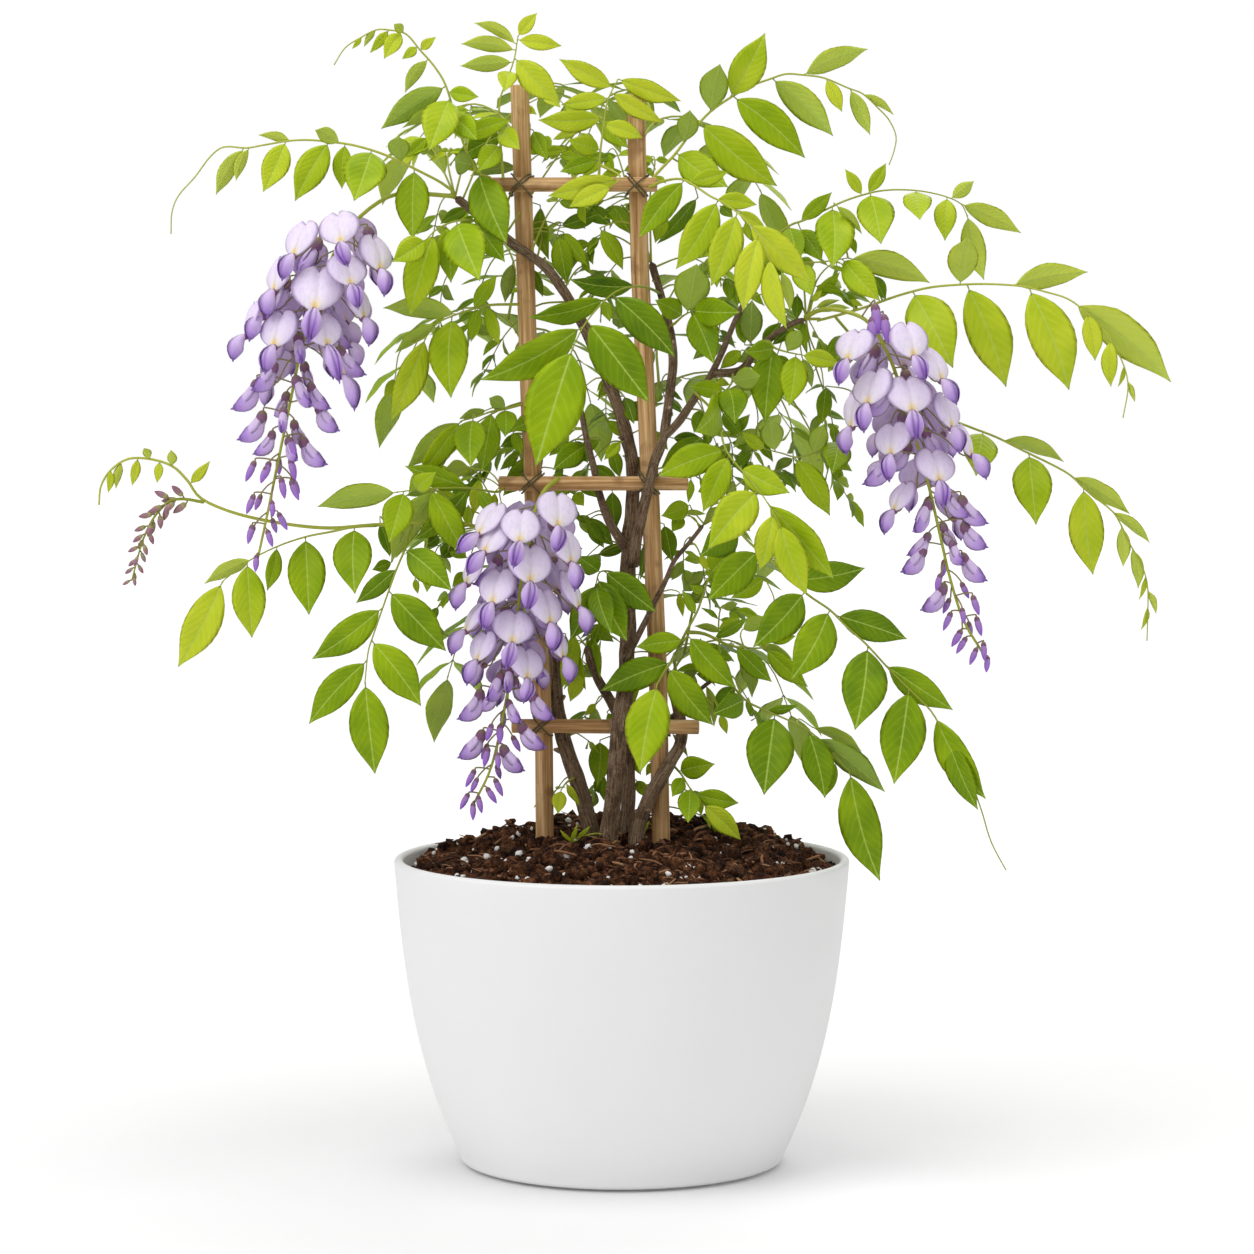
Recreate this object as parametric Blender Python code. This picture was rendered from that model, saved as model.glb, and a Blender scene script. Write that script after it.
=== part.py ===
"""A wisteria in a pot, trained on a small wooden ladder.

The plant is laid out by where it is seen from the front. A place is written as
(across, down, depth): across and down are pixels of a square picture 1254 pixels wide,
and depth is in millimetres behind the pot's axis, so a negative depth is nearer the viewer.
The function seen turns such a place into metres. The pot stands on z = 0 with its axis on Z,
and the viewer looks along +Y.
"""

import math

import bmesh
import bpy
from mathutils import Matrix, Vector
from mathutils.bvhtree import BVHTree

MM = 0.001

# Where the picture is seen from
PICTURE_MIDDLE = 627.0
POT_AXIS_ACROSS = 621.75
VIEW_DISTANCE = 2.33
VIEW_HEIGHT = 0.471
VIEW_PITCH = math.radians(3.75)
VIEW_FOCAL = 3954.0
# Millimetres at the pot's axis for one pixel of the picture
PIXEL = 1000 * VIEW_DISTANCE / VIEW_FOCAL

# Pot
POT_RIM_RADIUS = 0.135
POT_HEIGHT = 0.182
POT_TAPER = 0.0153
POT_BELLY = 0.0259
POT_WALL = 0.0055
POT_LIP_RADIUS = 0.0025
POT_EDGE_RADIUS = 0.004
POT_FOOT_RADIUS = 0.088
POT_FOOT_HEIGHT = 0.0016
POT_FLOOR = 0.007
POT_SEGMENTS = 40
WALL_HEIGHTS = (0.03, 0.06, 0.09, 0.12, 0.15)

# Potting mix
SOIL_EDGE_HEIGHT = 0.1725
SOIL_MOUND = 0.0165
SOIL_LUMP = 0.0022
CLEARANCE = 0.0003
SOCKET_CLEARANCE = 0.0004
TRUNK_SOCKET_CLEARANCE = 0.0009

# Ladder
STAKE_RADIUS = 0.0054
BAR_RADIUS = 0.0042
STAKE_FOOT = 0.045
TIE_RADIUS = 0.0009
TIE_POINTS = 16

# Leaves and flowers
LEAF_THICKNESS = 0.0008
LEAF_RATIO = 0.45
BACK_LEAF_RATIO = 0.42
RACHIS_RADIUS = 0.0008
SEAT_GAP = 0.00045
SEAT_AGAIN_REACH = 0.003
STATION_HALF = 0.0012
PEDICEL_WIDTH = 0.0012
CLUSTER_DEPTH = 0.85
LEAN_SHARE = 0.8
FLOWER_DEPTH = 0.35
LEAN_STEPS = (0, -5, 5, -10, 10, -16, 16, -23, 23, -31, 31, -40, 40, -50, 50)


def seen(across, down, depth):
    """The point that is seen at a picture place, depth millimetres behind the pot's axis."""
    u = across - PICTURE_MIDDLE
    v = down - PICTURE_MIDDLE
    ray = Vector(
        (
            u,
            VIEW_FOCAL * math.cos(VIEW_PITCH) - v * math.sin(VIEW_PITCH),
            -VIEW_FOCAL * math.sin(VIEW_PITCH) - v * math.cos(VIEW_PITCH),
        )
    )
    eye_x = (PICTURE_MIDDLE - POT_AXIS_ACROSS) / VIEW_FOCAL * VIEW_DISTANCE
    eye = Vector((eye_x, -VIEW_DISTANCE, VIEW_HEIGHT))
    return eye + ray * ((depth * MM - eye.y) / ray.y)


# Ladder places: foot, bends and top of each stake, and the two ends of each bar
STAKES = {
    "upright_left": [(546.5, 840, 5), (544, 747, 5), (530, 412, 5), (525.5, 270, 5), (519.5, 85, 5)],
    "upright_right": [(665.5, 845, -4), (658, 674, -4), (646, 395, -4), (640, 270, -4), (635.5, 94, -4)],
}
BARS = {
    "crossbar_top": [(485, 184.5, -6.5), (657, 184.5, -15)],
    "crossbar_middle": [(499, 483.5, -6.5), (688, 483.5, -15.5)],
    "crossbar_bottom": [(512, 726, -6.5), (699, 727, -15.5)],
}

# Woody stems: radius in millimetres at the foot and at the tip, then the places they pass
WOOD = {
    "trunk_main": {
        "radii": (6.2, 4.4),
        "axes": [
            [(609, 842, -12), (613, 800, -17), (617, 755, -22), (620, 724, -23), (625, 690, -18),
             (628, 640, -7), (628, 580, 2), (631, 532, 6)],
        ],
    },
    "trunk_back": {
        "radii": (5.0, 2.2),
        "axes": [
            [(627, 822, 11), (629, 780, 12), (627, 742, 12), (617, 712, 11), (604, 690, 9), (593, 668, 6),
             (586, 646, 4)],
        ],
    },
    "trunk_left": {
        "radii": (4.6, 2.2),
        "axes": [
            [(592, 838, 8), (583, 800, 8), (571, 765, 9), (562, 735, 10), (557, 700, 12), (555, 650, 16),
             (546, 603, 18), (531, 575, 15), (521, 548, 9)],
        ],
    },
    "trunk_right": {
        "radii": (4.2, 2.4),
        "axes": [
            [(637, 836, -12), (646, 805, -14), (658, 782, -15), (670, 762, -14), (680, 744, -6),
             (681, 724, 2), (676, 700, 8), (666, 676, 12), (655, 652, 12)],
        ],
    },
    "arm_left": {
        "radii": (4.2, 2.4),
        "on": "trunk_main",
        "axes": [
            [(631, 530, 6), (633, 500, 9), (632, 462, 9), (626, 435, 9), (617, 405, 8), (604, 371, 5),
             (590, 340, 3), (575, 309, 0), (552, 274, -3), (530, 255, -4.5), (511, 242, -7),
             (482, 219, -10), (455, 197, -12)],
        ],
    },
    "arm_right": {
        "radii": (3.2, 2.0),
        "on": "trunk_main",
        "axes": [
            [(634, 556, -6), (640, 522, -18), (649, 484, -26), (655, 462, -20), (664, 437, -10),
             (669, 400, -6), (673, 365, -4), (670, 330, 1), (660, 292, 7), (651, 262, 13)],
            [(664, 437, -10), (677, 424, -9), (696, 397, -8), (710, 376, -6), (723, 350, -3),
             (733, 325, 2), (745, 300, 7)],
            [(712, 374, -6), (741, 370, 0), (760, 346, 2), (789, 325, 4), (806, 319, 4)],
        ],
    },
    "stem_centre": {
        "radii": (2.8, 1.5),
        "on": "trunk_main",
        "axes": [
            [(626, 548, 4), (612, 526, -1), (602, 502, -3), (594, 468, 0), (586, 436, 4), (580, 405, 7)],
        ],
    },
    "stem_right_middle": {
        "radii": (1.9, 1.1),
        "on": "trunk_main",
        "axes": [
            [(630, 652, -16), (645, 622, -17), (658, 596, -14), (667, 578, -13), (675, 560, -11),
             (690, 542, -9), (704, 524, -9)],
        ],
    },
    "stem_right_low": {
        "radii": (1.8, 1.1),
        "on": "trunk_right",
        "axes": [
            [(678, 712, 6), (692, 697, 1), (707, 684, -1), (722, 675, -2)],
        ],
    },
}

# Flower clusters: the axis, then open flowers (banner place, keel place, banner width),
# half-open ones (place, length) and closed buds (place)
RACEMES = {
    "raceme_left": {
        "on": "arm_left",
        "axis": [(448, 193, -13), (420, 194, -18), (388, 197, -22), (352, 225, -29), (328, 267, -34),
                 (305, 334, -38), (287, 418, -41), (268, 511, -43), (257, 562, -44)],
        "reach": 66,
        "flowers_from": 225,
        "open": [(294, 239, 293, 264, 34), (382, 254, 377, 281, 40), (316, 289, 312, 323, 52),
                 (272, 275, 277, 301, 42), (263, 301, 262, 330, 36), (274, 329, 274, 360, 44),
                 (245, 320, 246, 354, 30), (366, 303, 360, 329, 42), (343, 360, 340, 402, 40),
                 (326, 330, 333, 376, 38), (338, 228, 345, 250, 30), (350, 270, 352, 292, 36)],
        "half": [(243, 399), (249, 430), (330, 421), (316, 455), (354, 365), (300, 352), (262, 380),
                 (305, 395)],
        "buds": [(250, 472), (293, 449), (293, 470), (295, 491), (283, 489), (266, 472), (250, 505),
                 (283, 522), (250, 535), (270, 539), (256, 564)],
    },
    "raceme_centre": {
        "on": "crossbar_middle",
        "axis": [(556, 478, -13), (545, 490, -24), (535, 511, -35), (526, 555, -40), (519, 599, -42),
                 (511, 672, -42), (505, 706, -42), (498, 741, -42), (489, 773, -42), (473, 805, -42)],
        "reach": 62,
        "flowers_from": 515,
        "open": [(521, 527, 518, 550, 40), (560, 511, 555, 533, 38), (487, 537, 480, 562, 38),
                 (532, 565, 528, 592, 45), (573, 548, 567, 576, 42), (493, 587, 491, 615, 42),
                 (552, 608, 547, 633, 44), (514, 628, 509, 654, 42), (530, 665, 522, 690, 36),
                 (482, 518, 476, 536, 34), (466, 569, 468, 599, 32), (466, 617, 464, 647, 36),
                 (477, 647, 477, 670, 32), (581, 592, 574, 624, 30), (565, 644, 558, 674, 34)],
        "half": [(468, 709), (544, 709), (469, 748), (535, 739), (493, 690), (515, 762)],
        "buds": [(470, 779), (499, 788), (492, 796), (464, 802), (480, 805), (473, 812), (500, 735),
                 (486, 758)],
    },
    "raceme_right": {
        "on": "arm_right",
        "axis": [(806, 316, 0), (825, 309, -9), (851, 313, -21), (869, 323, -28), (884, 346, -32),
                 (897, 377, -34), (917, 443, -34), (930, 491, -34), (940, 535, -34), (950, 578, -34),
                 (963, 619, -34), (979, 647, -34), (989, 663, -34)],
        "reach": 64,
        "flowers_from": 335,
        "open": [(848, 345, 846, 375, 40), (912, 340, 916, 365, 40), (866, 388, 870, 418, 44),
                 (912, 395, 913, 423, 47), (940, 364, 944, 390, 34), (848, 412, 857, 442, 34),
                 (889, 440, 894, 469, 42), (940, 466, 939, 493, 42), (953, 412, 950, 437, 40),
                 (894, 497, 894, 525, 34), (971, 440, 973, 469, 34)],
        "half": [(875, 474), (976, 514), (911, 563), (977, 539), (931, 601), (976, 571), (920, 520)],
        "buds": [(976, 606), (947, 622), (956, 639), (961, 646), (979, 627), (984, 652), (973, 657),
                 (987, 665)],
    },
}
BUD_RACEME = {
    "on": "shoot_left",
    "axis": [(203, 503, -37), (184, 499, -40), (170, 501, -42), (160, 510, -43), (150, 524, -44),
             (141, 546, -44), (132, 580, -44)],
    "buds": [(177, 489), (165, 498), (152, 504), (160, 522), (143, 521), (153, 535), (136, 536),
             (148, 549), (131, 551), (143, 563), (129, 566), (137, 575)],
}

# Leafy shoots. Every shoot is a list of axes; an axis has its places and its leaflets. A leaflet is
# (across and down of its foot on the axis, across and down of its tip, width), all in picture pixels.
SHOOTS = {
    "shoot_left": {
        "on": "trunk_left",
        "radius": 1.3,
        "axes": [
            ([(519, 545, 5), (505, 536, 2), (480, 528, -6), (450, 521, -14), (420, 523, -20),
              (373, 525, -26), (330, 528, -27), (286, 524, -28), (238, 514, -31), (202, 499, -36),
              (187, 480, -40), (172, 466, -42), (150, 459, -44), (128, 459, -46), (111, 470, -48),
              (101, 486, -50), (99, 505, -52)],
             [(150, 459, 144, 448, 9), (172, 466, 171, 450, 10), (190, 484, 210, 461, 10),
              (160, 461, 157, 483, 9), (138, 459, 132, 486, 9), (122, 463, 116, 489, 8),
              (111, 470, 108, 493, 7)]),
        ],
    },
    "leaf_left_low": {
        "on": "shoot_left",
        "axes": [
            ([(376, 527, -30), (354, 527, -33), (330, 532, -33), (305, 537, -32), (276, 547, -30),
              (247, 562, -29), (223, 581, -29)],
             [(354, 525, 355, 594, 39), (305, 535, 309, 615, 38), (247, 562, 252, 638, 34),
              (223, 581, 178, 667, 36), (252, 559, 204, 584, 14), (277, 546, 267, 591, 15)]),
        ],
    },
    "leaf_left_hanging": {
        "on": "shoot_left",
        "axes": [
            ([(412, 525, -22), (408, 537, -32), (405, 549, -42), (397, 568, -51), (389, 590, -58),
              (373, 636, -68), (368, 653, -71), (365, 682, -75)],
             [(405, 549, 452, 591, 32), (389, 591, 446, 651, 37), (371, 640, 421, 706, 36),
              (366, 683, 375, 774, 39), (383, 608, 312, 659, 31), (366, 660, 309, 724, 31),
              (396, 568, 356, 603, 19)]),
        ],
    },
    "leaf_left_middle": {
        "on": "crossbar_middle",
        "axes": [
            ([(503, 489, -10), (495, 492, -16), (470, 488, -22), (440, 488, -27), (415, 490, -30),
              (398, 492, -32)],
             [(398, 492, 317, 507, 24), (404, 492, 389, 543, 31), (415, 490, 436, 472, 20),
              (430, 489, 466, 556, 30), (436, 488, 391, 562, 28), (470, 488, 413, 540, 24),
              (478, 489, 493, 516, 14), (470, 488, 405, 466, 22)]),
        ],
    },
    "leaf_left_upper": {
        "on": "upright_left",
        "axes": [
            ([(516, 304, 2), (490, 305, -4), (473, 309, -9), (455, 315, -14), (438, 323, -18),
              (426, 337, -20)],
             [(426, 337, 391, 421, 28), (452, 317, 451, 398, 40), (438, 323, 395, 353, 12),
              (457, 314, 383, 308, 21), (473, 309, 497, 275, 16), (478, 308, 471, 342, 14),
              (486, 306, 499, 345, 14)]),
        ],
    },
    "leaf_front_centre": {
        "on": "arm_right",
        "axes": [
            ([(656, 290, 0), (645, 287, -20), (630, 287, -38), (611, 295, -57), (587, 321, -76),
              (573, 347, -86)],
             [(573, 347, 536, 466, 57), (582, 326, 480, 380, 34), (587, 321, 649, 402, 45),
              (606, 299, 528, 317, 21), (612, 294, 675, 357, 35), (637, 287, 569, 279, 20)]),
        ],
    },
    "leaf_left_of_stake": {
        "on": "upright_left",
        "axes": [
            ([(520, 405, 2), (505, 409, -4), (490, 412, -8), (476, 417, -11), (461, 421, -14)],
             [(473, 418, 471, 467, 34), (461, 421, 418, 477, 22), (492, 412, 482, 472, 27),
              (506, 409, 489, 398, 14), (505, 409, 505, 437, 22)]),
        ],
    },
    "leaf_top_left_tendril": {
        "on": "arm_left",
        "axes": [
            ([(452, 190, -13), (440, 182, -15), (425, 174, -17), (388, 156, -20), (357, 146, -20),
              (332, 142, -20), (308, 140, -19), (288, 141, -18), (264, 145, -17), (246, 148, -16),
              (224, 147, -15), (210, 157, -14), (195, 177, -13), (179, 195, -12), (172, 212, -11),
              (171, 234, -10)],
             [(329, 142, 295, 201, 31), (286, 141, 263, 192, 27), (244, 148, 216, 195, 15),
              (249, 148, 236, 181, 10), (345, 143, 342, 189, 19), (340, 143, 315, 130, 16),
              (291, 141, 258, 135, 9), (372, 150, 354, 201, 43), (414, 169, 413, 240, 34),
              (400, 162, 398, 136, 22)]),
        ],
    },
    "leaf_top_left": {
        "on": "crossbar_top",
        "axes": [
            ([(489, 178, -12), (478, 172, -14), (466, 150, -15), (456, 120, -15), (446, 86, -16),
              (434, 66, -16), (420, 50, -17), (406, 34, -18), (389, 30, -18), (376, 30, -19),
              (360, 38, -20), (345, 48, -20), (334, 65, -21)],
             [(401, 33, 384, 59, 17), (389, 30, 370, 53, 10), (404, 33, 394, 24, 10),
              (420, 50, 436, 37, 10), (417, 47, 402, 59, 10), (376, 30, 364, 47, 6),
              (362, 37, 352, 49, 5), (428, 59, 405, 93, 12), (446, 86, 381, 129, 24),
              (450, 98, 429, 151, 38), (448, 92, 479, 97, 16), (455, 117, 477, 140, 24),
              (462, 138, 511, 120, 20), (474, 165, 455, 160, 24), (478, 172, 507, 244, 40),
              (452, 108, 402, 128, 10)]),
        ],
    },
    "leaf_top_centre": {
        "on": "crossbar_top",
        "axes": [
            ([(503, 176, -10), (501, 150, -10), (499, 120, -10), (500, 100, -10), (505, 85, -11),
              (514, 60, -12), (518, 36, -12)],
             [(518, 36, 537, 13, 14), (519, 40, 562, 46, 16), (516, 44, 474, 23, 10),
              (516, 50, 461, 44, 14), (513, 62, 460, 66, 15), (510, 70, 504, 92, 20),
              (514, 58, 560, 103, 29), (500, 130, 520, 150, 22), (501, 145, 478, 172, 24)]),
        ],
    },
    "leaf_top_right": {
        "on": "crossbar_top",
        "axes": [
            ([(599, 176, -13), (600, 155, -13), (602, 138, -13), (607, 103, -13), (618, 79, -14)],
             [(618, 79, 681, 101, 19), (612, 93, 664, 123, 17), (604, 118, 538, 120, 22),
              (603, 124, 643, 138, 18), (609, 98, 561, 105, 18), (614, 88, 559, 59, 20),
              (600, 150, 568, 140, 20), (600, 160, 560, 172, 18)]),
            ([(600, 165, -13), (620, 176, -22), (612, 186, -26)],
             [(612, 186, 569, 207, 20), (618, 178, 548, 196, 24)]),
        ],
    },
    "leaf_high_right": {
        "on": "crossbar_top",
        "axes": [
            ([(653, 177, -14), (662, 168, -11), (676, 153, -7), (691, 133, -3), (710, 112, 1),
              (733, 96, 5), (751, 86, 8), (770, 79, 11), (786, 74, 13), (803, 75, 14), (824, 78, 15),
              (848, 88, 16), (863, 94, 17), (878, 108, 18), (889, 120, 19), (896, 136, 20),
              (894, 151, 20), (889, 165, 20)],
             [(710, 112, 720, 64, 29), (730, 98, 765, 33, 34), (803, 75, 868, 49, 20),
              (676, 153, 728, 187, 34), (700, 123, 777, 186, 40), (733, 96, 805, 158, 36),
              (772, 78, 833, 136, 29), (826, 79, 842, 112, 15), (850, 89, 870, 135, 15),
              (862, 94, 894, 115, 6), (684, 143, 690, 110, 22)]),
        ],
    },
    "leaf_high_front": {
        "on": "crossbar_top",
        "axes": [
            ([(652, 185, -21), (664, 181, -30), (681, 179, -42), (695, 186, -50), (710, 196, -58),
              (722, 202, -64), (738, 213, -71), (751, 226, -78), (762, 239, -84), (769, 258, -90)],
             [(684, 181, 639, 238, 28), (718, 201, 676, 269, 33), (737, 213, 711, 286, 32),
              (758, 235, 743, 311, 29), (690, 183, 728, 172, 17), (716, 199, 757, 205, 17),
              (748, 223, 811, 283, 30), (769, 257, 787, 329, 19)]),
        ],
    },
    "leaf_upper_right": {
        "on": "arm_right",
        "axes": [
            ([(745, 296, 10), (755, 268, 13), (770, 243, 14), (789, 226, 15), (807, 219, 15),
              (842, 202, 15), (870, 193, 15), (889, 190, 15), (909, 190, 15), (927, 192, 15),
              (947, 197, 15), (961, 204, 15), (967, 215, 15)],
             [(832, 206, 832, 268, 40), (870, 193, 881, 244, 38), (862, 195, 845, 169, 12),
              (868, 193, 886, 163, 14), (916, 191, 920, 220, 29), (947, 197, 945, 241, 23),
              (951, 199, 974, 181, 14), (961, 204, 1021, 233, 19), (967, 215, 984, 280, 24),
              (800, 221, 832, 192, 16), (789, 226, 800, 262, 26)]),
            ([(762, 257, 14), (790, 262, 4), (820, 262, -2), (848, 258, -4)],
             [(848, 258, 930, 283, 26), (842, 259, 880, 301, 29), (800, 262, 812, 296, 24)]),
        ],
    },
    "leaf_far_right": {
        "on": "arm_right",
        "axes": [
            ([(807, 319, 8), (820, 320, 9), (863, 308, 7), (897, 296, 4), (927, 288, 1), (954, 285, -2),
              (984, 284, -5), (1009, 285, -8), (1026, 287, -10), (1046, 292, -12), (1068, 299, -14),
              (1087, 313, -16), (1103, 330, -17), (1113, 344, -18), (1124, 366, -19), (1128, 388, -20),
              (1123, 418, -21)],
             [(960, 285, 968, 237, 31), (1012, 286, 1088, 272, 24), (913, 292, 953, 368, 48),
              (967, 285, 1006, 387, 44), (1029, 288, 1069, 390, 46), (1073, 302, 1171, 382, 34),
              (1087, 313, 1095, 361, 20), (1110, 340, 1111, 387, 16), (1124, 366, 1118, 387, 5),
              (1127, 381, 1135, 402, 5)]),
        ],
    },
    "leaf_right_behind": {
        "on": "leaf_far_right",
        "axes": [
            ([(836, 320, 14), (860, 345, 26), (900, 385, 30), (945, 416, 26), (970, 427, 20),
              (996, 437, 15), (1022, 450, 12), (1064, 471, 9), (1080, 484, 8), (1092, 495, 7),
              (1112, 511, 6), (1121, 525, 5), (1131, 546, 4), (1140, 561, 3), (1147, 582, 2),
              (1148, 605, 1), (1147, 641, 0)],
             [(1001, 440, 1064, 462, 13), (1029, 453, 1036, 525, 40), (1071, 476, 1130, 514, 16),
              (1112, 511, 1150, 543, 9), (1083, 487, 1093, 575, 36), (1121, 526, 1123, 567, 13),
              (1132, 548, 1138, 589, 11), (1146, 576, 1139, 600, 6), (1148, 590, 1156, 614, 6),
              (1148, 606, 1141, 630, 6), (983, 432, 976, 476, 36), (850, 335, 828, 372, 30)]),
        ],
    },
    "leaf_right_long": {
        "on": "stem_right_middle",
        "axes": [
            ([(709, 520, -12), (722, 519, -18), (736, 528, -25), (750, 543, -31), (777, 567, -39),
              (807, 594, -47), (830, 610, -52), (847, 627, -55), (866, 644, -58), (889, 669, -61),
              (908, 688, -64), (931, 711, -66), (946, 737, -68), (963, 762, -69), (980, 806, -70),
              (989, 836, -70), (996, 852, -70), (1006, 870, -70)],
             [(805, 592, 753, 647, 38), (830, 610, 791, 680, 40), (836, 615, 907, 639, 30),
              (868, 646, 855, 730, 45), (885, 665, 953, 710, 28), (909, 689, 894, 784, 45),
              (934, 716, 986, 799, 30), (947, 738, 978, 810, 23), (792, 581, 865, 568, 31),
              (758, 551, 708, 600, 36), (740, 532, 700, 556, 32)]),
        ],
    },
    "leaf_right_upper": {
        "on": "arm_right",
        "axes": [
            ([(699, 396, -12), (712, 410, -25), (720, 428, -37), (727, 452, -50), (751, 481, -66),
              (765, 499, -74), (779, 523, -82)],
             [(726, 449, 658, 476, 32), (740, 468, 790, 493, 28), (758, 490, 708, 549, 40),
              (767, 502, 834, 579, 31), (779, 523, 807, 595, 31), (773, 513, 760, 570, 26),
              (729, 455, 703, 512, 28)]),
        ],
    },
    "leaf_right_small": {
        "on": "leaf_right_behind",
        "axes": [
            ([(880, 368, 24), (866, 400, 14), (850, 430, 6), (832, 445, 0), (801, 457, -4),
              (781, 453, -6), (765, 449, -8)],
             [(795, 456, 830, 516, 26), (775, 452, 770, 420, 24), (812, 452, 824, 424, 20),
              (838, 440, 832, 474, 30), (765, 449, 742, 432, 14)]),
        ],
    },
    "leaf_right_tip": {
        "on": "stem_right_low",
        "axes": [
            ([(724, 677, -6), (736, 690, -12), (748, 702, -17), (767, 711, -23), (790, 721, -29),
              (812, 733, -34), (830, 751, -38), (849, 771, -41)],
             [(775, 714, 764, 795, 48), (767, 711, 798, 705, 10), (808, 731, 825, 798, 32),
              (816, 736, 885, 792, 24), (849, 771, 880, 881, 40), (745, 700, 713, 714, 26)]),
        ],
    },
    "shoot_right": {
        "on": "trunk_right",
        "radius": 1.1,
        "axes": [
            ([(678, 696, 4), (677, 678, -4), (675, 658, -10), (685, 634, -14), (697, 612, -16),
              (704, 592, -18), (710, 574, -19)],
             [(710, 574, 736, 545, 30), (704, 592, 690, 585, 10), (696, 615, 682, 590, 10)]),
            ([(675, 655, -10), (671, 662, -22), (664, 672, -34), (657, 684, -44)],
             [(671, 662, 601, 691, 32), (657, 684, 640, 773, 44), (667, 667, 713, 725, 33)]),
            ([(680, 646, -12), (684, 640, -20), (688, 636, -24)],
             [(688, 636, 736, 688, 30), (684, 640, 636, 647, 22)]),
            ([(686, 632, -14), (705, 634, -10), (728, 645, -8), (748, 648, -6), (765, 648, -4)],
             [(735, 647, 772, 682, 20), (765, 648, 808, 687, 20), (742, 647, 752, 698, 16),
              (714, 638, 748, 618, 12)]),
        ],
    },
    "leaf_bottom_right": {
        "on": "upright_right",
        "axes": [
            ([(674, 764, -6), (681, 774, -14), (690, 788, -22), (703, 804, -30)],
             [(679, 771, 715, 764, 24), (690, 788, 688, 823, 24), (695, 794, 739, 803, 20),
              (703, 804, 741, 840, 22), (683, 777, 672, 797, 15)]),
        ],
    },
    "leaf_bottom_left": {
        "on": "trunk_left",
        "axes": [
            ([(572, 778, 2), (566, 783, -3), (561, 790, -6)],
             [(561, 790, 558, 814, 15), (566, 783, 580, 806, 8)]),
        ],
    },
    "leaf_left_shoulder": {
        "on": "arm_left",
        "axes": [
            ([(484, 224, -16), (470, 220, -24), (452, 222, -33), (436, 230, -41), (426, 240, -46)],
             [(456, 221, 480, 281, 43), (434, 232, 410, 316, 34), (474, 221, 505, 262, 26),
              (446, 225, 451, 283, 24), (426, 240, 392, 262, 26)]),
        ],
    },
    "leaf_right_shoulder": {
        "on": "arm_right",
        "axes": [
            ([(675, 322, -5), (683, 316, -11), (692, 311, -16)],
             [(692, 311, 714, 364, 31), (687, 313, 697, 264, 36), (683, 316, 655, 300, 22),
              (692, 311, 740, 312, 30)]),
        ],
    },
    "leaf_right_hanging": {
        "on": "arm_right",
        "axes": [
            ([(770, 342, -4), (775, 348, -10), (787, 352, -14), (802, 355, -17)],
             [(773, 346, 765, 423, 37), (796, 354, 789, 406, 28), (802, 355, 840, 365, 18),
              (775, 348, 745, 352, 22), (787, 352, 800, 330, 18)]),
        ],
    },
    "leaf_right_spur": {
        "on": "arm_right",
        "axes": [
            ([(733, 376, -5), (732, 382, -12), (728, 388, -18), (720, 396, -24)],
             [(729, 387, 735, 424, 31), (732, 382, 760, 376, 24), (720, 396, 695, 432, 26),
              (724, 392, 690, 386, 18)]),
        ],
    },
    "leaf_centre_low": {
        "on": "trunk_main",
        "axes": [
            ([(620, 578, -4), (612, 572, -12), (600, 572, -18), (596, 584, -22)],
             [(604, 571, 656, 612, 30), (598, 578, 627, 641, 35), (596, 584, 612, 634, 28),
              (600, 572, 577, 556, 20), (596, 584, 570, 640, 28)]),
        ],
    },
    "leaf_back_high_left": {
        "on": "upright_left",
        "axes": [
            ([(519, 150, 13), (505, 120, 36), (475, 104, 70), (440, 116, 104), (410, 150, 132)], 46),
            ([(506, 122, 34), (530, 90, 60), (560, 84, 90), (590, 104, 115)], 40),
        ],
    },
    "leaf_back_high_right": {
        "on": "upright_right",
        "axes": [
            ([(638, 150, 5), (655, 122, 36), (690, 118, 72), (730, 142, 104), (760, 190, 126)], 46),
            ([(656, 124, 34), (640, 92, 66), (610, 96, 96), (590, 130, 120)], 40),
        ],
    },
    "leaf_back_left": {
        "on": "upright_left",
        "axes": [
            ([(527, 350, 13), (505, 318, 40), (465, 308, 78), (425, 330, 110), (400, 380, 130)], 48),
            ([(508, 320, 38), (515, 270, 66), (500, 240, 98), (470, 236, 126)], 42),
            ([(516, 332, 28), (545, 330, 60), (575, 352, 92), (590, 400, 116)], 44),
        ],
    },
    "leaf_back_right": {
        "on": "upright_right",
        "axes": [
            ([(647, 400, 5), (664, 384, 34), (706, 372, 72), (756, 384, 106), (790, 428, 128)], 48),
            ([(659, 388, 26), (658, 330, 60), (684, 276, 94), (728, 256, 118)], 44),
        ],
    },
    "leaf_back_low_left": {
        "on": "trunk_left",
        "axes": [
            ([(556, 640, 20), (535, 612, 44), (500, 604, 76), (465, 628, 104), (448, 676, 120)], 46),
            ([(540, 616, 40), (520, 560, 66), (480, 528, 96), (440, 530, 120)], 44),
        ],
    },
    "leaf_back_low_right": {
        "on": "trunk_right",
        "axes": [
            ([(668, 680, 16), (690, 650, 44), (728, 640, 78), (768, 664, 106), (790, 712, 122)], 46),
            ([(684, 654, 38), (700, 590, 66), (740, 556, 98), (785, 560, 122)], 44),
        ],
    },
}


def clear_scene():
    for old in list(bpy.data.objects):
        bpy.data.objects.remove(old, do_unlink=True)


def material(name, colour, roughness):
    made = bpy.data.materials.get(name)
    if made:
        return made
    made = bpy.data.materials.new(name)
    made.use_nodes = True
    shader = made.node_tree.nodes["Principled BSDF"]
    shader.inputs["Base Color"].default_value = (*colour, 1.0)
    shader.inputs["Roughness"].default_value = roughness
    shader.inputs["Metallic"].default_value = 0.0
    return made


def glazed_white():
    return material("pot_white", (0.86, 0.86, 0.85), 0.45)


def potting_mix():
    return material("potting_mix", (0.06, 0.035, 0.02), 0.95)


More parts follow.
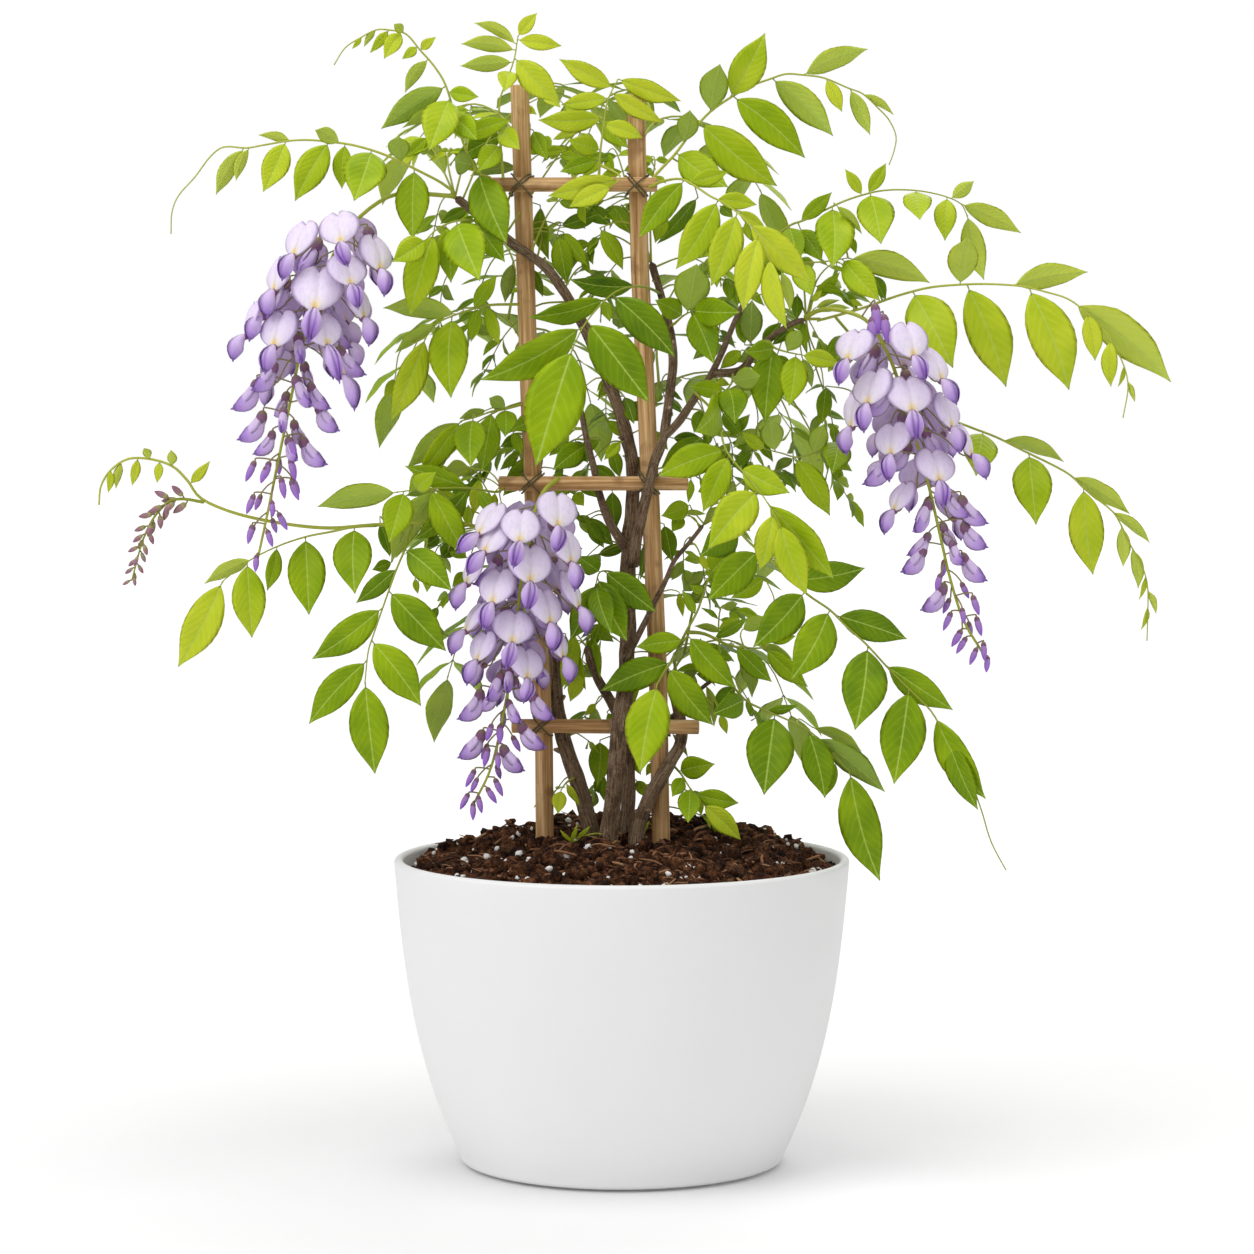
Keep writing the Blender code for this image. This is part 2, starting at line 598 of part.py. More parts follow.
def stake_wood():
    return material("stake_wood", (0.50, 0.29, 0.14), 0.7)


def twine():
    return material("twine", (0.16, 0.13, 0.05), 0.9)


def bark():
    return material("bark", (0.20, 0.13, 0.085), 0.9)


def leaf_green():
    return material("leaf_green", (0.17, 0.35, 0.03), 0.5)


def petal_lilac():
    return material("petal_lilac", (0.60, 0.50, 0.82), 0.55)


def finish_object(bm, name, finish, smooth=True):
    """Turns a bmesh into the named object with its material."""
    bmesh.ops.recalc_face_normals(bm, faces=bm.faces)
    mesh = bpy.data.meshes.new(name)
    bm.to_mesh(mesh)
    bm.free()
    mesh.materials.append(finish)
    if smooth:
        mesh.shade_smooth()
        mesh.set_sharp_from_angle(angle=math.radians(40))
    made = bpy.data.objects.new(name, mesh)
    bpy.context.scene.collection.objects.link(made)
    return made


def turned_solid(name, profile, segments, finish):
    """A solid turned about Z. The profile runs from the axis, round the outside, back to the axis."""
    bm = bmesh.new()
    rings = []
    for radius, height in profile:
        if radius == 0:
            rings.append([bm.verts.new((0, 0, height))])
            continue
        ring = []
        for i in range(segments):
            angle = 2 * math.pi * i / segments
            ring.append(bm.verts.new((radius * math.cos(angle), radius * math.sin(angle), height)))
        rings.append(ring)
    for lower, upper in zip(rings, rings[1:]):
        for i in range(segments):
            j = (i + 1) % segments
            if len(lower) == 1:
                bm.faces.new((lower[0], upper[i], upper[j]))
            elif len(upper) == 1:
                bm.faces.new((lower[i], lower[j], upper[0]))
            else:
                bm.faces.new((lower[i], lower[j], upper[j], upper[i]))
    return finish_object(bm, name, finish)


def pot_radius(height):
    """The pot's outer radius: a straight taper and a belly that pulls in towards the base."""
    t = 1 - height / POT_HEIGHT
    return POT_RIM_RADIUS - POT_TAPER * t - POT_BELLY * t**3


def pot_profile():
    profile = [(0, 0), (POT_FOOT_RADIUS, 0), (POT_FOOT_RADIUS, POT_FOOT_HEIGHT)]
    edge = POT_EDGE_RADIUS
    base = pot_radius(POT_FOOT_HEIGHT + edge)
    profile.append((base - edge, POT_FOOT_HEIGHT))
    for i in (1, 2):
        angle = math.radians(45 * i)
        profile.append((base - edge + edge * math.sin(angle), POT_FOOT_HEIGHT + edge * (1 - math.cos(angle))))
    for height in (*WALL_HEIGHTS, POT_HEIGHT - POT_LIP_RADIUS):
        profile.append((pot_radius(height), height))
    lip = POT_LIP_RADIUS
    outer = pot_radius(POT_HEIGHT - lip)
    profile.append((outer - lip * 0.3, POT_HEIGHT - lip * 0.3))
    profile.append((outer - lip, POT_HEIGHT))
    profile.append((outer - POT_WALL + lip, POT_HEIGHT))
    profile.append((outer - POT_WALL, POT_HEIGHT - lip))
    for height in (*reversed(WALL_HEIGHTS), POT_FLOOR):
        profile.append((pot_radius(height) - POT_WALL, height))
    profile.append((0, POT_FLOOR))
    return profile


def build_pot():
    return turned_solid("pot", pot_profile(), POT_SEGMENTS, glazed_white())


def soil_height(radius, angle):
    """The mound: low beside the wall, high in the middle, with lumps."""
    inner = pot_radius(SOIL_EDGE_HEIGHT) - POT_WALL
    s = min(radius / inner, 1.0)
    mound = SOIL_EDGE_HEIGHT + SOIL_MOUND * (1 - s * s)
    lumps = math.sin(5 * angle + 9 * s) + math.sin(8 * angle - 13 * s) + math.sin(3 * angle + 21 * s)
    return mound + SOIL_LUMP * lumps / 3 * (1 - 0.5 * s)


def build_soil():
    segments = POT_SEGMENTS
    bottom_height = POT_FLOOR + CLEARANCE
    wall = POT_WALL + CLEARANCE
    heights = (bottom_height, *WALL_HEIGHTS)
    bm = bmesh.new()
    rings = []
    for height in heights:
        rings.append([(pot_radius(height) - wall, height)] * segments)
    inner = pot_radius(SOIL_EDGE_HEIGHT) - wall - 0.0012
    for s in (1.0, 0.86, 0.68, 0.48, 0.26):
        ring = []
        for i in range(segments):
            ring.append((inner * s, soil_height(inner * s, 2 * math.pi * i / segments)))
        rings.append(ring)
    made = []
    for ring in rings:
        row = []
        for i, (radius, height) in enumerate(ring):
            angle = 2 * math.pi * i / segments
            row.append(bm.verts.new((radius * math.cos(angle), radius * math.sin(angle), height)))
        made.append(row)
    for lower, upper in zip(made, made[1:]):
        for i in range(segments):
            j = (i + 1) % segments
            bm.faces.new((lower[i], lower[j], upper[j], upper[i]))
    bottom = bm.verts.new((0, 0, bottom_height))
    top = bm.verts.new((0, 0, soil_height(0, 0)))
    for i in range(segments):
        j = (i + 1) % segments
        bm.faces.new((made[0][j], made[0][i], bottom))
        bm.faces.new((made[-1][i], made[-1][j], top))
    return finish_object(bm, "soil", potting_mix())


def smooth_route(points, steps):
    """A Catmull-Rom curve through the points, with this many steps between two of them."""
    if len(points) < 3:
        return [points[0].lerp(points[-1], i / steps) for i in range(steps + 1)]
    ends = [points[0] * 2 - points[1]] + points + [points[-1] * 2 - points[-2]]
    route = []
    for a, b, c, d in zip(ends, ends[1:], ends[2:], ends[3:]):
        for i in range(steps):
            t = i / steps
            bend = (2 * a - 5 * b + 4 * c - d) * t**2 + (3 * b - a - 3 * c + d) * t**3
            route.append(0.5 * (2 * b + (c - a) * t + bend))
    route.append(points[-1])
    return route


class Axis:
    """A stem's centre line with lengths along it, so that any length gives a point and a direction."""

    def __init__(self, points, steps=4):
        self.points = smooth_route(points, steps)
        self.lengths = [0.0]
        for a, b in zip(self.points, self.points[1:]):
            self.lengths.append(self.lengths[-1] + (b - a).length)
        self.total = self.lengths[-1]

    def span(self, length):
        length = min(max(length, 0.0), self.total)
        i = 0
        while i < len(self.lengths) - 2 and self.lengths[i + 1] < length:
            i += 1
        return i, (length - self.lengths[i]) / max(self.lengths[i + 1] - self.lengths[i], 1e-9)

    def point(self, length):
        i, t = self.span(length)
        return self.points[i].lerp(self.points[i + 1], t)

    def direction(self, length):
        ahead = self.point(min(length + 0.002, self.total))
        behind = self.point(max(length - 0.002, 0.0))
        return (ahead - behind).normalized()

    def nearest(self, place):
        """The length along the axis that lies nearest a point."""
        best = (1e9, 0.0)
        for i, (a, b) in enumerate(zip(self.points, self.points[1:])):
            t = min(max((place - a).dot(b - a) / max((b - a).length_squared, 1e-12), 0.0), 1.0)
            gap = (a.lerp(b, t) - place).length
            best = min(best, (gap, self.lengths[i] + t * (self.lengths[i + 1] - self.lengths[i])))
        return best[1]


def set_ring(face, centre, direction, radius, old_direction):
    """Moves a face's corners to a ring round centre, turned with the stem and not twisted."""
    turn = old_direction.rotation_difference(direction)
    middle = face.calc_center_median()
    offsets = []
    for vert in face.verts:
        offset = turn @ (vert.co - middle)
        offset -= direction * offset.dot(direction)
        offsets.append(offset.normalized() * radius)
    for vert, offset in zip(face.verts, offsets):
        vert.co = centre + offset


def extrude(bm, face):
    return bmesh.ops.extrude_discrete_faces(bm, faces=[face])["faces"][0]


def sides_of(face):
    """The faces that border this end face: the walls of the segment behind it."""
    return [other for edge in face.edges for other in edge.link_faces if other is not face]


def first_segment(bm, start, direction, radius, length, sides):
    """A short prism to grow from: its far end is returned, its near end stays as the cap."""
    turn = Vector((0, 0, 1)).rotation_difference(direction).to_matrix().to_4x4()
    place = Matrix.Translation(start + direction * length / 2) @ turn
    made = bmesh.ops.create_cone(
        bm, cap_ends=True, segments=sides, radius1=radius, radius2=radius, depth=length, matrix=place
    )
    faces = {face for vert in made["verts"] for face in vert.link_faces}
    return max(faces, key=lambda face: (face.calc_center_median() - start).dot(direction))


def set_blade(face, centre, along, across, width, thickness):
    """Moves a four-cornered face to a flat cross-section, each corner to the nearest place of its turn."""
    normal = along.cross(across)
    half_w = across * width / 2
    half_t = normal * thickness / 2
    corners = [half_w + half_t, -half_w + half_t, -half_w - half_t, half_w - half_t]
    middle = face.calc_center_median()
    offsets = [(vert.co - middle).normalized() for vert in face.verts]
    if offsets[0].cross(offsets[1]).dot(along) < 0:
        corners.reverse()
    best = max(
        range(4),
        key=lambda k: sum(offsets[i].dot(corners[(i + k) % 4].normalized()) for i in range(4)),
    )
    for i, vert in enumerate(face.verts):
        vert.co = centre + corners[(i + best) % 4]


def grow_leaflet(bm, face, leaflet):
    """A petiolule, a flat blade in two sections and a point, out of one side face of the axis."""
    foot, tip, across, width = leaflet["foot"], leaflet["tip"], leaflet["across"], leaflet["width"]
    along = (tip - foot).normalized()
    sections = ((0.10, 0.10), (0.36, 0.86),
               (0.68, 0.62)) if leaflet.get("fine") and width > 0.011 else ((0.42, 0.8),)
    for place, share in sections:
        face = extrude(bm, face)
        set_blade(face, foot.lerp(tip, place), along, across, max(width * share, 0.0014), LEAF_THICKNESS)
    face = extrude(bm, face)
    bmesh.ops.pointmerge(bm, verts=list(face.verts), merge_co=tip)


def grow_flower(bm, face, flower):
    """A pedicel and a plain body from the banner to the keel's tip."""
    foot, heart, tip, across, size = (flower[key] for key in ("foot", "heart", "tip", "across", "size"))
    along = (heart - foot).normalized()
    face = extrude(bm, face)
    set_blade(face, foot.lerp(heart, 0.55), along, across, PEDICEL_WIDTH, PEDICEL_WIDTH)
    face = extrude(bm, face)
    set_blade(face, heart, (tip - foot).normalized(), across, size, size * FLOWER_DEPTH)
    face = extrude(bm, face)
    bmesh.ops.pointmerge(bm, verts=list(face.verts), merge_co=tip)


def grow_axis(bm, face, axis, radii, children, start=0.0):
    """Extrudes an end face along an axis and grows each child from a short segment's side face."""
    stations = []
    for child in sorted(children, key=lambda c: c["at"]):
        at = min(max(child["at"], start + 2.2 * STATION_HALF), axis.total - 1.6 * STATION_HALF)
        if stations and at - stations[-1][0] < 2.4 * STATION_HALF:
            if len(stations[-1][1]) < 3:
                stations[-1][1].append(child)
                continue
            at = stations[-1][0] + 2.4 * STATION_HALF
        stations.append((at, [child]))
    rings = []
    for at, group in stations:
        rings.append((at - STATION_HALF, None))
        rings.append((at + STATION_HALF, group))
    for length in axis.lengths[1::2]:
        if length > start + 0.002 and all(abs(length - at) > 3.2 * STATION_HALF for at, _ in stations):
            rings.append((length, None))
    last = max([at for at, _ in stations], default=0.0) + 1.5 * STATION_HALF
    rings.append((max(axis.total, last), None))
    rings.sort(key=lambda ring: ring[0])
    direction = axis.direction(start)
    grown = []
    for length, group in rings:
        face = extrude(bm, face)
        ahead = axis.direction(length)
        share = min(length / axis.total, 1.0)
        set_ring(face, axis.point(length), ahead, radii[0] + (radii[1] - radii[0]) * share, direction)
        direction = ahead
        if group:
            free = [side for side in sides_of(face) if len(side.verts) == 4]
            for child in group:
                wanted = (child["towards"] - axis.point(length)).normalized()
                best = max(free, key=lambda side: side_facing(side, axis.point(length), wanted))
                free.remove(best)
                grown.append((child, best))
    for child, side in grown:
        child["grow"](bm, side, child)


def side_facing(side, middle, wanted):
    side.normal_update()
    out = side.normal
    if out.dot(side.calc_center_median() - middle) < 0:
        out = -out
    return out.dot(wanted)


def tree_of(made):
    bm = bmesh.new()
    bm.from_mesh(made.data)
    bmesh.ops.triangulate(bm, faces=bm.faces)
    tree = BVHTree.FromBMesh(bm)
    bm.free()
    return tree


def seat_on(carrier, first, second):
    """Where a shoot leaves its carrier: just off the surface, with the surface's own direction."""
    inward = (first - second).normalized()
    hit = carrier.ray_cast(second, inward, 0.05)
    if hit[0] is None:
        hit = carrier.find_nearest(first)
    place, normal = hit[0], hit[1]
    if normal.dot(second - place) < 0:
        normal = -normal
    return place + normal * SEAT_GAP, normal


def leaflet_shape(foot, tip, width):
    """The blade's across direction and true width, from how wide it looks beside its length."""
    view = Vector((0, 1, 0))
    along = (tip - foot).normalized()
    flat = along.cross(view)
    if flat.length < 1e-4:
        flat = Vector((1, 0, 0))
    flat.normalize()
    true_width = max(width, LEAF_RATIO * (tip - foot).length * 0.8)
    turn = math.acos(min(width / true_width, 1.0)) * 0.9
    sign = 1 if tip.x > foot.x else -1
    across = Matrix.Rotation(turn * sign, 3, along) @ flat
    return across.normalized(), true_width


def tip_depth(leaflet, depth):
    """How far in front of its foot a leaflet's tip lies, in millimetres, from its looks."""
    length = math.hypot(leaflet[2] - leaflet[0], leaflet[3] - leaflet[1])
    true_length = max(length, leaflet[4] / LEAF_RATIO)
    return depth - PIXEL * math.sqrt(true_length**2 - length**2) * LEAN_SHARE


def blade_points(foot, tip, across, width):
    middle = foot.lerp(tip, 0.4)
    side = across * width * 0.5
    ahead = foot.lerp(tip, 0.72)
    return [foot.lerp(tip, 0.06), middle + side, ahead + side * 0.7, tip, ahead - side * 0.7, middle - side]


def blade_tree(foot, tip, across, width):
    points = blade_points(foot, tip, across, width)
    normal = (tip - foot).cross(across).normalized() * (LEAF_THICKNESS * 0.5 + 0.0004)
    both = [p + normal for p in points] + [p - normal for p in points]
    faces = [(0, 1, 2, 3), (0, 3, 4, 5), (6, 9, 8, 7), (6, 11, 10, 9)]
    for i in range(6):
        j = (i + 1) % 6
        faces.append((i, i + 6, j + 6, j))
    return BVHTree.FromPolygons(both, faces)


def tube_tree(axis, radius):
    """A square tube round an axis, to find what it would run into."""
    points = []
    faces = []
    for i, point in enumerate(axis.points):
        along = axis.direction(axis.lengths[i])
        side = along.cross(Vector((0, 1, 0)))
        side = side.normalized() if side.length > 1e-4 else Vector((1, 0, 0))
        up = along.cross(side)
        for a, b in ((1, 1), (-1, 1), (-1, -1), (1, -1)):
            points.append(point + (side * a + up * b) * radius)
        if i:
            for k in range(4):
                m = (k + 1) % 4
                faces.append((4 * i - 4 + k, 4 * i - 4 + m, 4 * i + m, 4 * i + k))
    return BVHTree.FromPolygons(points, faces)


def leaflet_child(at, foot, tip, across, width, fine):
    return {
        "at": at,
        "foot": foot,
        "tip": tip,
        "across": across,
        "width": width,
        "towards": tip,
        "fine": fine,
        "grow": grow_leaflet,
    }


def leaflet_places(axis, leaflets, obstacles):
    """Every leaflet's foot, tip and blade, its tip moved nearer or further until it is clear."""
    placed = []
    for leaflet in leaflets:
        at = axis.nearest_seen(leaflet[0], leaflet[1])
        foot = axis.point(at)
        width = leaflet[4] * PIXEL * MM
        start = tip_depth(leaflet, foot.y / MM)
        chosen = None
        for step in LEAN_STEPS:
            tip = seen(leaflet[2], leaflet[3], start + step)
            across, true_width = leaflet_shape(foot, tip, width)
            tree = blade_tree(foot, tip, across, true_width)
            if not any(tree.overlap(other) for other in obstacles):
                chosen = (tip, across, true_width, tree)
                break
        if chosen is None:
            print("no clear place for", leaflet)
            continue
        tip, across, true_width, tree = chosen
        obstacles.append(tree)
        placed.append(leaflet_child(at, foot, tip, across, true_width, True))
    return placed


def picture_place(point):
    """Where a point is seen in the picture."""
    eye_x = (PICTURE_MIDDLE - POT_AXIS_ACROSS) / VIEW_FOCAL * VIEW_DISTANCE
    away = point - Vector((eye_x, -VIEW_DISTANCE, VIEW_HEIGHT))
    forward = away.y * math.cos(VIEW_PITCH) - away.z * math.sin(VIEW_PITCH)
    up = away.y * math.sin(VIEW_PITCH) + away.z * math.cos(VIEW_PITCH)
    return (
        PICTURE_MIDDLE + VIEW_FOCAL * away.x / forward,
        PICTURE_MIDDLE - VIEW_FOCAL * up / forward,
    )


class SeenAxis(Axis):
    """An axis that also knows where it is seen."""

    def __init__(self, points, steps=4):
        super().__init__(points, steps)
        self.places = [picture_place(point) for point in self.points]

    def nearest_seen(self, across, down):
        best = (1e9, 0.0)
        for i, (a, b) in enumerate(zip(self.places, self.places[1:])):
            run = (b[0] - a[0], b[1] - a[1])
            size = max(run[0] ** 2 + run[1] ** 2, 1e-9)
            t = ((across - a[0]) * run[0] + (down - a[1]) * run[1]) / size
            t = min(max(t, 0.0), 1.0)
            gap = math.hypot(a[0] + run[0] * t - across, a[1] + run[1] * t - down)
            best = min(best, (gap, self.lengths[i] + t * (self.lengths[i + 1] - self.lengths[i])))
        return best[1]


def ruled_leaflets(axis, size, obstacles):
    """A back leaf's own leaflets: pairs at even distances that hang a little, and one at the tip."""
    pairs = 4
    placed = []
    wishes = []
    for i in range(pairs):
        at = axis.total * (0.32 + 0.6 * i / (pairs - 1))
        along = axis.direction(at)
        side = along.cross(Vector((0, 0, 1))).normalized()
        length = size * MM * (1 - 0.12 * abs(i - 1.2))
        for sign in (1, -1):
            way = (along * 0.45 + side * sign * 0.85 + Vector((0, 0, -0.45))).normalized()
            wishes.append((at, way, length, along))
    wishes.append((axis.total, (axis.direction(axis.total) + Vector((0, 0, -0.35))).normalized(), size * MM,
                   axis.direction(axis.total)))
    for at, way, length, along in wishes:
        foot = axis.point(at)
        for drop in (0, 0.25, -0.25, 0.5, -0.5, 0.8, -0.8):
            tip = foot + (way + Vector((0, 0, -drop))).normalized() * length
            line = (tip - foot).normalized()
            across = line.cross(Vector((0, 0, 1)))
            across = across.normalized() if across.length > 0.05 else along
            across = (across - line * across.dot(line)).normalized()
            width = length * BACK_LEAF_RATIO
            tree = blade_tree(foot, tip, across, width)
            if not any(tree.overlap(other) for other in obstacles):
                obstacles.append(tree)
                placed.append(leaflet_child(at, foot, tip, across, width, False))
                break
    return placed


def build_stakes():
    made = {}
    for name, places in STAKES.items():
        points = [seen(*place) for place in places]
        points[0] = Vector((points[0].x, points[0].y, STAKE_FOOT))
        bm = bmesh.new()
        axis = Axis(points, 1)
        face = first_segment(bm, axis.point(0), axis.direction(0), STAKE_RADIUS, 0.01, 12)
        grow_axis(bm, face, axis, (STAKE_RADIUS, STAKE_RADIUS), [], 0.01)
        made[name] = finish_object(bm, name, stake_wood())
    return made


def build_bars():
    made = {}
    for name, places in BARS.items():
        ends = [seen(*place) for place in places]
        bm = bmesh.new()
        direction = (ends[1] - ends[0]).normalized()
        first_segment(bm, ends[0], direction, BAR_RADIUS, (ends[1] - ends[0]).length, 12)
        made[name] = finish_object(bm, name, stake_wood())
    return made


def crossing(stake, bar):
    """The points where a stake and a bar pass each other, nearest one another."""
    best = None
    start, end = [seen(*place) for place in BARS[bar]]
    axis = Axis([seen(*place) for place in STAKES[stake]], 1)
    for i in range(201):
        on_bar = start.lerp(end, i / 200)
        on_stake = axis.point(axis.nearest(on_bar))
        gap = (on_bar - on_stake).length
        if best is None or gap < best[0]:
            best = (gap, on_stake, on_bar)
    return best[1], best[2]


def build_tie(name, stake, bar, lean):
    """One turn of twine on the slant round the crossing of a stake and a bar."""
    on_stake, on_bar = crossing(stake, bar)
    slant = Vector((lean, 0, 1)).normalized()
    reach = 1.6 * (TIE_RADIUS + CLEARANCE + 0.0001)
    half = ((STAKE_RADIUS + CLEARANCE) * math.sqrt(2), (BAR_RADIUS + CLEARANCE) * math.sqrt(2))
    depth = (STAKE_RADIUS + CLEARANCE, BAR_RADIUS + CLEARANCE)
    points = []
    for i in range(TIE_POINTS):
        angle = 2 * math.pi * (i + 0.5) / TIE_POINTS
        n = (math.cos(angle), math.sin(angle))
        best = None
        for centre, a, b in ((on_stake, half[0], depth[0]), (on_bar, half[1], depth[1])):
            size = math.sqrt((a * n[0]) ** 2 + (b * n[1]) ** 2)
            place = (a * a * n[0] / size, centre.y - on_stake.y + b * b * n[1] / size)
            support = place[0] * n[0] + place[1] * n[1]
            if best is None or support > best[0]:
                best = (support, place)
        place = best[1]
        middle = Vector(((on_stake.x + on_bar.x) / 2, on_stake.y, (on_stake.z + on_bar.z) / 2))
        sideways = slant * (place[0] + n[0] * reach)
        points.append(middle + sideways + Vector((0, 1, 0)) * (place[1] + n[1] * reach))
    bm = bmesh.new()
    rings = []
    hub = sum(points, Vector()) / len(points)
    for i, point in enumerate(points):
        along = (points[(i + 1) % TIE_POINTS] - points[i - 1]).normalized()
        out = point - hub
        out = (out - along * out.dot(along)).normalized()
        side = along.cross(out)
        ring = []
        for k in range(4):
            angle = math.pi / 4 + math.pi / 2 * k
            ring.append(bm.verts.new(point + (out * math.cos(angle) + side * math.sin(angle)) * TIE_RADIUS))
        rings.append(ring)
    for i in range(TIE_POINTS):
        a, b = rings[i], rings[(i + 1) % TIE_POINTS]
        for k in range(4):
            m = (k + 1) % 4
            bm.faces.new((a[k], a[m], b[m], b[k]))
    return finish_object(bm, name, twine())


def build_ties():
    made = {}
    for bar in BARS:
        for stake in STAKES:
            level = bar.split("_")[1]
            side = stake.split("_")[1]
            name = f"tie_{level}_{side}"
            made[name] = build_tie(name, stake, bar, 1 if side == "left" else -1)
    return made


def build_wood(trees):
    made = {}
    for name, stem in WOOD.items():
        radii = (stem["radii"][0] * MM, stem["radii"][1] * MM)
        points = [seen(*place) for place in stem["axes"][0]]
        bm = bmesh.new()
        if "on" in stem:
            start, normal = seat_on(trees[stem["on"]], points[0], points[1])
            points[0] = start
        else:
            start = Vector((points[0].x, points[0].y, STAKE_FOOT + 0.09))
            normal = Vector((0, 0, 1))
            points.insert(0, start)
        axis = Axis(points, 2)
        face = first_segment(bm, start, normal, radii[0] * (0.7 if "on" in stem else 1), 0.0015, 8)
        children = []
        for route in stem["axes"][1:]:
            fork = [seen(*place) for place in route]
            children.append(
                {"at": axis.nearest(fork[0]), "towards": fork[1], "grow": grow_fork, "route": fork,
                 "radii": (radii[0] * 0.75, radii[1] * 0.7), "more": []}
            )
        nested = []
        for child in children[1:]:
            first = Axis(children[0]["route"], 2)
            child["at"] = first.nearest(child["route"][0])
            nested.append(child)
        if nested:
            children[0]["more"] = nested
            children = children[:1]
        grow_axis(bm, face, axis, radii, children, 0.0015)
        made[name] = finish_object(bm, name, bark())
        trees[name] = tree_of(made[name])
    return made


def grow_fork(bm, side, child):
    axis = Axis(child["route"], 2)
    grow_axis(bm, side, axis, child["radii"], child["more"], 0.004)


def flower_children(axis, flowers_from, reach, open_flowers, half, buds):
    """Every flower's place round the cluster's axis, from where it is seen and how far out it is."""
    children = []
    end_down = axis.places[-1][1]

    def child(across, down, tip_across, tip_down, width, outward, drop):
        share = (down - flowers_from) / (end_down - flowers_from)
        at = axis.nearest_seen(across * 0.15 + axis_across(axis, down) * 0.85, down - drop)
        middle = axis.point(axis.nearest_seen(axis_across(axis, down), down))
        off = (across - axis_across(axis, down)) / max(reach * (1 - 0.75 * share), 8)
        spread = reach * (1 - 0.75 * share) * PIXEL * CLUSTER_DEPTH
        depth = outward * math.sqrt(max(1 - min(abs(off), 1) ** 2, 0.05)) * spread
        heart = seen(across, down, middle.y / MM - depth)
        tip = seen(tip_across, tip_down, middle.y / MM - depth * 1.1)
        radial = Vector((heart.x - middle.x, heart.y - middle.y, 0))
        across_way = radial.cross(Vector((0, 0, 1))).normalized()
        foot = axis.point(at)
        return {
            "at": at,
            "foot": foot,
            "heart": heart,
            "tip": tip,
            "across": across_way,
            "size": width * PIXEL * MM,
            "towards": heart,
            "grow": grow_flower,
        }

    for across, down, keel_across, keel_down, width in open_flowers:
        tip_across = across + 1.4 * (keel_across - across)
        tip_down = down + 1.35 * (keel_down - down)
        children.append(child(across, down, tip_across, tip_down, width * 0.5, 1, 16))
        mirrored = 2 * axis_across(axis, down) - across
        back = down + 7
        children.append(child(mirrored, back, mirrored, back + 1.3 * (keel_down - down), width * 0.5, -1, 16))
    for across, down in half:
        children.append(child(across, down - 12, across, down + 16, 11, 0.6, 12))
    for across, down in buds:
        children.append(child(across, down - 6, across, down + 9, 6, 0.5, 10))
    return children


def axis_across(axis, down):
    for a, b in zip(axis.places, axis.places[1:]):
        if a[1] <= down <= b[1]:
            return a[0] + (b[0] - a[0]) * (down - a[1]) / max(b[1] - a[1], 1e-6)
    return axis.places[-1][0]


def build_racemes(trees):
    made = {}
    for name, cluster in RACEMES.items():
        points = [seen(*place) for place in cluster["axis"]]
        start, normal = seat_on(trees[cluster["on"]], points[0], points[1])
        points[0] = start
        axis = SeenAxis(points, 3)
        children = flower_children(
            axis, cluster["flowers_from"], cluster["reach"], cluster["open"], cluster["half"], cluster["buds"]
        )
        bm = bmesh.new()
        face = first_segment(bm, start, normal, 0.0012, 0.0015, 4)
        grow_axis(bm, face, axis, (0.0013, 0.0007), children, 0.0015)
        made[name] = finish_object(bm, name, petal_lilac())
        trees[name] = tree_of(made[name])
    return made


def build_bud_raceme(trees):
    points = [seen(*place) for place in BUD_RACEME["axis"]]
    start, normal = seat_on(trees[BUD_RACEME["on"]], points[0], points[1])
    points[0] = start
    axis = SeenAxis(points, 3)
    children = flower_children(axis, 490, 14, [], [], BUD_RACEME["buds"])
    bm = bmesh.new()
    face = first_segment(bm, start, normal, 0.0008, 0.0012, 4)
    grow_axis(bm, face, axis, (0.0009, 0.0005), children, 0.0012)
    return finish_object(bm, "raceme_buds", petal_lilac())


def grow_shoot_axis(bm, side, child):
    grow_axis(bm, side, child["axis"], (child["radius"], RACHIS_RADIUS * 0.5), child["more"], 0.003)


def gap_between(axis, place):
    return (axis.point(axis.nearest(place)) - place).length


def seat_again(carrier, axis, normal, leaflets):
    """The same axis with its start moved to the finished carrier, where that lies close by."""
    first, second = axis.points[0], axis.points[2]
    start, new_normal = seat_on(carrier, first, second)
    if (start - first).length > SEAT_AGAIN_REACH:
        return axis, normal, leaflets
    return SeenAxis([start] + axis.points[2:], 1), new_normal, leaflets


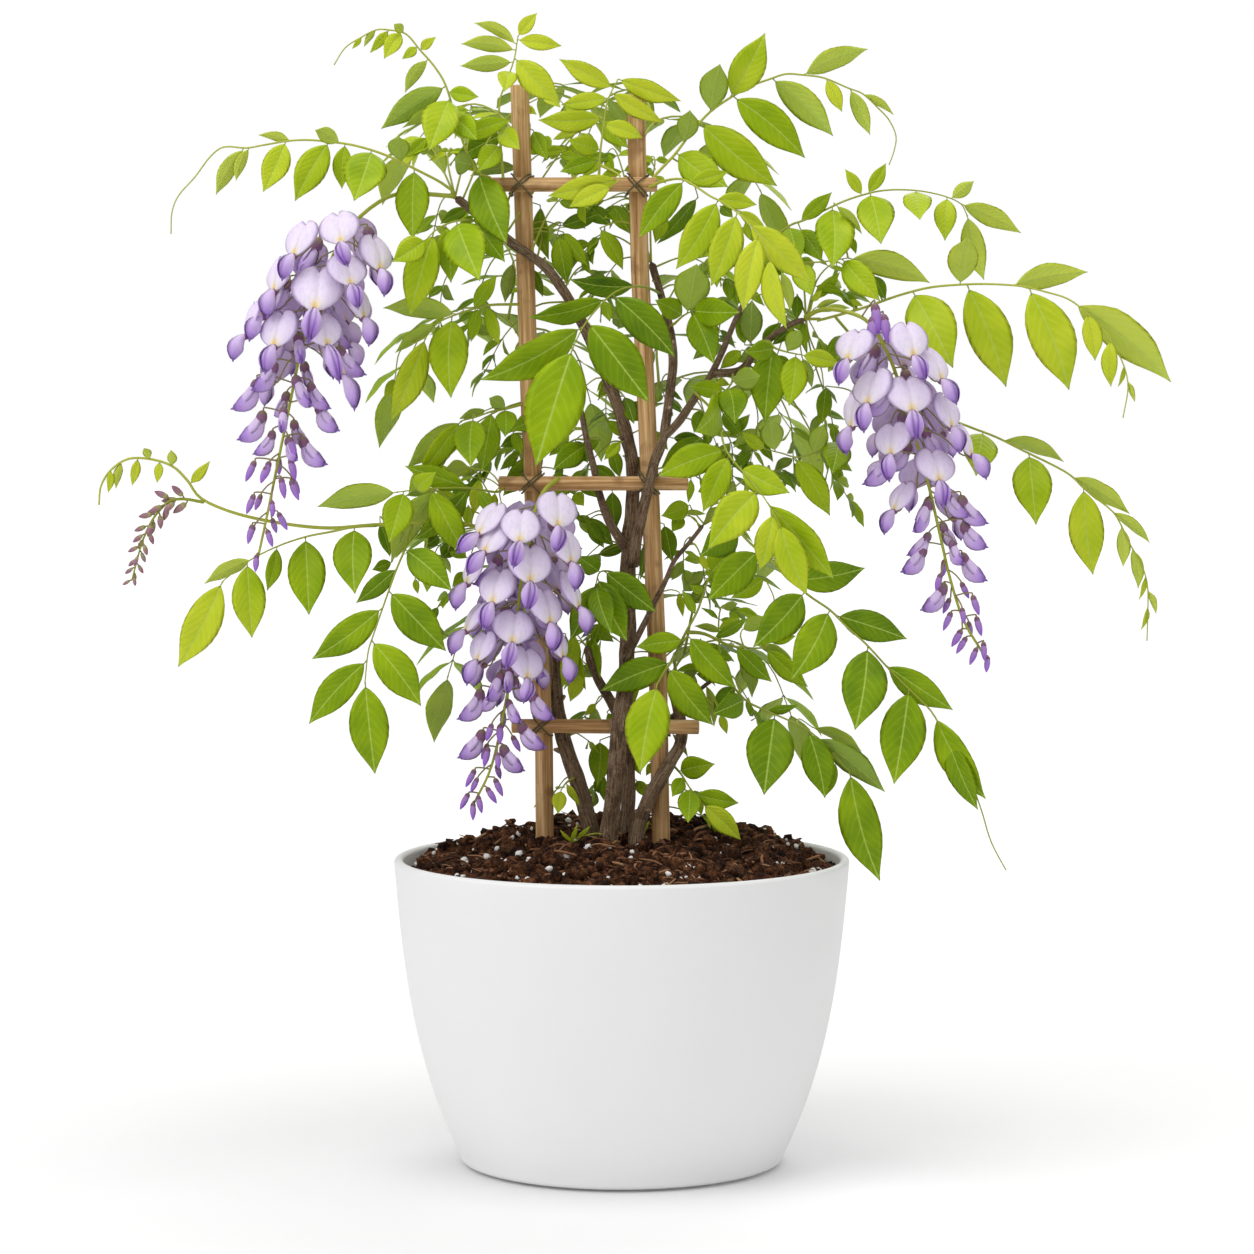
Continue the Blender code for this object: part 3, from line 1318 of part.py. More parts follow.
def build_shoots(trees):
    """The axes of every shoot come first, so that no leaflet is grown through another's axis."""
    plans = []
    obstacles = list(trees.values())
    done = dict(trees)
    waiting = dict(SHOOTS)
    while waiting:
        for name in [n for n in waiting if waiting[n]["on"] in done]:
            shoot = waiting.pop(name)
            radius = shoot.get("radius", RACHIS_RADIUS / MM) * MM
            axes = []
            for i, (route, leaflets) in enumerate(shoot["axes"]):
                points = [seen(*place) for place in route]
                normal = None
                if i == 0:
                    start, normal = seat_on(done[shoot["on"]], points[0], points[1])
                    points[0] = start
                axes.append((SeenAxis(points, 3), normal, leaflets))
            done[name] = tube_tree(axes[0][0], radius * 0.85)
            plans.append((name, shoot["on"], radius, axes))
    own_axes = {
        name: [tube_tree(axis, radius * 1.3) for axis, _, _ in axes] for name, _, radius, axes in plans
    }
    made = {}
    for name, carrier, radius, axes in plans:
        if carrier in made:
            axes[0] = seat_again(tree_of(made[carrier]), *axes[0])
        others = [tree for other, list_of in own_axes.items() if other != name for tree in list_of]
        around = obstacles + others
        before = len(around)
        groups = []
        for axis, _, leaflets in axes:
            if isinstance(leaflets, list):
                placed = leaflet_places(axis, leaflets, around)
            else:
                placed = ruled_leaflets(axis, leaflets, around)
            groups.append(placed)
        for i in range(len(axes) - 1, 0, -1):
            axis = axes[i][0]
            parent = min(range(i), key=lambda k: gap_between(axes[k][0], axis.point(0)))
            groups[parent].append(
                {"at": axes[parent][0].nearest(axis.point(0)), "towards": axis.point(axis.total * 0.3),
                 "grow": grow_shoot_axis, "axis": axis, "radius": radius, "more": groups[i]}
            )
        first = axes[0][0]
        bm = bmesh.new()
        face = first_segment(bm, first.point(0), axes[0][1], radius, 0.0012, 4)
        grow_axis(bm, face, first, (radius, RACHIS_RADIUS * 0.5), groups[0], 0.0012)
        made[name] = finish_object(bm, name, leaf_green())
        obstacles.extend(around[before:])
    return made


def cut_sockets(soil, posts):
    """Bores in the potting mix a little wider than each stake and stem that stands in it."""
    for name, post in posts.items():
        if name in STAKES:
            places, radius, foot = STAKES[name], STAKE_RADIUS, STAKE_FOOT
        elif "on" not in WOOD[name]:
            places, radius, foot = WOOD[name]["axes"][0], WOOD[name]["radii"][0] * MM, STAKE_FOOT + 0.09
        else:
            continue
        points = [seen(*place) for place in places]
        points = [Vector((points[0].x, points[0].y, foot))] + points[0 if name in WOOD else 1:]
        axis = Axis(points, 2 if name in WOOD else 1)
        bm = bmesh.new()
        wide = radius + (TRUNK_SOCKET_CLEARANCE if name in WOOD else SOCKET_CLEARANCE)
        start = axis.point(0) - Vector((0, 0, SOCKET_CLEARANCE))
        up = Vector((0, 0, 1)) if name in WOOD else axis.direction(0)
        face = first_segment(bm, start, up, wide, 0.002, 12)
        direction = up
        length = 0.012
        while axis.point(length).z < 0.21:
            face = extrude(bm, face)
            ahead = axis.direction(length)
            set_ring(face, axis.point(length), ahead, wide, direction)
            direction = ahead
            length += 0.012
        cutter = finish_object(bm, f"socket_{name}", bark(), smooth=False)
        cutter.hide_render = True
        cutter.display_type = "WIRE"
        cut = soil.modifiers.new(f"socket_{name}", "BOOLEAN")
        cut.operation = "DIFFERENCE"
        cut.solver = "EXACT"
        cut.object = cutter


def main():
    clear_scene()
    build_pot()
    soil = build_soil()
    built = {}
    built.update(build_stakes())
    built.update(build_bars())
    built.update(build_ties())
    trees = {name: tree_of(made) for name, made in built.items()}
    wood = build_wood(trees)
    cut_sockets(soil, {**{name: built[name] for name in STAKES}, **wood})
    build_racemes(trees)
    shoots = build_shoots(trees)
    trees.update({name: tree_of(made) for name, made in shoots.items()})
    build_bud_raceme(trees)


main()
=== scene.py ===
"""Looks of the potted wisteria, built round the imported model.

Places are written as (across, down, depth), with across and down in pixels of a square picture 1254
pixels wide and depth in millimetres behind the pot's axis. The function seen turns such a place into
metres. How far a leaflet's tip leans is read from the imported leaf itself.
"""

import math
import random

import bpy
from mathutils import Matrix, Vector, kdtree, noise


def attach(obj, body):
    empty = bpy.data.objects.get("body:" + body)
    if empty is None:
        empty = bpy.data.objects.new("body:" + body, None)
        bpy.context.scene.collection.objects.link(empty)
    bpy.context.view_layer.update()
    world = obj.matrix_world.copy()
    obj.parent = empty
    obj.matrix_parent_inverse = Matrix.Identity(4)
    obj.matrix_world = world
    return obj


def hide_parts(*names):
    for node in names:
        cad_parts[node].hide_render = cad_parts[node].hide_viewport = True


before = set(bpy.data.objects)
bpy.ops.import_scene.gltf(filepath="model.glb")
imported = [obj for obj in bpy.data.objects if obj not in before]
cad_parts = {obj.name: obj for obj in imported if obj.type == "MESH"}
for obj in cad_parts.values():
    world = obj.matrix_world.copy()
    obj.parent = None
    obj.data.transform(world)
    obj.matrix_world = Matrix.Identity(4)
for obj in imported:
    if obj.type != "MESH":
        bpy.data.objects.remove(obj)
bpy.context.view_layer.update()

MM = 0.001

# Where the picture is seen from
PICTURE_SIZE = 1254
PICTURE_MIDDLE = 627.0
POT_AXIS_ACROSS = 621.75
VIEW_DISTANCE = 2.33
VIEW_HEIGHT = 0.471
VIEW_PITCH = math.radians(3.75)
VIEW_FOCAL = 3954.0
SENSOR_WIDTH = 36.0
# Millimetres at the pot's axis for one pixel of the picture
PIXEL = 1000 * VIEW_DISTANCE / VIEW_FOCAL

# Pot and potting mix
POT_RIM_RADIUS = 0.135
POT_HEIGHT = 0.182
POT_TAPER = 0.0153
POT_BELLY = 0.0259
POT_WALL = 0.0055
POT_LIP_RADIUS = 0.0025
POT_EDGE_RADIUS = 0.004
POT_FOOT_RADIUS = 0.088
POT_FOOT_HEIGHT = 0.0016
POT_FLOOR = 0.007
POT_SEGMENTS = 144
SOIL_EDGE_HEIGHT = 0.1725
SOIL_MOUND = 0.0165
SOIL_SEGMENTS = 160
SOIL_RINGS = 56

# Ladder
STAKE_RADIUS = 0.0054
BAR_RADIUS = 0.0042
STAKE_FOOT = 0.045

# Leaves: a blade's thickness, its usual width as a share of its length and the same on a back leaf, how
# much of a leaflet's missing length is taken as lean towards the viewer, and the radii of a stalk at its
# foot and at its thinnest
LEAF_THICKNESS = 0.0003
LEAF_RATIO = 0.45
BACK_LEAF_RATIO = 0.42
LEAN_SHARE = 0.8
RACHIS_RADIUS = 0.0008
STALK_END = 0.00035
# How near a packed corner has to be seen to count as a leaflet's tip, in pixels
TIP_SEARCH = 0.6
# A flower cluster's depth as a share of its width
CLUSTER_DEPTH = 0.85
# The four noted values of corners whose finish reads none
PLAIN_NOTE = (0.5, 0.5, 0.5, 1)


def seen(across, down, depth):
    """The point that is seen at a picture place, depth millimetres behind the pot's axis."""
    u = across - PICTURE_MIDDLE
    v = down - PICTURE_MIDDLE
    ray = Vector(
        (
            u,
            VIEW_FOCAL * math.cos(VIEW_PITCH) - v * math.sin(VIEW_PITCH),
            -VIEW_FOCAL * math.sin(VIEW_PITCH) - v * math.cos(VIEW_PITCH),
        )
    )
    return EYE + ray * ((depth * MM - EYE.y) / ray.y)


EYE = Vector(((PICTURE_MIDDLE - POT_AXIS_ACROSS) / VIEW_FOCAL * VIEW_DISTANCE, -VIEW_DISTANCE, VIEW_HEIGHT))

# Ladder places: foot, bends and top of each stake, and the two ends of each bar
STAKES = {
    "upright_left": [(546.5, 840, 5), (544, 747, 5), (530, 412, 5), (525.5, 270, 5), (519.5, 85, 5)],
    "upright_right": [(665.5, 845, -4), (658, 674, -4), (646, 395, -4), (640, 270, -4), (635.5, 94, -4)],
}
BARS = {
    "crossbar_top": [(485, 184.5, -6.5), (657, 184.5, -15)],
    "crossbar_middle": [(499, 483.5, -6.5), (688, 483.5, -15.5)],
    "crossbar_bottom": [(512, 726, -6.5), (699, 727, -15.5)],
}

# Woody stems: radii in millimetres at the foot and at the tip, the piece that carries a stem where it
# doesn't rise from the soil, and the places that its axes pass
WOOD = {
    "trunk_main": {
        "radii": (6.2, 4.4),
        "axes": [
            [(609, 842, -12), (613, 800, -17), (617, 755, -22), (620, 724, -23), (625, 690, -18),
             (628, 640, -7), (628, 580, 2), (631, 532, 6)],
        ],
    },
    "trunk_back": {
        "radii": (5.0, 2.2),
        "axes": [
            [(627, 822, 11), (629, 780, 12), (627, 742, 12), (617, 712, 11), (604, 690, 9), (593, 668, 6),
             (586, 646, 4)],
        ],
    },
    "trunk_left": {
        "radii": (4.6, 2.2),
        "axes": [
            [(592, 838, 8), (583, 800, 8), (571, 765, 9), (562, 735, 10), (557, 700, 12), (555, 650, 16),
             (546, 603, 18), (531, 575, 15), (521, 548, 9)],
        ],
    },
    "trunk_right": {
        "radii": (4.2, 2.4),
        "axes": [
            [(637, 836, -12), (646, 805, -14), (658, 782, -15), (670, 762, -14), (680, 744, -6),
             (681, 724, 2), (676, 700, 8), (666, 676, 12), (655, 652, 12)],
        ],
    },
    "arm_left": {
        "radii": (4.2, 2.4),
        "on": "trunk_main",
        "axes": [
            [(631, 530, 6), (633, 500, 9), (632, 462, 9), (626, 435, 9), (617, 405, 8), (604, 371, 5),
             (590, 340, 3), (575, 309, 0), (552, 274, -3), (530, 255, -4.5), (511, 242, -7),
             (482, 219, -10), (455, 197, -12)],
        ],
    },
    "arm_right": {
        "radii": (3.2, 2.0),
        "on": "trunk_main",
        "axes": [
            [(634, 556, -6), (640, 522, -18), (649, 484, -26), (655, 462, -20), (664, 437, -10),
             (669, 400, -6), (673, 365, -4), (670, 330, 1), (660, 292, 7), (651, 262, 13)],
            [(664, 437, -10), (677, 424, -9), (696, 397, -8), (710, 376, -6), (723, 350, -3),
             (733, 325, 2), (745, 300, 7)],
            [(712, 374, -6), (741, 370, 0), (760, 346, 2), (789, 325, 4), (806, 319, 4)],
        ],
    },
    "stem_centre": {
        "radii": (2.8, 1.5),
        "on": "trunk_main",
        "axes": [
            [(626, 548, 4), (612, 526, -1), (602, 502, -3), (594, 468, 0), (586, 436, 4), (580, 405, 7)],
        ],
    },
    "stem_right_middle": {
        "radii": (1.9, 1.1),
        "on": "trunk_main",
        "axes": [
            [(630, 652, -16), (645, 622, -17), (658, 596, -14), (667, 578, -13), (675, 560, -11),
             (690, 542, -9), (704, 524, -9)],
        ],
    },
    "stem_right_low": {
        "radii": (1.8, 1.1),
        "on": "trunk_right",
        "axes": [
            [(678, 712, 6), (692, 697, 1), (707, 684, -1), (722, 675, -2)],
        ],
    },
}

# Flower clusters: the piece that carries one, its axis, how far it spreads, how far down its flowers
# start, then open flowers (banner place, keel place, banner width), half-open ones and buds (places)
RACEMES = {
    "raceme_left": {
        "on": "arm_left",
        "axis": [(448, 193, -13), (420, 194, -18), (388, 197, -22), (352, 225, -29), (328, 267, -34),
                 (305, 334, -38), (287, 418, -41), (268, 511, -43), (257, 562, -44)],
        "reach": 66,
        "flowers_from": 225,
        "open": [(294, 239, 293, 264, 34), (382, 254, 377, 281, 40), (316, 289, 312, 323, 52),
                 (272, 275, 277, 301, 42), (263, 301, 262, 330, 36), (274, 329, 274, 360, 44),
                 (245, 320, 246, 354, 30), (366, 303, 360, 329, 42), (343, 360, 340, 402, 40),
                 (326, 330, 333, 376, 38), (338, 228, 345, 250, 30), (350, 270, 352, 292, 36)],
        "half": [(243, 399), (249, 430), (330, 421), (316, 455), (354, 365), (300, 352), (262, 380),
                 (305, 395)],
        "buds": [(250, 472), (293, 449), (293, 470), (295, 491), (283, 489), (266, 472), (250, 505),
                 (283, 522), (250, 535), (270, 539), (256, 564)],
    },
    "raceme_centre": {
        "on": "crossbar_middle",
        "axis": [(556, 478, -13), (545, 490, -24), (535, 511, -35), (526, 555, -40), (519, 599, -42),
                 (511, 672, -42), (505, 706, -42), (498, 741, -42), (489, 773, -42), (473, 805, -42)],
        "reach": 62,
        "flowers_from": 515,
        "open": [(521, 527, 518, 550, 40), (560, 511, 555, 533, 38), (487, 537, 480, 562, 38),
                 (532, 565, 528, 592, 45), (573, 548, 567, 576, 42), (493, 587, 491, 615, 42),
                 (552, 608, 547, 633, 44), (514, 628, 509, 654, 42), (530, 665, 522, 690, 36),
                 (482, 518, 476, 536, 34), (466, 569, 468, 599, 32), (466, 617, 464, 647, 36),
                 (477, 647, 477, 670, 32), (581, 592, 574, 624, 30), (565, 644, 558, 674, 34)],
        "half": [(468, 709), (544, 709), (469, 748), (535, 739), (493, 690), (515, 762)],
        "buds": [(470, 779), (499, 788), (492, 796), (464, 802), (480, 805), (473, 812), (500, 735),
                 (486, 758)],
    },
    "raceme_right": {
        "on": "arm_right",
        "axis": [(806, 316, 0), (825, 309, -9), (851, 313, -21), (869, 323, -28), (884, 346, -32),
                 (897, 377, -34), (917, 443, -34), (930, 491, -34), (940, 535, -34), (950, 578, -34),
                 (963, 619, -34), (979, 647, -34), (989, 663, -34)],
        "reach": 64,
        "flowers_from": 335,
        "open": [(848, 345, 846, 375, 40), (912, 340, 916, 365, 40), (866, 388, 870, 418, 44),
                 (912, 395, 913, 423, 47), (940, 364, 944, 390, 34), (848, 412, 857, 442, 34),
                 (889, 440, 894, 469, 42), (940, 466, 939, 493, 42), (953, 412, 950, 437, 40),
                 (894, 497, 894, 525, 34), (971, 440, 973, 469, 34)],
        "half": [(875, 474), (976, 514), (911, 563), (977, 539), (931, 601), (976, 571), (920, 520)],
        "buds": [(976, 606), (947, 622), (956, 639), (961, 646), (979, 627), (984, 652), (973, 657),
                 (987, 665), (877, 320), (886, 330), (872, 332)],
    },
}
# The young cluster: the shoot that carries it, and its axis
BUD_RACEME = {
    "on": "shoot_left",
    "axis": [(203, 503, -37), (184, 499, -40), (170, 501, -42), (160, 510, -43), (150, 524, -44),
             (141, 546, -44), (132, 580, -44)],
}

# Leafy shoots: the piece that carries one, its stalk's radius in millimetres where it isn't the usual
# one, and its axes. An axis has its places and its leaflets. A leaflet is (across and down of its foot on
# the axis, across and down of its tip, width), all in picture pixels. A back leaf, which the picture
# doesn't show, has the length of its leaflets in millimetres instead.
SHOOTS = {
    "shoot_left": {
        "on": "trunk_left",
        "radius": 1.3,
        "axes": [
            ([(519, 545, 5), (505, 536, 2), (480, 528, -6), (450, 521, -14), (420, 523, -20),
              (373, 525, -26), (330, 528, -27), (286, 524, -28), (238, 514, -31), (202, 499, -36),
              (187, 480, -40), (172, 466, -42), (150, 459, -44), (128, 459, -46), (111, 470, -48),
              (101, 486, -50), (99, 505, -52)],
             [(150, 459, 144, 448, 9), (172, 466, 171, 450, 10), (190, 484, 210, 461, 10),
              (160, 461, 157, 483, 9), (138, 459, 132, 486, 9), (122, 463, 116, 489, 8),
              (111, 470, 108, 493, 7)]),
        ],
    },
    "leaf_left_low": {
        "on": "shoot_left",
        "axes": [
            ([(376, 527, -30), (354, 527, -33), (330, 532, -33), (305, 537, -32), (276, 547, -30),
              (247, 562, -29), (223, 581, -29)],
             [(354, 525, 355, 594, 39), (305, 535, 309, 615, 38), (247, 562, 252, 638, 34),
              (223, 581, 178, 667, 36), (252, 559, 204, 584, 14), (277, 546, 267, 591, 15)]),
        ],
    },
    "leaf_left_hanging": {
        "on": "shoot_left",
        "axes": [
            ([(412, 525, -22), (408, 537, -32), (405, 549, -42), (397, 568, -51), (389, 590, -58),
              (373, 636, -68), (368, 653, -71), (365, 682, -75)],
             [(405, 549, 452, 591, 32), (389, 591, 446, 651, 37), (371, 640, 421, 706, 36),
              (366, 683, 375, 774, 39), (383, 608, 312, 659, 31), (366, 660, 309, 724, 31),
              (396, 568, 356, 603, 19)]),
        ],
    },
    "leaf_left_middle": {
        "on": "crossbar_middle",
        "axes": [
            ([(503, 489, -10), (495, 492, -16), (470, 488, -22), (440, 488, -27), (415, 490, -30),
              (398, 492, -32)],
             [(398, 492, 317, 507, 24), (404, 492, 389, 543, 31), (415, 490, 436, 472, 20),
              (430, 489, 466, 556, 30), (436, 488, 391, 562, 28), (470, 488, 413, 540, 24),
              (478, 489, 493, 516, 14), (470, 488, 405, 466, 22)]),
        ],
    },
    "leaf_left_upper": {
        "on": "upright_left",
        "axes": [
            ([(516, 304, 2), (490, 305, -4), (473, 309, -9), (455, 315, -14), (438, 323, -18),
              (426, 337, -20)],
             [(426, 337, 391, 421, 28), (452, 317, 451, 398, 40), (438, 323, 395, 353, 12),
              (457, 314, 383, 308, 21), (473, 309, 497, 275, 16), (478, 308, 471, 342, 14),
              (486, 306, 499, 345, 14)]),
        ],
    },
    "leaf_front_centre": {
        "on": "arm_right",
        "axes": [
            ([(656, 290, 0), (645, 287, -20), (630, 287, -38), (611, 295, -57), (587, 321, -76),
              (573, 347, -86)],
             [(573, 347, 536, 466, 57), (582, 326, 480, 380, 34), (587, 321, 649, 402, 45),
              (606, 299, 528, 317, 21), (612, 294, 675, 357, 35), (637, 287, 569, 279, 20)]),
        ],
    },
    "leaf_left_of_stake": {
        "on": "upright_left",
        "axes": [
            ([(520, 405, 2), (505, 409, -4), (490, 412, -8), (476, 417, -11), (461, 421, -14)],
             [(473, 418, 471, 467, 34), (461, 421, 418, 477, 22), (492, 412, 482, 472, 27),
              (506, 409, 489, 398, 14), (505, 409, 505, 437, 22)]),
        ],
    },
    "leaf_top_left_tendril": {
        "on": "arm_left",
        "axes": [
            ([(452, 190, -13), (440, 182, -15), (425, 174, -17), (388, 156, -20), (357, 146, -20),
              (332, 142, -20), (308, 140, -19), (288, 141, -18), (264, 145, -17), (246, 148, -16),
              (224, 147, -15), (210, 157, -14), (195, 177, -13), (179, 195, -12), (172, 212, -11),
              (171, 234, -10)],
             [(329, 142, 295, 201, 31), (286, 141, 263, 192, 27), (244, 148, 216, 195, 15),
              (249, 148, 236, 181, 10), (345, 143, 342, 189, 19), (340, 143, 315, 130, 16),
              (291, 141, 258, 135, 9), (372, 150, 354, 201, 43), (414, 169, 413, 240, 34),
              (400, 162, 398, 136, 22)]),
        ],
    },
    "leaf_top_left": {
        "on": "crossbar_top",
        "axes": [
            ([(489, 178, -12), (478, 172, -14), (466, 150, -15), (456, 120, -15), (446, 86, -16),
              (434, 66, -16), (420, 50, -17), (406, 34, -18), (389, 30, -18), (376, 30, -19),
              (360, 38, -20), (345, 48, -20), (334, 65, -21)],
             [(401, 33, 384, 59, 17), (389, 30, 370, 53, 10), (404, 33, 394, 24, 10),
              (420, 50, 436, 37, 10), (417, 47, 402, 59, 10), (376, 30, 364, 47, 6),
              (362, 37, 352, 49, 5), (428, 59, 405, 93, 12), (446, 86, 381, 129, 24),
              (450, 98, 429, 151, 38), (448, 92, 479, 97, 16), (455, 117, 477, 140, 24),
              (462, 138, 511, 120, 20), (474, 165, 455, 160, 24), (478, 172, 507, 244, 40),
              (452, 108, 402, 128, 10)]),
        ],
    },
    "leaf_top_centre": {
        "on": "crossbar_top",
        "axes": [
            ([(503, 176, -10), (501, 150, -10), (499, 120, -10), (500, 100, -10), (505, 85, -11),
              (514, 60, -12), (518, 36, -12)],
             [(518, 36, 537, 13, 14), (519, 40, 562, 46, 16), (516, 44, 474, 23, 10),
              (516, 50, 461, 44, 14), (513, 62, 460, 66, 15), (510, 70, 504, 92, 20),
              (514, 58, 560, 103, 29), (500, 130, 520, 150, 22), (501, 145, 478, 172, 24)]),
        ],
    },
    "leaf_top_right": {
        "on": "crossbar_top",
        "axes": [
            ([(599, 176, -13), (600, 155, -13), (602, 138, -13), (607, 103, -13), (618, 79, -14)],
             [(618, 79, 681, 101, 19), (612, 93, 664, 123, 17), (604, 118, 538, 120, 22),
              (603, 124, 643, 138, 18), (609, 98, 561, 105, 18), (614, 88, 559, 59, 20),
              (600, 150, 568, 140, 20), (600, 160, 560, 172, 18)]),
            ([(600, 165, -13), (620, 176, -22), (612, 186, -26)],
             [(612, 186, 569, 207, 20), (618, 178, 548, 196, 24)]),
        ],
    },
    "leaf_high_right": {
        "on": "crossbar_top",
        "axes": [
            ([(653, 177, -14), (662, 168, -11), (676, 153, -7), (691, 133, -3), (710, 112, 1),
              (733, 96, 5), (751, 86, 8), (770, 79, 11), (786, 74, 13), (803, 75, 14), (824, 78, 15),
              (848, 88, 16), (863, 94, 17), (878, 108, 18), (889, 120, 19), (896, 136, 20),
              (894, 151, 20), (889, 165, 20)],
             [(710, 112, 720, 64, 29), (730, 98, 765, 33, 34), (803, 75, 868, 49, 20),
              (676, 153, 728, 187, 34), (700, 123, 777, 186, 40), (733, 96, 805, 158, 36),
              (772, 78, 833, 136, 29), (826, 79, 842, 112, 15), (850, 89, 870, 135, 15),
              (862, 94, 894, 115, 6), (684, 143, 690, 110, 22)]),
        ],
    },
    "leaf_high_front": {
        "on": "crossbar_top",
        "axes": [
            ([(652, 185, -21), (664, 181, -30), (681, 179, -42), (695, 186, -50), (710, 196, -58),
              (722, 202, -64), (738, 213, -71), (751, 226, -78), (762, 239, -84), (769, 258, -90)],
             [(684, 181, 639, 238, 28), (718, 201, 676, 269, 33), (737, 213, 711, 286, 32),
              (758, 235, 743, 311, 29), (690, 183, 728, 172, 17), (716, 199, 757, 205, 17),
              (748, 223, 811, 283, 30), (769, 257, 787, 329, 19)]),
        ],
    },
    "leaf_upper_right": {
        "on": "arm_right",
        "axes": [
            ([(745, 296, 10), (755, 268, 13), (770, 243, 14), (789, 226, 15), (807, 219, 15),
              (842, 202, 15), (870, 193, 15), (889, 190, 15), (909, 190, 15), (927, 192, 15),
              (947, 197, 15), (961, 204, 15), (967, 215, 15)],
             [(832, 206, 832, 268, 40), (870, 193, 881, 244, 38), (862, 195, 845, 169, 12),
              (868, 193, 886, 163, 14), (916, 191, 920, 220, 29), (947, 197, 945, 241, 23),
              (951, 199, 974, 181, 14), (961, 204, 1021, 233, 19), (967, 215, 984, 280, 24),
              (800, 221, 832, 192, 16), (789, 226, 800, 262, 26)]),
            ([(762, 257, 14), (790, 262, 4), (820, 262, -2), (848, 258, -4)],
             [(848, 258, 930, 283, 26), (842, 259, 880, 301, 29), (800, 262, 812, 296, 24)]),
        ],
    },
    "leaf_far_right": {
        "on": "arm_right",
        "axes": [
            ([(807, 319, 8), (820, 320, 9), (863, 308, 7), (897, 296, 4), (927, 288, 1), (954, 285, -2),
              (984, 284, -5), (1009, 285, -8), (1026, 287, -10), (1046, 292, -12), (1068, 299, -14),
              (1087, 313, -16), (1103, 330, -17), (1113, 344, -18), (1124, 366, -19), (1128, 388, -20),
              (1123, 418, -21)],
             [(960, 285, 968, 237, 31), (1012, 286, 1088, 272, 24), (913, 292, 953, 368, 48),
              (967, 285, 1006, 387, 44), (1029, 288, 1069, 390, 46), (1073, 302, 1171, 382, 34),
              (1087, 313, 1095, 361, 20), (1110, 340, 1111, 387, 16), (1124, 366, 1118, 387, 5),
              (1127, 381, 1135, 402, 5)]),
        ],
    },
    "leaf_right_behind": {
        "on": "leaf_far_right",
        "axes": [
            ([(836, 320, 14), (860, 345, 26), (900, 385, 30), (945, 416, 26), (970, 427, 20),
              (996, 437, 15), (1022, 450, 12), (1064, 471, 9), (1080, 484, 8), (1092, 495, 7),
              (1112, 511, 6), (1121, 525, 5), (1131, 546, 4), (1140, 561, 3), (1147, 582, 2),
              (1148, 605, 1), (1147, 641, 0)],
             [(1001, 440, 1064, 462, 13), (1029, 453, 1036, 525, 40), (1071, 476, 1130, 514, 16),
              (1112, 511, 1150, 543, 9), (1083, 487, 1093, 575, 36), (1121, 526, 1123, 567, 13),
              (1132, 548, 1138, 589, 11), (1146, 576, 1139, 600, 6), (1148, 590, 1156, 614, 6),
              (1148, 606, 1141, 630, 6), (983, 432, 976, 476, 36), (850, 335, 828, 372, 30)]),
        ],
    },
    "leaf_right_long": {
        "on": "stem_right_middle",
        "axes": [
            ([(709, 520, -12), (722, 519, -18), (736, 528, -25), (750, 543, -31), (777, 567, -39),
              (807, 594, -47), (830, 610, -52), (847, 627, -55), (866, 644, -58), (889, 669, -61),
              (908, 688, -64), (931, 711, -66), (946, 737, -68), (963, 762, -69), (980, 806, -70),
              (989, 836, -70), (996, 852, -70), (1006, 870, -70)],
             [(805, 592, 753, 647, 38), (830, 610, 791, 680, 40), (836, 615, 907, 639, 30),
              (868, 646, 855, 730, 45), (885, 665, 953, 710, 28), (909, 689, 894, 784, 45),
              (934, 716, 986, 799, 30), (947, 738, 978, 810, 23), (792, 581, 865, 568, 31),
              (758, 551, 708, 600, 36), (740, 532, 700, 556, 32)]),
        ],
    },
    "leaf_right_upper": {
        "on": "arm_right",
        "axes": [
            ([(699, 396, -12), (712, 410, -25), (720, 428, -37), (727, 452, -50), (751, 481, -66),
              (765, 499, -74), (779, 523, -82)],
             [(726, 449, 658, 476, 32), (740, 468, 790, 493, 28), (758, 490, 708, 549, 40),
              (767, 502, 834, 579, 31), (779, 523, 807, 595, 31), (773, 513, 760, 570, 26),
              (729, 455, 703, 512, 28)]),
        ],
    },
    "leaf_right_small": {
        "on": "leaf_right_behind",
        "axes": [
            ([(880, 368, 24), (866, 400, 14), (850, 430, 6), (832, 445, 0), (801, 457, -4),
              (781, 453, -6), (765, 449, -8)],
             [(795, 456, 830, 516, 26), (775, 452, 770, 420, 24), (812, 452, 824, 424, 20),
              (838, 440, 832, 474, 30), (765, 449, 742, 432, 14)]),
        ],
    },
    "leaf_right_tip": {
        "on": "stem_right_low",
        "axes": [
            ([(724, 677, -6), (736, 690, -12), (748, 702, -17), (767, 711, -23), (790, 721, -29),
              (812, 733, -34), (830, 751, -38), (849, 771, -41)],
             [(775, 714, 764, 795, 48), (767, 711, 798, 705, 10), (808, 731, 825, 798, 32),
              (816, 736, 885, 792, 24), (849, 771, 880, 881, 40), (745, 700, 713, 714, 26)]),
        ],
    },
    "shoot_right": {
        "on": "trunk_right",
        "radius": 1.1,
        "axes": [
            ([(678, 696, 4), (677, 678, -4), (675, 658, -10), (685, 634, -14), (697, 612, -16),
              (704, 592, -18), (710, 574, -19)],
             [(710, 574, 736, 545, 30), (704, 592, 690, 585, 10), (696, 615, 682, 590, 10)]),
            ([(675, 655, -10), (671, 662, -22), (664, 672, -34), (657, 684, -44)],
             [(671, 662, 601, 691, 32), (657, 684, 640, 773, 44), (667, 667, 713, 725, 33)]),
            ([(680, 646, -12), (684, 640, -20), (688, 636, -24)],
             [(688, 636, 736, 688, 30), (684, 640, 636, 647, 22)]),
            ([(686, 632, -14), (705, 634, -10), (728, 645, -8), (748, 648, -6), (765, 648, -4)],
             [(735, 647, 772, 682, 20), (765, 648, 808, 687, 20), (742, 647, 752, 698, 16),
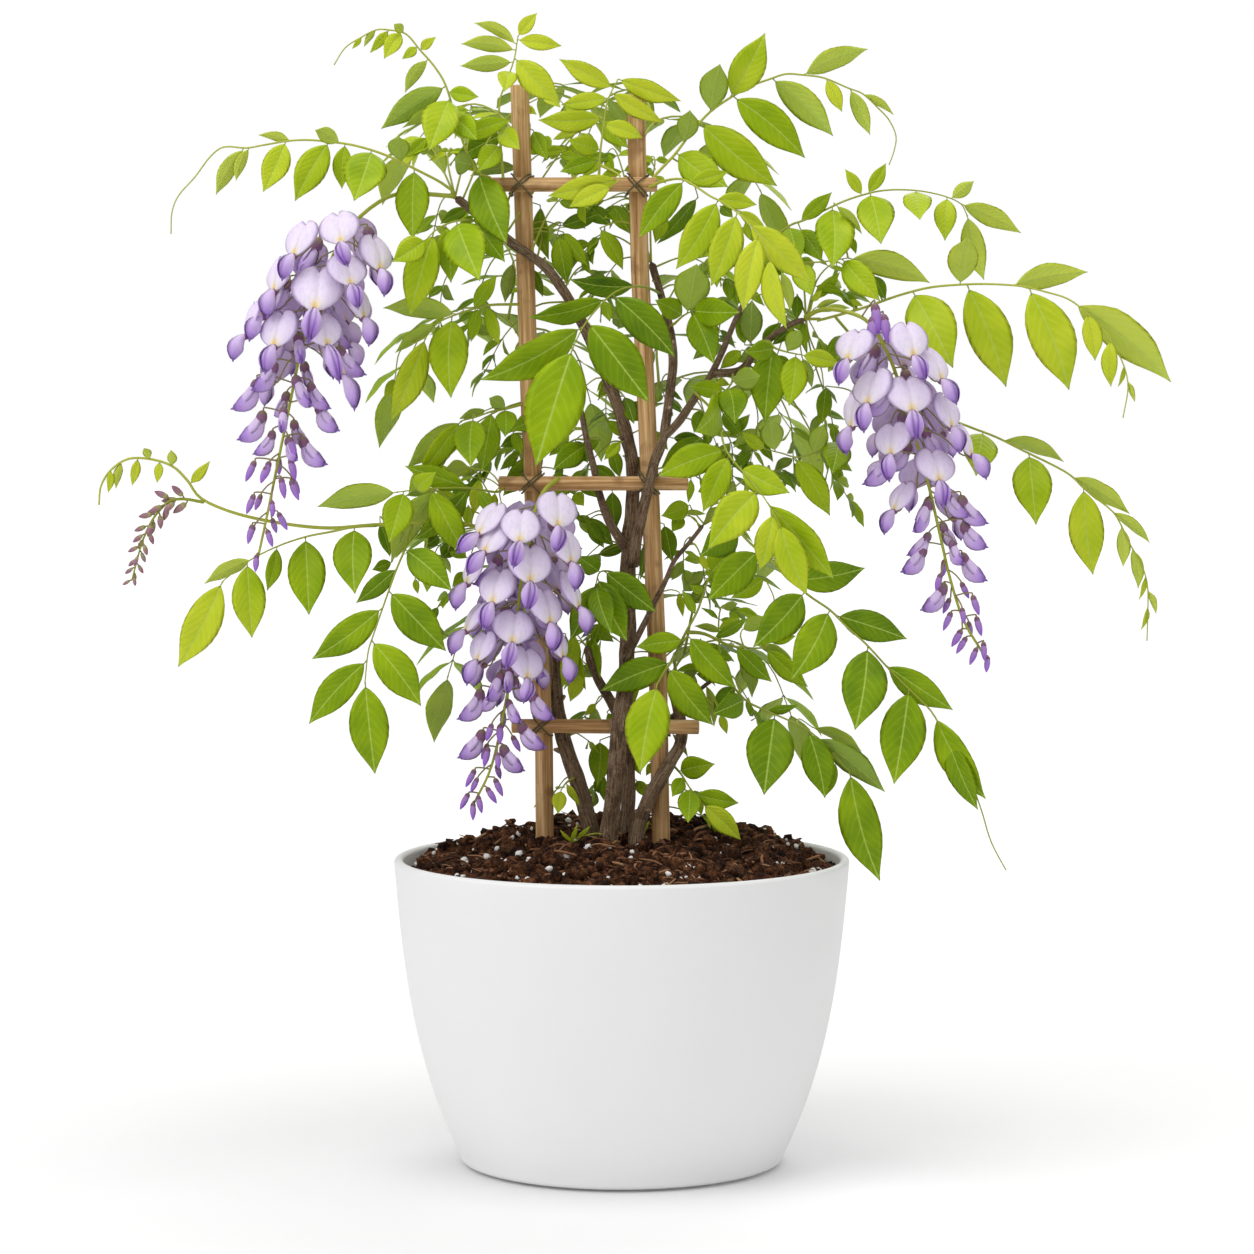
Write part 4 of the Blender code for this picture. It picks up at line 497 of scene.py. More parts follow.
              (714, 638, 748, 618, 12)]),
        ],
    },
    "leaf_bottom_right": {
        "on": "upright_right",
        "axes": [
            ([(674, 764, -6), (681, 774, -14), (690, 788, -22), (703, 804, -30)],
             [(679, 771, 715, 764, 24), (690, 788, 688, 823, 24), (695, 794, 739, 803, 20),
              (703, 804, 741, 840, 22), (683, 777, 672, 797, 15)]),
        ],
    },
    "leaf_bottom_left": {
        "on": "trunk_left",
        "axes": [
            ([(572, 778, 2), (566, 783, -3), (561, 790, -6)],
             [(561, 790, 558, 814, 15), (566, 783, 580, 806, 8)]),
        ],
    },
    "leaf_left_shoulder": {
        "on": "arm_left",
        "axes": [
            ([(484, 224, -16), (470, 220, -24), (452, 222, -33), (436, 230, -41), (426, 240, -46)],
             [(456, 221, 480, 281, 43), (434, 232, 410, 316, 34), (474, 221, 505, 262, 26),
              (446, 225, 451, 283, 24), (426, 240, 392, 262, 26)]),
        ],
    },
    "leaf_right_shoulder": {
        "on": "arm_right",
        "axes": [
            ([(675, 322, -5), (683, 316, -11), (692, 311, -16)],
             [(692, 311, 714, 364, 31), (687, 313, 697, 264, 36), (683, 316, 655, 300, 22),
              (692, 311, 740, 312, 30)]),
        ],
    },
    "leaf_right_hanging": {
        "on": "arm_right",
        "axes": [
            ([(770, 342, -4), (775, 348, -10), (787, 352, -14), (802, 355, -17)],
             [(773, 346, 765, 423, 37), (796, 354, 789, 406, 28), (802, 355, 840, 365, 18),
              (775, 348, 745, 352, 22), (787, 352, 800, 330, 18)]),
        ],
    },
    "leaf_right_spur": {
        "on": "arm_right",
        "axes": [
            ([(733, 376, -5), (732, 382, -12), (728, 388, -18), (720, 396, -24)],
             [(729, 387, 735, 424, 31), (732, 382, 760, 376, 24), (720, 396, 695, 432, 26),
              (724, 392, 690, 386, 18)]),
        ],
    },
    "leaf_centre_low": {
        "on": "trunk_main",
        "axes": [
            ([(620, 578, -4), (612, 572, -12), (600, 572, -18), (596, 584, -22)],
             [(604, 571, 656, 612, 30), (598, 578, 627, 641, 35), (596, 584, 612, 634, 28),
              (600, 572, 577, 556, 20), (596, 584, 570, 640, 28)]),
        ],
    },
    "leaf_back_high_left": {
        "on": "upright_left",
        "axes": [
            ([(519, 150, 13), (505, 120, 36), (475, 104, 70), (440, 116, 104), (410, 150, 132)], 46),
            ([(506, 122, 34), (530, 90, 60), (560, 84, 90), (590, 104, 115)], 40),
        ],
    },
    "leaf_back_high_right": {
        "on": "upright_right",
        "axes": [
            ([(638, 150, 5), (655, 122, 36), (690, 118, 72), (730, 142, 104), (760, 190, 126)], 46),
            ([(656, 124, 34), (640, 92, 66), (610, 96, 96), (590, 130, 120)], 40),
        ],
    },
    "leaf_back_left": {
        "on": "upright_left",
        "axes": [
            ([(527, 350, 13), (505, 318, 40), (465, 308, 78), (425, 330, 110), (400, 380, 130)], 48),
            ([(508, 320, 38), (515, 270, 66), (500, 240, 98), (470, 236, 126)], 42),
            ([(516, 332, 28), (545, 330, 60), (575, 352, 92), (590, 400, 116)], 44),
        ],
    },
    "leaf_back_right": {
        "on": "upright_right",
        "axes": [
            ([(647, 400, 5), (664, 384, 34), (706, 372, 72), (756, 384, 106), (790, 428, 128)], 48),
            ([(659, 388, 26), (658, 330, 60), (684, 276, 94), (728, 256, 118)], 44),
        ],
    },
    "leaf_back_low_left": {
        "on": "trunk_left",
        "axes": [
            ([(556, 640, 20), (535, 612, 44), (500, 604, 76), (465, 628, 104), (448, 676, 120)], 46),
            ([(540, 616, 40), (520, 560, 66), (480, 528, 96), (440, 530, 120)], 44),
        ],
    },
    "leaf_back_low_right": {
        "on": "trunk_right",
        "axes": [
            ([(668, 680, 16), (690, 650, 44), (728, 640, 78), (768, 664, 106), (790, 712, 122)], 46),
            ([(684, 654, 38), (700, 590, 66), (740, 556, 98), (785, 560, 122)], 44),
        ],
    },
}

# How high the potting mix is heaped behind the stems, in metres
SOIL_HEAP = 0.0105

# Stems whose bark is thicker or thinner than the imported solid, at the foot and at the end
THICKER = {"trunk_left": (1.3, 1.2), "trunk_right": (1.15, 1.15), "trunk_main": (0.82, 0.98)}

# How young a shoot is: 0 is dark and full grown, 1 is yellow-green and new
YOUTH = {
    "shoot_left": 0.75,
    "leaf_left_low": 0.55,
    "leaf_left_hanging": 0.32,
    "leaf_left_middle": 0.42,
    "leaf_left_upper": 0.5,
    "leaf_front_centre": 0.27,
    "leaf_left_of_stake": 0.35,
    "leaf_top_left_tendril": 0.75,
    "leaf_top_left": 0.7,
    "leaf_top_centre": 0.7,
    "leaf_top_right": 0.72,
    "leaf_high_right": 0.72,
    "leaf_high_front": 0.7,
    "leaf_upper_right": 0.55,
    "leaf_far_right": 0.88,
    "leaf_right_behind": 0.65,
    "leaf_right_long": 0.36,
    "leaf_right_upper": 0.55,
    "leaf_right_small": 0.4,
    "leaf_right_tip": 0.25,
    "shoot_right": 0.32,
    "leaf_bottom_right": 0.45,
    "leaf_bottom_left": 0.6,
    "leaf_left_shoulder": 0.45,
    "leaf_right_shoulder": 0.32,
    "leaf_right_hanging": 0.42,
    "leaf_right_spur": 0.35,
    "leaf_centre_low": 0.2,
    "leaf_back_high_left": 0.5,
    "leaf_back_high_right": 0.5,
    "leaf_back_left": 0.35,
    "leaf_back_right": 0.35,
    "leaf_back_low_left": 0.3,
    "leaf_back_low_right": 0.3,
}

# Small leaves that fill the crown: where each spray ends, how large a leaflet is, and its youth
SPRAYS = [
    (470, 110, 20, 30, 0.7), (545, 96, 16, 28, 0.75), (580, 128, 24, 30, 0.6), (556, 146, 34, 30, 0.5),
    (615, 150, 22, 28, 0.5), (470, 205, 18, 30, 0.5), (440, 205, 16, 30, 0.55), (600, 235, 22, 32, 0.45),
    (560, 222, 30, 32, 0.4), (545, 262, 22, 32, 0.45), (588, 268, 30, 32, 0.35), (622, 205, 26, 30, 0.45),
    (566, 196, 16, 28, 0.55), (618, 262, 18, 30, 0.4), (480, 290, 20, 28, 0.4), (445, 280, 14, 28, 0.45),
    (505, 335, 26, 28, 0.3), (600, 300, 24, 32, 0.3), (690, 290, 22, 30, 0.4), (722, 250, 18, 30, 0.45),
    (722, 318, 20, 30, 0.35), (748, 330, 26, 32, 0.35), (740, 292, 18, 30, 0.45), (702, 262, 26, 30, 0.4),
    (640, 340, 28, 32, 0.25), (760, 235, 20, 30, 0.5), (795, 262, 16, 30, 0.5), (822, 285, 18, 28, 0.55),
    (836, 262, 22, 26, 0.6), (810, 322, 14, 28, 0.5), (782, 340, 16, 26, 0.4), (822, 372, 22, 28, 0.4),
    (832, 420, 30, 30, 0.35), (822, 452, 24, 30, 0.35), (662, 382, 24, 28, 0.25), (606, 398, 26, 30, 0.3),
    (560, 392, 26, 30, 0.3), (532, 420, 30, 30, 0.35), (704, 412, 20, 30, 0.35), (730, 440, 24, 30, 0.35),
    (758, 418, 18, 30, 0.4), (782, 470, 24, 30, 0.35), (462, 432, 22, 30, 0.4), (500, 452, 26, 28, 0.35),
    (562, 452, 22, 30, 0.35), (602, 450, 26, 28, 0.3), (694, 475, 18, 28, 0.5), (722, 505, 22, 30, 0.35),
    (450, 508, 18, 26, 0.55), (472, 468, 22, 26, 0.5), (560, 505, 30, 28, 0.3), (596, 548, 28, 30, 0.25),
    (606, 604, 24, 30, 0.25), (702, 562, 18, 28, 0.35), (684, 545, 22, 26, 0.4), (640, 566, 30, 28, 0.25),
    (584, 652, 22, 28, 0.4), (600, 700, 26, 28, 0.35), (694, 644, 22, 26, 0.35), (722, 606, 18, 26, 0.45),
    (704, 664, 22, 26, 0.3), (742, 690, 20, 24, 0.35), (580, 735, 22, 22, 0.5), (602, 772, 20, 22, 0.4),
    (562, 782, 18, 20, 0.5), (690, 792, 18, 20, 0.4), (712, 820, 16, 18, 0.4), (440, 545, 22, 26, 0.4),
    (446, 596, 26, 26, 0.35), (790, 420, 16, 28, 0.4), (776, 300, 22, 28, 0.45), (655, 160, 14, 24, 0.7),
    (450, 150, 14, 26, 0.7), (425, 140, 14, 26, 0.7),
]

# Single leaflets deep in the crown: foot, tip and width in the picture, depth, and youth
INNER_LEAFLETS = [
    (505, 133, 453, 161, 22, 14, 0.25), (520, 168, 470, 176, 12, 16, 0.2),
    (428, 137, 405, 158, 14, 8, 0.5), (513, 262, 505, 303, 14, 14, 0.25),
    (470, 208, 440, 224, 13, 10, 0.3), (533, 130, 548, 160, 18, 12, 0.5),
    (600, 122, 628, 148, 22, 10, 0.6), (540, 205, 549, 260, 16, 14, 0.25),
    (560, 226, 602, 212, 16, 18, 0.15), (558, 235, 567, 284, 22, 10, 0.4),
    (563, 232, 588, 266, 16, 12, 0.45), (600, 228, 623, 270, 18, 10, 0.5),
    (612, 205, 630, 234, 18, 16, 0.35), (606, 200, 570, 208, 12, 18, 0.3),
    (603, 300, 610, 322, 12, 8, 0.5), (533, 268, 543, 297, 10, 14, 0.15),
    (665, 212, 655, 243, 16, 10, 0.5), (590, 206, 612, 226, 16, 22, 0.1),
    (698, 197, 657, 244, 15, 12, 0.2), (800, 228, 822, 262, 22, 14, 0.4),
    (812, 300, 840, 272, 12, 8, 0.55), (815, 286, 843, 292, 10, 8, 0.5),
    (781, 270, 790, 312, 10, 0, 0.85), (797, 294, 797, 320, 12, 8, 0.2),
    (750, 345, 752, 300, 24, 12, 0.25), (762, 345, 782, 322, 14, 10, 0.2),
    (745, 345, 738, 315, 12, 12, 0.4), (803, 320, 806, 350, 10, 6, 0.35),
    (790, 330, 772, 345, 10, 8, 0.15), (742, 350, 720, 369, 14, 4, 0.65),
    (802, 357, 812, 388, 10, 6, 0.35), (826, 386, 822, 424, 16, 14, 0.35),
    (716, 380, 730, 385, 9, 6, 0.65), (722, 412, 742, 437, 16, 12, 0.3),
    (730, 436, 750, 414, 12, 10, 0.35), (702, 409, 694, 433, 13, 6, 0.4),
    (874, 275, 886, 300, 14, 10, 0.25), (836, 205, 862, 234, 8, 4, 0.8), (850, 236, 856, 254, 8, 8, 0.5),
    (720, 206, 733, 218, 12, 8, 0.3), (738, 211, 765, 228, 12, -8, 0.8), (745, 222, 750, 240, 8, -6, 0.6),
    (815, 308, 840, 300, 6, 0, 0.9), (820, 312, 850, 308, 6, 0, 0.85), (812, 302, 822, 290, 7, 0, 0.85),
    (850, 300, 863, 306, 6, 0, 0.8), (586, 445, 553, 470, 26, 14, 0.35),
    (575, 440, 588, 463, 14, 16, 0.2), (570, 434, 549, 456, 12, 10, 0.4),
    (621, 442, 604, 460, 12, 6, 0.6), (612, 447, 620, 478, 14, 12, 0.3),
    (624, 396, 634, 424, 16, 12, 0.2), (704, 436, 661, 468, 22, 14, 0.35),
    (672, 438, 704, 440, 14, 16, 0.2), (612, 490, 616, 530, 18, 12, 0.25),
    (584, 517, 614, 546, 18, 14, 0.3), (575, 492, 584, 506, 14, 6, 0.5),
    (570, 490, 545, 502, 12, 8, 0.45), (690, 505, 661, 516, 20, 6, 0.5), (683, 515, 672, 532, 14, 6, 0.5),
    (684, 512, 706, 514, 6, 6, 0.6), (664, 524, 672, 562, 18, 12, 0.2), (691, 478, 688, 503, 8, 4, 0.5),
    (700, 553, 709, 572, 8, 2, 0.8), (679, 592, 683, 617, 8, 2, 0.65), (765, 578, 731, 598, 18, 8, 0.55),
    (718, 630, 740, 617, 10, 4, 0.65), (742, 630, 768, 618, 16, 4, 0.6), (722, 632, 694, 626, 8, 4, 0.5),
    (592, 624, 614, 642, 14, 10, 0.35), (643, 545, 640, 580, 8, 14, 0.15),
    (582, 672, 570, 702, 16, 8, 0.7), (596, 703, 585, 716, 8, 4, 0.65), (600, 740, 597, 786, 24, 26, 0.4),
    (602, 772, 604, 801, 10, 20, 0.35), (634, 758, 641, 775, 8, 12, 0.5),
    (652, 762, 646, 776, 8, 12, 0.5), (636, 780, 648, 798, 12, 16, 0.4), (672, 733, 688, 757, 6, 6, 0.5),
    (706, 684, 714, 727, 9, 4, 0.65), (735, 686, 713, 712, 18, 12, 0.15),
    (720, 714, 727, 734, 9, 4, 0.75), (757, 645, 793, 660, 10, 4, 0.65), (768, 641, 796, 636, 12, 6, 0.6),
    (812, 727, 862, 752, 12, 0, 0.6), (836, 762, 824, 798, 14, 4, 0.35),
    (462, 421, 407, 468, 24, 12, 0.55), (470, 468, 446, 468, 18, 4, 0.8), (487, 410, 459, 419, 9, 6, 0.5),
    (437, 490, 405, 496, 9, 4, 0.4), (435, 491, 457, 497, 10, 2, 0.75), (480, 478, 474, 515, 14, 2, 0.75),
    (468, 505, 468, 527, 12, 4, 0.6), (495, 492, 492, 517, 9, 2, 0.75), (522, 436, 500, 447, 12, 12, 0.2),
    (520, 450, 500, 470, 10, 10, 0.35), (512, 458, 521, 477, 8, 10, 0.35),
    (380, 522, 390, 557, 14, 8, 0.2), (392, 562, 372, 570, 12, 8, 0.25),
    (395, 378, 384, 398, 10, 4, 0.65), (415, 578, 418, 594, 7, 6, 0.65),
    (468, 572, 452, 587, 12, 8, 0.45), (568, 847, 577, 824, 5, -20, 0.8),
    (577, 838, 590, 826, 5, -20, 0.8), (572, 842, 560, 830, 4, -20, 0.85),
    (636, 838, 650, 820, 5, -10, 0.7), (575, 632, 562, 688, 20, 4, 0.6),
    (592, 634, 600, 682, 16, 6, 0.45), (570, 640, 586, 690, 15, 8, 0.5), (545, 454, 503, 496, 26, 8, 0.3),
    (540, 416, 511, 431, 18, 8, 0.35), (513, 432, 522, 455, 12, 6, 0.45),
    (488, 503, 481, 545, 18, 2, 0.7), (502, 505, 511, 542, 15, 2, 0.65),
    (615, 407, 648, 420, 14, 14, 0.4), (632, 384, 658, 402, 14, 16, 0.35),
    (592, 465, 619, 483, 14, 14, 0.3), (575, 478, 598, 498, 14, 14, 0.35),
    (623, 456, 650, 470, 14, 14, 0.3), (606, 420, 630, 438, 12, 16, 0.45),
    (640, 400, 618, 418, 10, 16, 0.5), (598, 400, 612, 372, 10, 14, 0.5),
    (588, 520, 604, 548, 14, 14, 0.2), (597, 555, 630, 543, 12, 14, 0.2),
    (624, 660, 634, 706, 22, 14, 0.5), (607, 712, 622, 738, 14, 14, 0.5),
    (560, 470, 548, 498, 12, 12, 0.4), (600, 440, 575, 452, 12, 14, 0.35),
    (650, 430, 668, 450, 12, 14, 0.4), (588, 384, 566, 400, 12, 12, 0.45),
    (655, 350, 640, 376, 12, 14, 0.4), (620, 350, 640, 362, 10, 14, 0.4),
    (566, 634, 560, 660, 12, 8, 0.3), (600, 622, 590, 650, 10, 6, 0.3), (440, 536, 424, 547, 12, 14, 0.1),
    (455, 547, 440, 558, 12, 14, 0.1), (448, 552, 468, 558, 8, 8, 0.35),
]


def curve_between(a, b, c, d, steps):
    """Points of a Catmull-Rom curve from b up to c, without c itself."""
    points = []
    for i in range(steps):
        t = i / steps
        bend = (2 * a - 5 * b + 4 * c - d) * t**2 + (3 * b - a - 3 * c + d) * t**3
        points.append(0.5 * (2 * b + (c - a) * t + bend))
    return points


def smooth_route(points, steps):
    """A curve through the points, with this many steps between two of them."""
    if len(points) < 3:
        return [points[0].lerp(points[-1], i / steps) for i in range(steps + 1)]
    ends = [points[0] * 2 - points[1]] + points + [points[-1] * 2 - points[-2]]
    route = []
    for four in zip(ends, ends[1:], ends[2:], ends[3:]):
        route.extend(curve_between(*four, steps))
    return route + [points[-1]]


def smooth_loop(points, steps):
    """A closed curve through the points, with this many steps between two of them."""
    count = len(points)
    route = []
    for i in range(count):
        route.extend(curve_between(*(points[(i + k) % count] for k in (-1, 0, 1, 2)), steps))
    return route


def lengths_along(points):
    """The length of the line from its first point to each of its points."""
    lengths = [0.0]
    for a, b in zip(points, points[1:]):
        lengths.append(lengths[-1] + (b - a).length)
    return lengths


def picture_place(point):
    """Where a point is seen in the picture."""
    away = point - EYE
    forward = away.y * math.cos(VIEW_PITCH) - away.z * math.sin(VIEW_PITCH)
    up = away.y * math.sin(VIEW_PITCH) + away.z * math.cos(VIEW_PITCH)
    return (
        PICTURE_MIDDLE + VIEW_FOCAL * away.x / forward,
        PICTURE_MIDDLE - VIEW_FOCAL * up / forward,
    )


class Axis:
    """A stem's centre line, with lengths along it and the places where it is seen."""

    def __init__(self, points, steps=4):
        self.points = smooth_route(points, steps)
        self.lengths = lengths_along(self.points)
        self.total = self.lengths[-1]
        self.places = [picture_place(point) for point in self.points]

    def point(self, length):
        """The point at this length from the foot."""
        length = min(max(length, 0.0), self.total)
        i = 0
        while i < len(self.lengths) - 2 and self.lengths[i + 1] < length:
            i += 1
        share = (length - self.lengths[i]) / max(self.lengths[i + 1] - self.lengths[i], 1e-9)
        return self.points[i].lerp(self.points[i + 1], share)

    def direction(self, length):
        """The way that the stem runs at this length from the foot."""
        ahead = self.point(min(length + 0.002, self.total))
        behind = self.point(max(length - 0.002, 0.0))
        return (ahead - behind).normalized()

    def nearest(self, place):
        """The length at which the stem comes nearest to a point."""
        best = (1e9, 0.0)
        for i, (a, b) in enumerate(zip(self.points, self.points[1:])):
            t = min(max((place - a).dot(b - a) / max((b - a).length_squared, 1e-12), 0.0), 1.0)
            gap = (a.lerp(b, t) - place).length
            best = min(best, (gap, self.lengths[i] + t * (self.lengths[i + 1] - self.lengths[i])))
        return best[1]

    def nearest_seen(self, across, down):
        """The length at which the stem is seen nearest to a place in the picture."""
        best = (1e9, 0.0)
        for i, (a, b) in enumerate(zip(self.places, self.places[1:])):
            run = (b[0] - a[0], b[1] - a[1])
            size = max(run[0] ** 2 + run[1] ** 2, 1e-9)
            t = ((across - a[0]) * run[0] + (down - a[1]) * run[1]) / size
            t = min(max(t, 0.0), 1.0)
            gap = math.hypot(a[0] + run[0] * t - across, a[1] + run[1] * t - down)
            best = min(best, (gap, self.lengths[i] + t * (self.lengths[i + 1] - self.lengths[i])))
        return best[1]

    def across_at(self, down):
        """How far across the picture a hanging stem is seen at this height."""
        for a, b in zip(self.places, self.places[1:]):
            if a[1] <= down <= b[1]:
                return a[0] + (b[0] - a[0]) * (down - a[1]) / max(b[1] - a[1], 1e-6)
        return self.places[-1][0]


def line_through(route, steps=4):
    """The centre line through a route of picture places."""
    return Axis([seen(*place) for place in route], steps)


class Shape:
    """Corners, faces and four noted values a corner, gathered before a piece's mesh is made."""

    def __init__(self):
        self.corners = []
        self.faces = []
        self.slots = []
        self.notes = []

    def add(self, corners, faces, notes, slot=0):
        """Take in more corners, and faces that count from the first of them."""
        first = len(self.corners)
        self.corners.extend(corners)
        self.notes.extend(notes)
        self.faces.extend(tuple(first + i for i in face) for face in faces)
        self.slots.extend([slot] * len(faces))


def new_object(name, data):
    """An object in the scene."""
    made = bpy.data.objects.new(name, data)
    bpy.context.scene.collection.objects.link(made)
    return made


def make_piece(name, shape, finishes, nodes=()):
    """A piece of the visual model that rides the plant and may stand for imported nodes."""
    mesh = bpy.data.meshes.new(name)
    mesh.from_pydata([tuple(corner) for corner in shape.corners], [], shape.faces)
    mesh.polygons.foreach_set("material_index", shape.slots)
    notes = mesh.attributes.new("notes", "FLOAT_COLOR", "POINT")
    notes.data.foreach_set("color", [value for note in shape.notes for value in note])
    for finish in finishes:
        mesh.materials.append(finish)
    mesh.shade_smooth()
    mesh.update()
    made = new_object(name, mesh)
    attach(made, "root")
    if nodes:
        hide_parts(*nodes)


def frames_along(points):
    """For each point two ways across the stem, carried along without twist."""
    frames = []
    side = None
    last = None
    for i in range(len(points)):
        ahead = (points[min(i + 1, len(points) - 1)] - points[max(i - 1, 0)]).normalized()
        if side is None:
            side = ahead.cross(Vector((0.31, 0.21, 0.93)))
        else:
            side = last.rotation_difference(ahead) @ side
        side = (side - ahead * side.dot(ahead)).normalized()
        last = ahead
        frames.append((side, ahead.cross(side)))
    return frames


def way_round(side, up, angle):
    """The way at an angle round a stem, from its two ways across."""
    return side * math.cos(angle) + up * math.sin(angle)


def ring_faces(rings, sides, loop=False):
    """Faces between rings of corners that follow each other. A loop's last ring joins its first."""
    faces = []
    for i in range(rings if loop else rings - 1):
        here, there = i * sides, (i + 1) % rings * sides
        for k in range(sides):
            m = (k + 1) % sides
            faces.append((here + k, here + m, there + m, there + k))
    return faces


def capped_faces(rings, sides):
    """Faces between rings of corners, and one across each end."""
    last = (rings - 1) * sides
    return ring_faces(rings, sides) + [tuple(reversed(range(sides))), tuple(range(last, last + sides))]


def tube(shape, points, radii, sides, note, slot=0, relief=None):
    """A closed round stem. Relief, and a note that isn't fixed, go by a ring's number and an angle."""
    corners, notes = [], []
    for i, (point, (side, up)) in enumerate(zip(points, frames_along(points))):
        for k in range(sides):
            angle = 2 * math.pi * k / sides
            radius = radii[i] + (relief(i, angle) if relief else 0)
            corners.append(point + way_round(side, up, angle) * radius)
            notes.append(note(i, angle) if callable(note) else note)
    shape.add(corners, capped_faces(len(points), sides), notes, slot)


def thin_sheet(shape, rows, thickness):
    """A closed sheet through rows of (point, upper note, lower note). Its two sides share the border."""
    n, m = len(rows), len(rows[0])
    corners = [cell[0] for row in rows for cell in row]
    notes = [cell[1] for row in rows for cell in row]
    below = {(i, k): i * m + k for i in range(n) for k in range(m)}
    for i in range(1, n - 1):
        for k in range(1, m - 1):
            ahead = rows[i + 1][k][0] - rows[i - 1][k][0]
            side = rows[i][k + 1][0] - rows[i][k - 1][0]
            below[(i, k)] = len(corners)
            corners.append(rows[i][k][0] - side.cross(ahead).normalized() * thickness)
            notes.append(rows[i][k][2])
    faces = []
    for i in range(n - 1):
        for k in range(m - 1):
            faces.append((i * m + k, i * m + k + 1, (i + 1) * m + k + 1, (i + 1) * m + k))
            faces.append((below[(i, k)], below[(i + 1, k)], below[(i + 1, k + 1)], below[(i, k + 1)]))
    shape.add(corners, faces, notes)


# Half the blade's width along a leaflet, and the columns of its grid. Small leaflets have fewer of both.
LEAF_OUTLINE = (
    (0.0, 0.03), (0.035, 0.22), (0.085, 0.43), (0.16, 0.67), (0.26, 0.88), (0.37, 0.98), (0.47, 1.0),
    (0.58, 0.93), (0.69, 0.76), (0.79, 0.52), (0.88, 0.28), (0.945, 0.12), (1.0, 0.012),
)
LEAF_COLUMNS = (-1.0, -0.72, -0.42, -0.13, 0.0, 0.13, 0.42, 0.72, 1.0)
SMALL_OUTLINE = (
    (0.0, 0.04), (0.1, 0.5), (0.25, 0.92), (0.42, 1.0), (0.6, 0.84), (0.78, 0.5), (0.92, 0.18),
    (1.0, 0.02),
)
SMALL_COLUMNS = (-1.0, -0.5, 0.0, 0.5, 1.0)

# Where a blade starts on its leaflet and how far it runs, as shares of the leaflet's length
BLADE_START = 0.055
BLADE_RUN = 0.945
# How much a blade arches, bends sideways, folds, waves and turns: the least and the most
BLADE_ARCH = (0.03, 0.09)
BLADE_BEND = (-0.035, 0.035)
BLADE_FOLD = (0.08, 0.2)
BLADE_WAVE = (0.015, 0.04)
BLADE_TURN = (-0.25, 0.25)
# How deep the midrib lies, in metres, and how much younger the edge looks
RIB_DIP = 0.0002
EDGE_YOUTH = 0.16
# The range of a free angle, in radians
ANY_ANGLE = (0, 6.28)


def leaf_up(foot, tip, across):
    """The direction that a blade's upper side faces: up, or outwards on one that hangs."""
    up = (tip - foot).cross(across).normalized()
    middle = foot.lerp(tip, 0.5)
    outward = Vector((middle.x * 0.3, middle.y - 0.02, 0))
    wanted = up.z * 1.2 + up.dot(outward.normalized())
    return up if wanted >= 0 else -up


def stalk_note(youth):
    """What a green stalk's corners note: only how young it is."""
    return (0, 0.5, youth, 0)


def blade(shape, foot, tip, across, width, youth, rng, small=False):
    """One leaflet: a short stalk, then an arched, folded blade with a wavy edge and a drawn-out tip."""
    up = leaf_up(foot, tip, across)
    along = (tip - foot).normalized()
    side = along.cross(up)
    length = (tip - foot).length
    start = foot + along * length * BLADE_START
    run = length * BLADE_RUN
    arch = run * rng.uniform(*BLADE_ARCH)
    sideways = run * rng.uniform(*BLADE_BEND)
    fold = rng.uniform(*BLADE_FOLD) + 0.12 * youth
    wave = width * rng.uniform(*BLADE_WAVE)
    turn = rng.uniform(*BLADE_TURN)
    phase = rng.uniform(*ANY_ANGLE)
    outline, columns = (SMALL_OUTLINE, SMALL_COLUMNS) if small else (LEAF_OUTLINE, LEAF_COLUMNS)
    rows = []
    for t, share in outline:
        bow = 4 * t * (1 - t)
        centre = start + along * run * t + up * arch * bow + side * sideways * bow
        angle = turn * (t - 0.4)
        across_way = way_round(side, up, angle)
        up_way = up * math.cos(angle) - side * math.sin(angle)
        row = []
        for s in columns:
            x = s * share * width / 2
            rise = abs(x) * fold * (1 - 0.35 * s * s)
            rise += wave * s * s * math.sin(13 * t + phase + (1.3 if s > 0 else 0)) * bow
            if s == 0:
                rise -= RIB_DIP * bow
            tone = min(max(youth + (EDGE_YOUTH if abs(s) == 1 else 0.0), 0), 1)
            note = (t, 0.5 + 0.5 * s * share, tone)
            row.append((centre + across_way * x + up_way * rise, (*note, 0.0), (*note, 1.0)))
        rows.append(row)
    thin_sheet(shape, rows, LEAF_THICKNESS)
    stalk = [foot, foot.lerp(start, 0.5) + up * length * 0.003, start + along * length * 0.03 + up * 0.0001]
    thick = 0.0003 + 0.0025 * length
    tube(shape, stalk, (thick * 1.3, thick, thick * 0.7), 5, stalk_note(youth), 1)


def corner_trees(node):
    """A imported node's corners, and searches over them by place in space and in the picture."""
    corners = [v.co.copy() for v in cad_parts[node].data.vertices]
    in_space = kdtree.KDTree(len(corners))
    in_picture = kdtree.KDTree(len(corners))
    for i, corner in enumerate(corners):
        in_space.insert(corner, i)
        in_picture.insert((*picture_place(corner), 0), i)
    in_space.balance()
    in_picture.balance()
    return corners, in_space, in_picture


def tip_depth(leaflet, depth):
    """How far behind the pot's axis a leaflet's tip lies, in millimetres, from its looks."""
    length = math.hypot(leaflet[2] - leaflet[0], leaflet[3] - leaflet[1])
    true_length = max(length, leaflet[4] / LEAF_RATIO)
    return depth - PIXEL * math.sqrt(true_length**2 - length**2) * LEAN_SHARE


def used_tip(trees, leaflet, depth):
    """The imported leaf's own corner that is seen at this leaflet's tip, or None without one."""
    corners, _, in_picture = trees
    found = in_picture.find_range((leaflet[2], leaflet[3], 0), TIP_SEARCH)
    if not found:
        return None
    return min((corners[i] for _, i, _ in found), key=lambda corner: abs(corner.y / MM - depth))


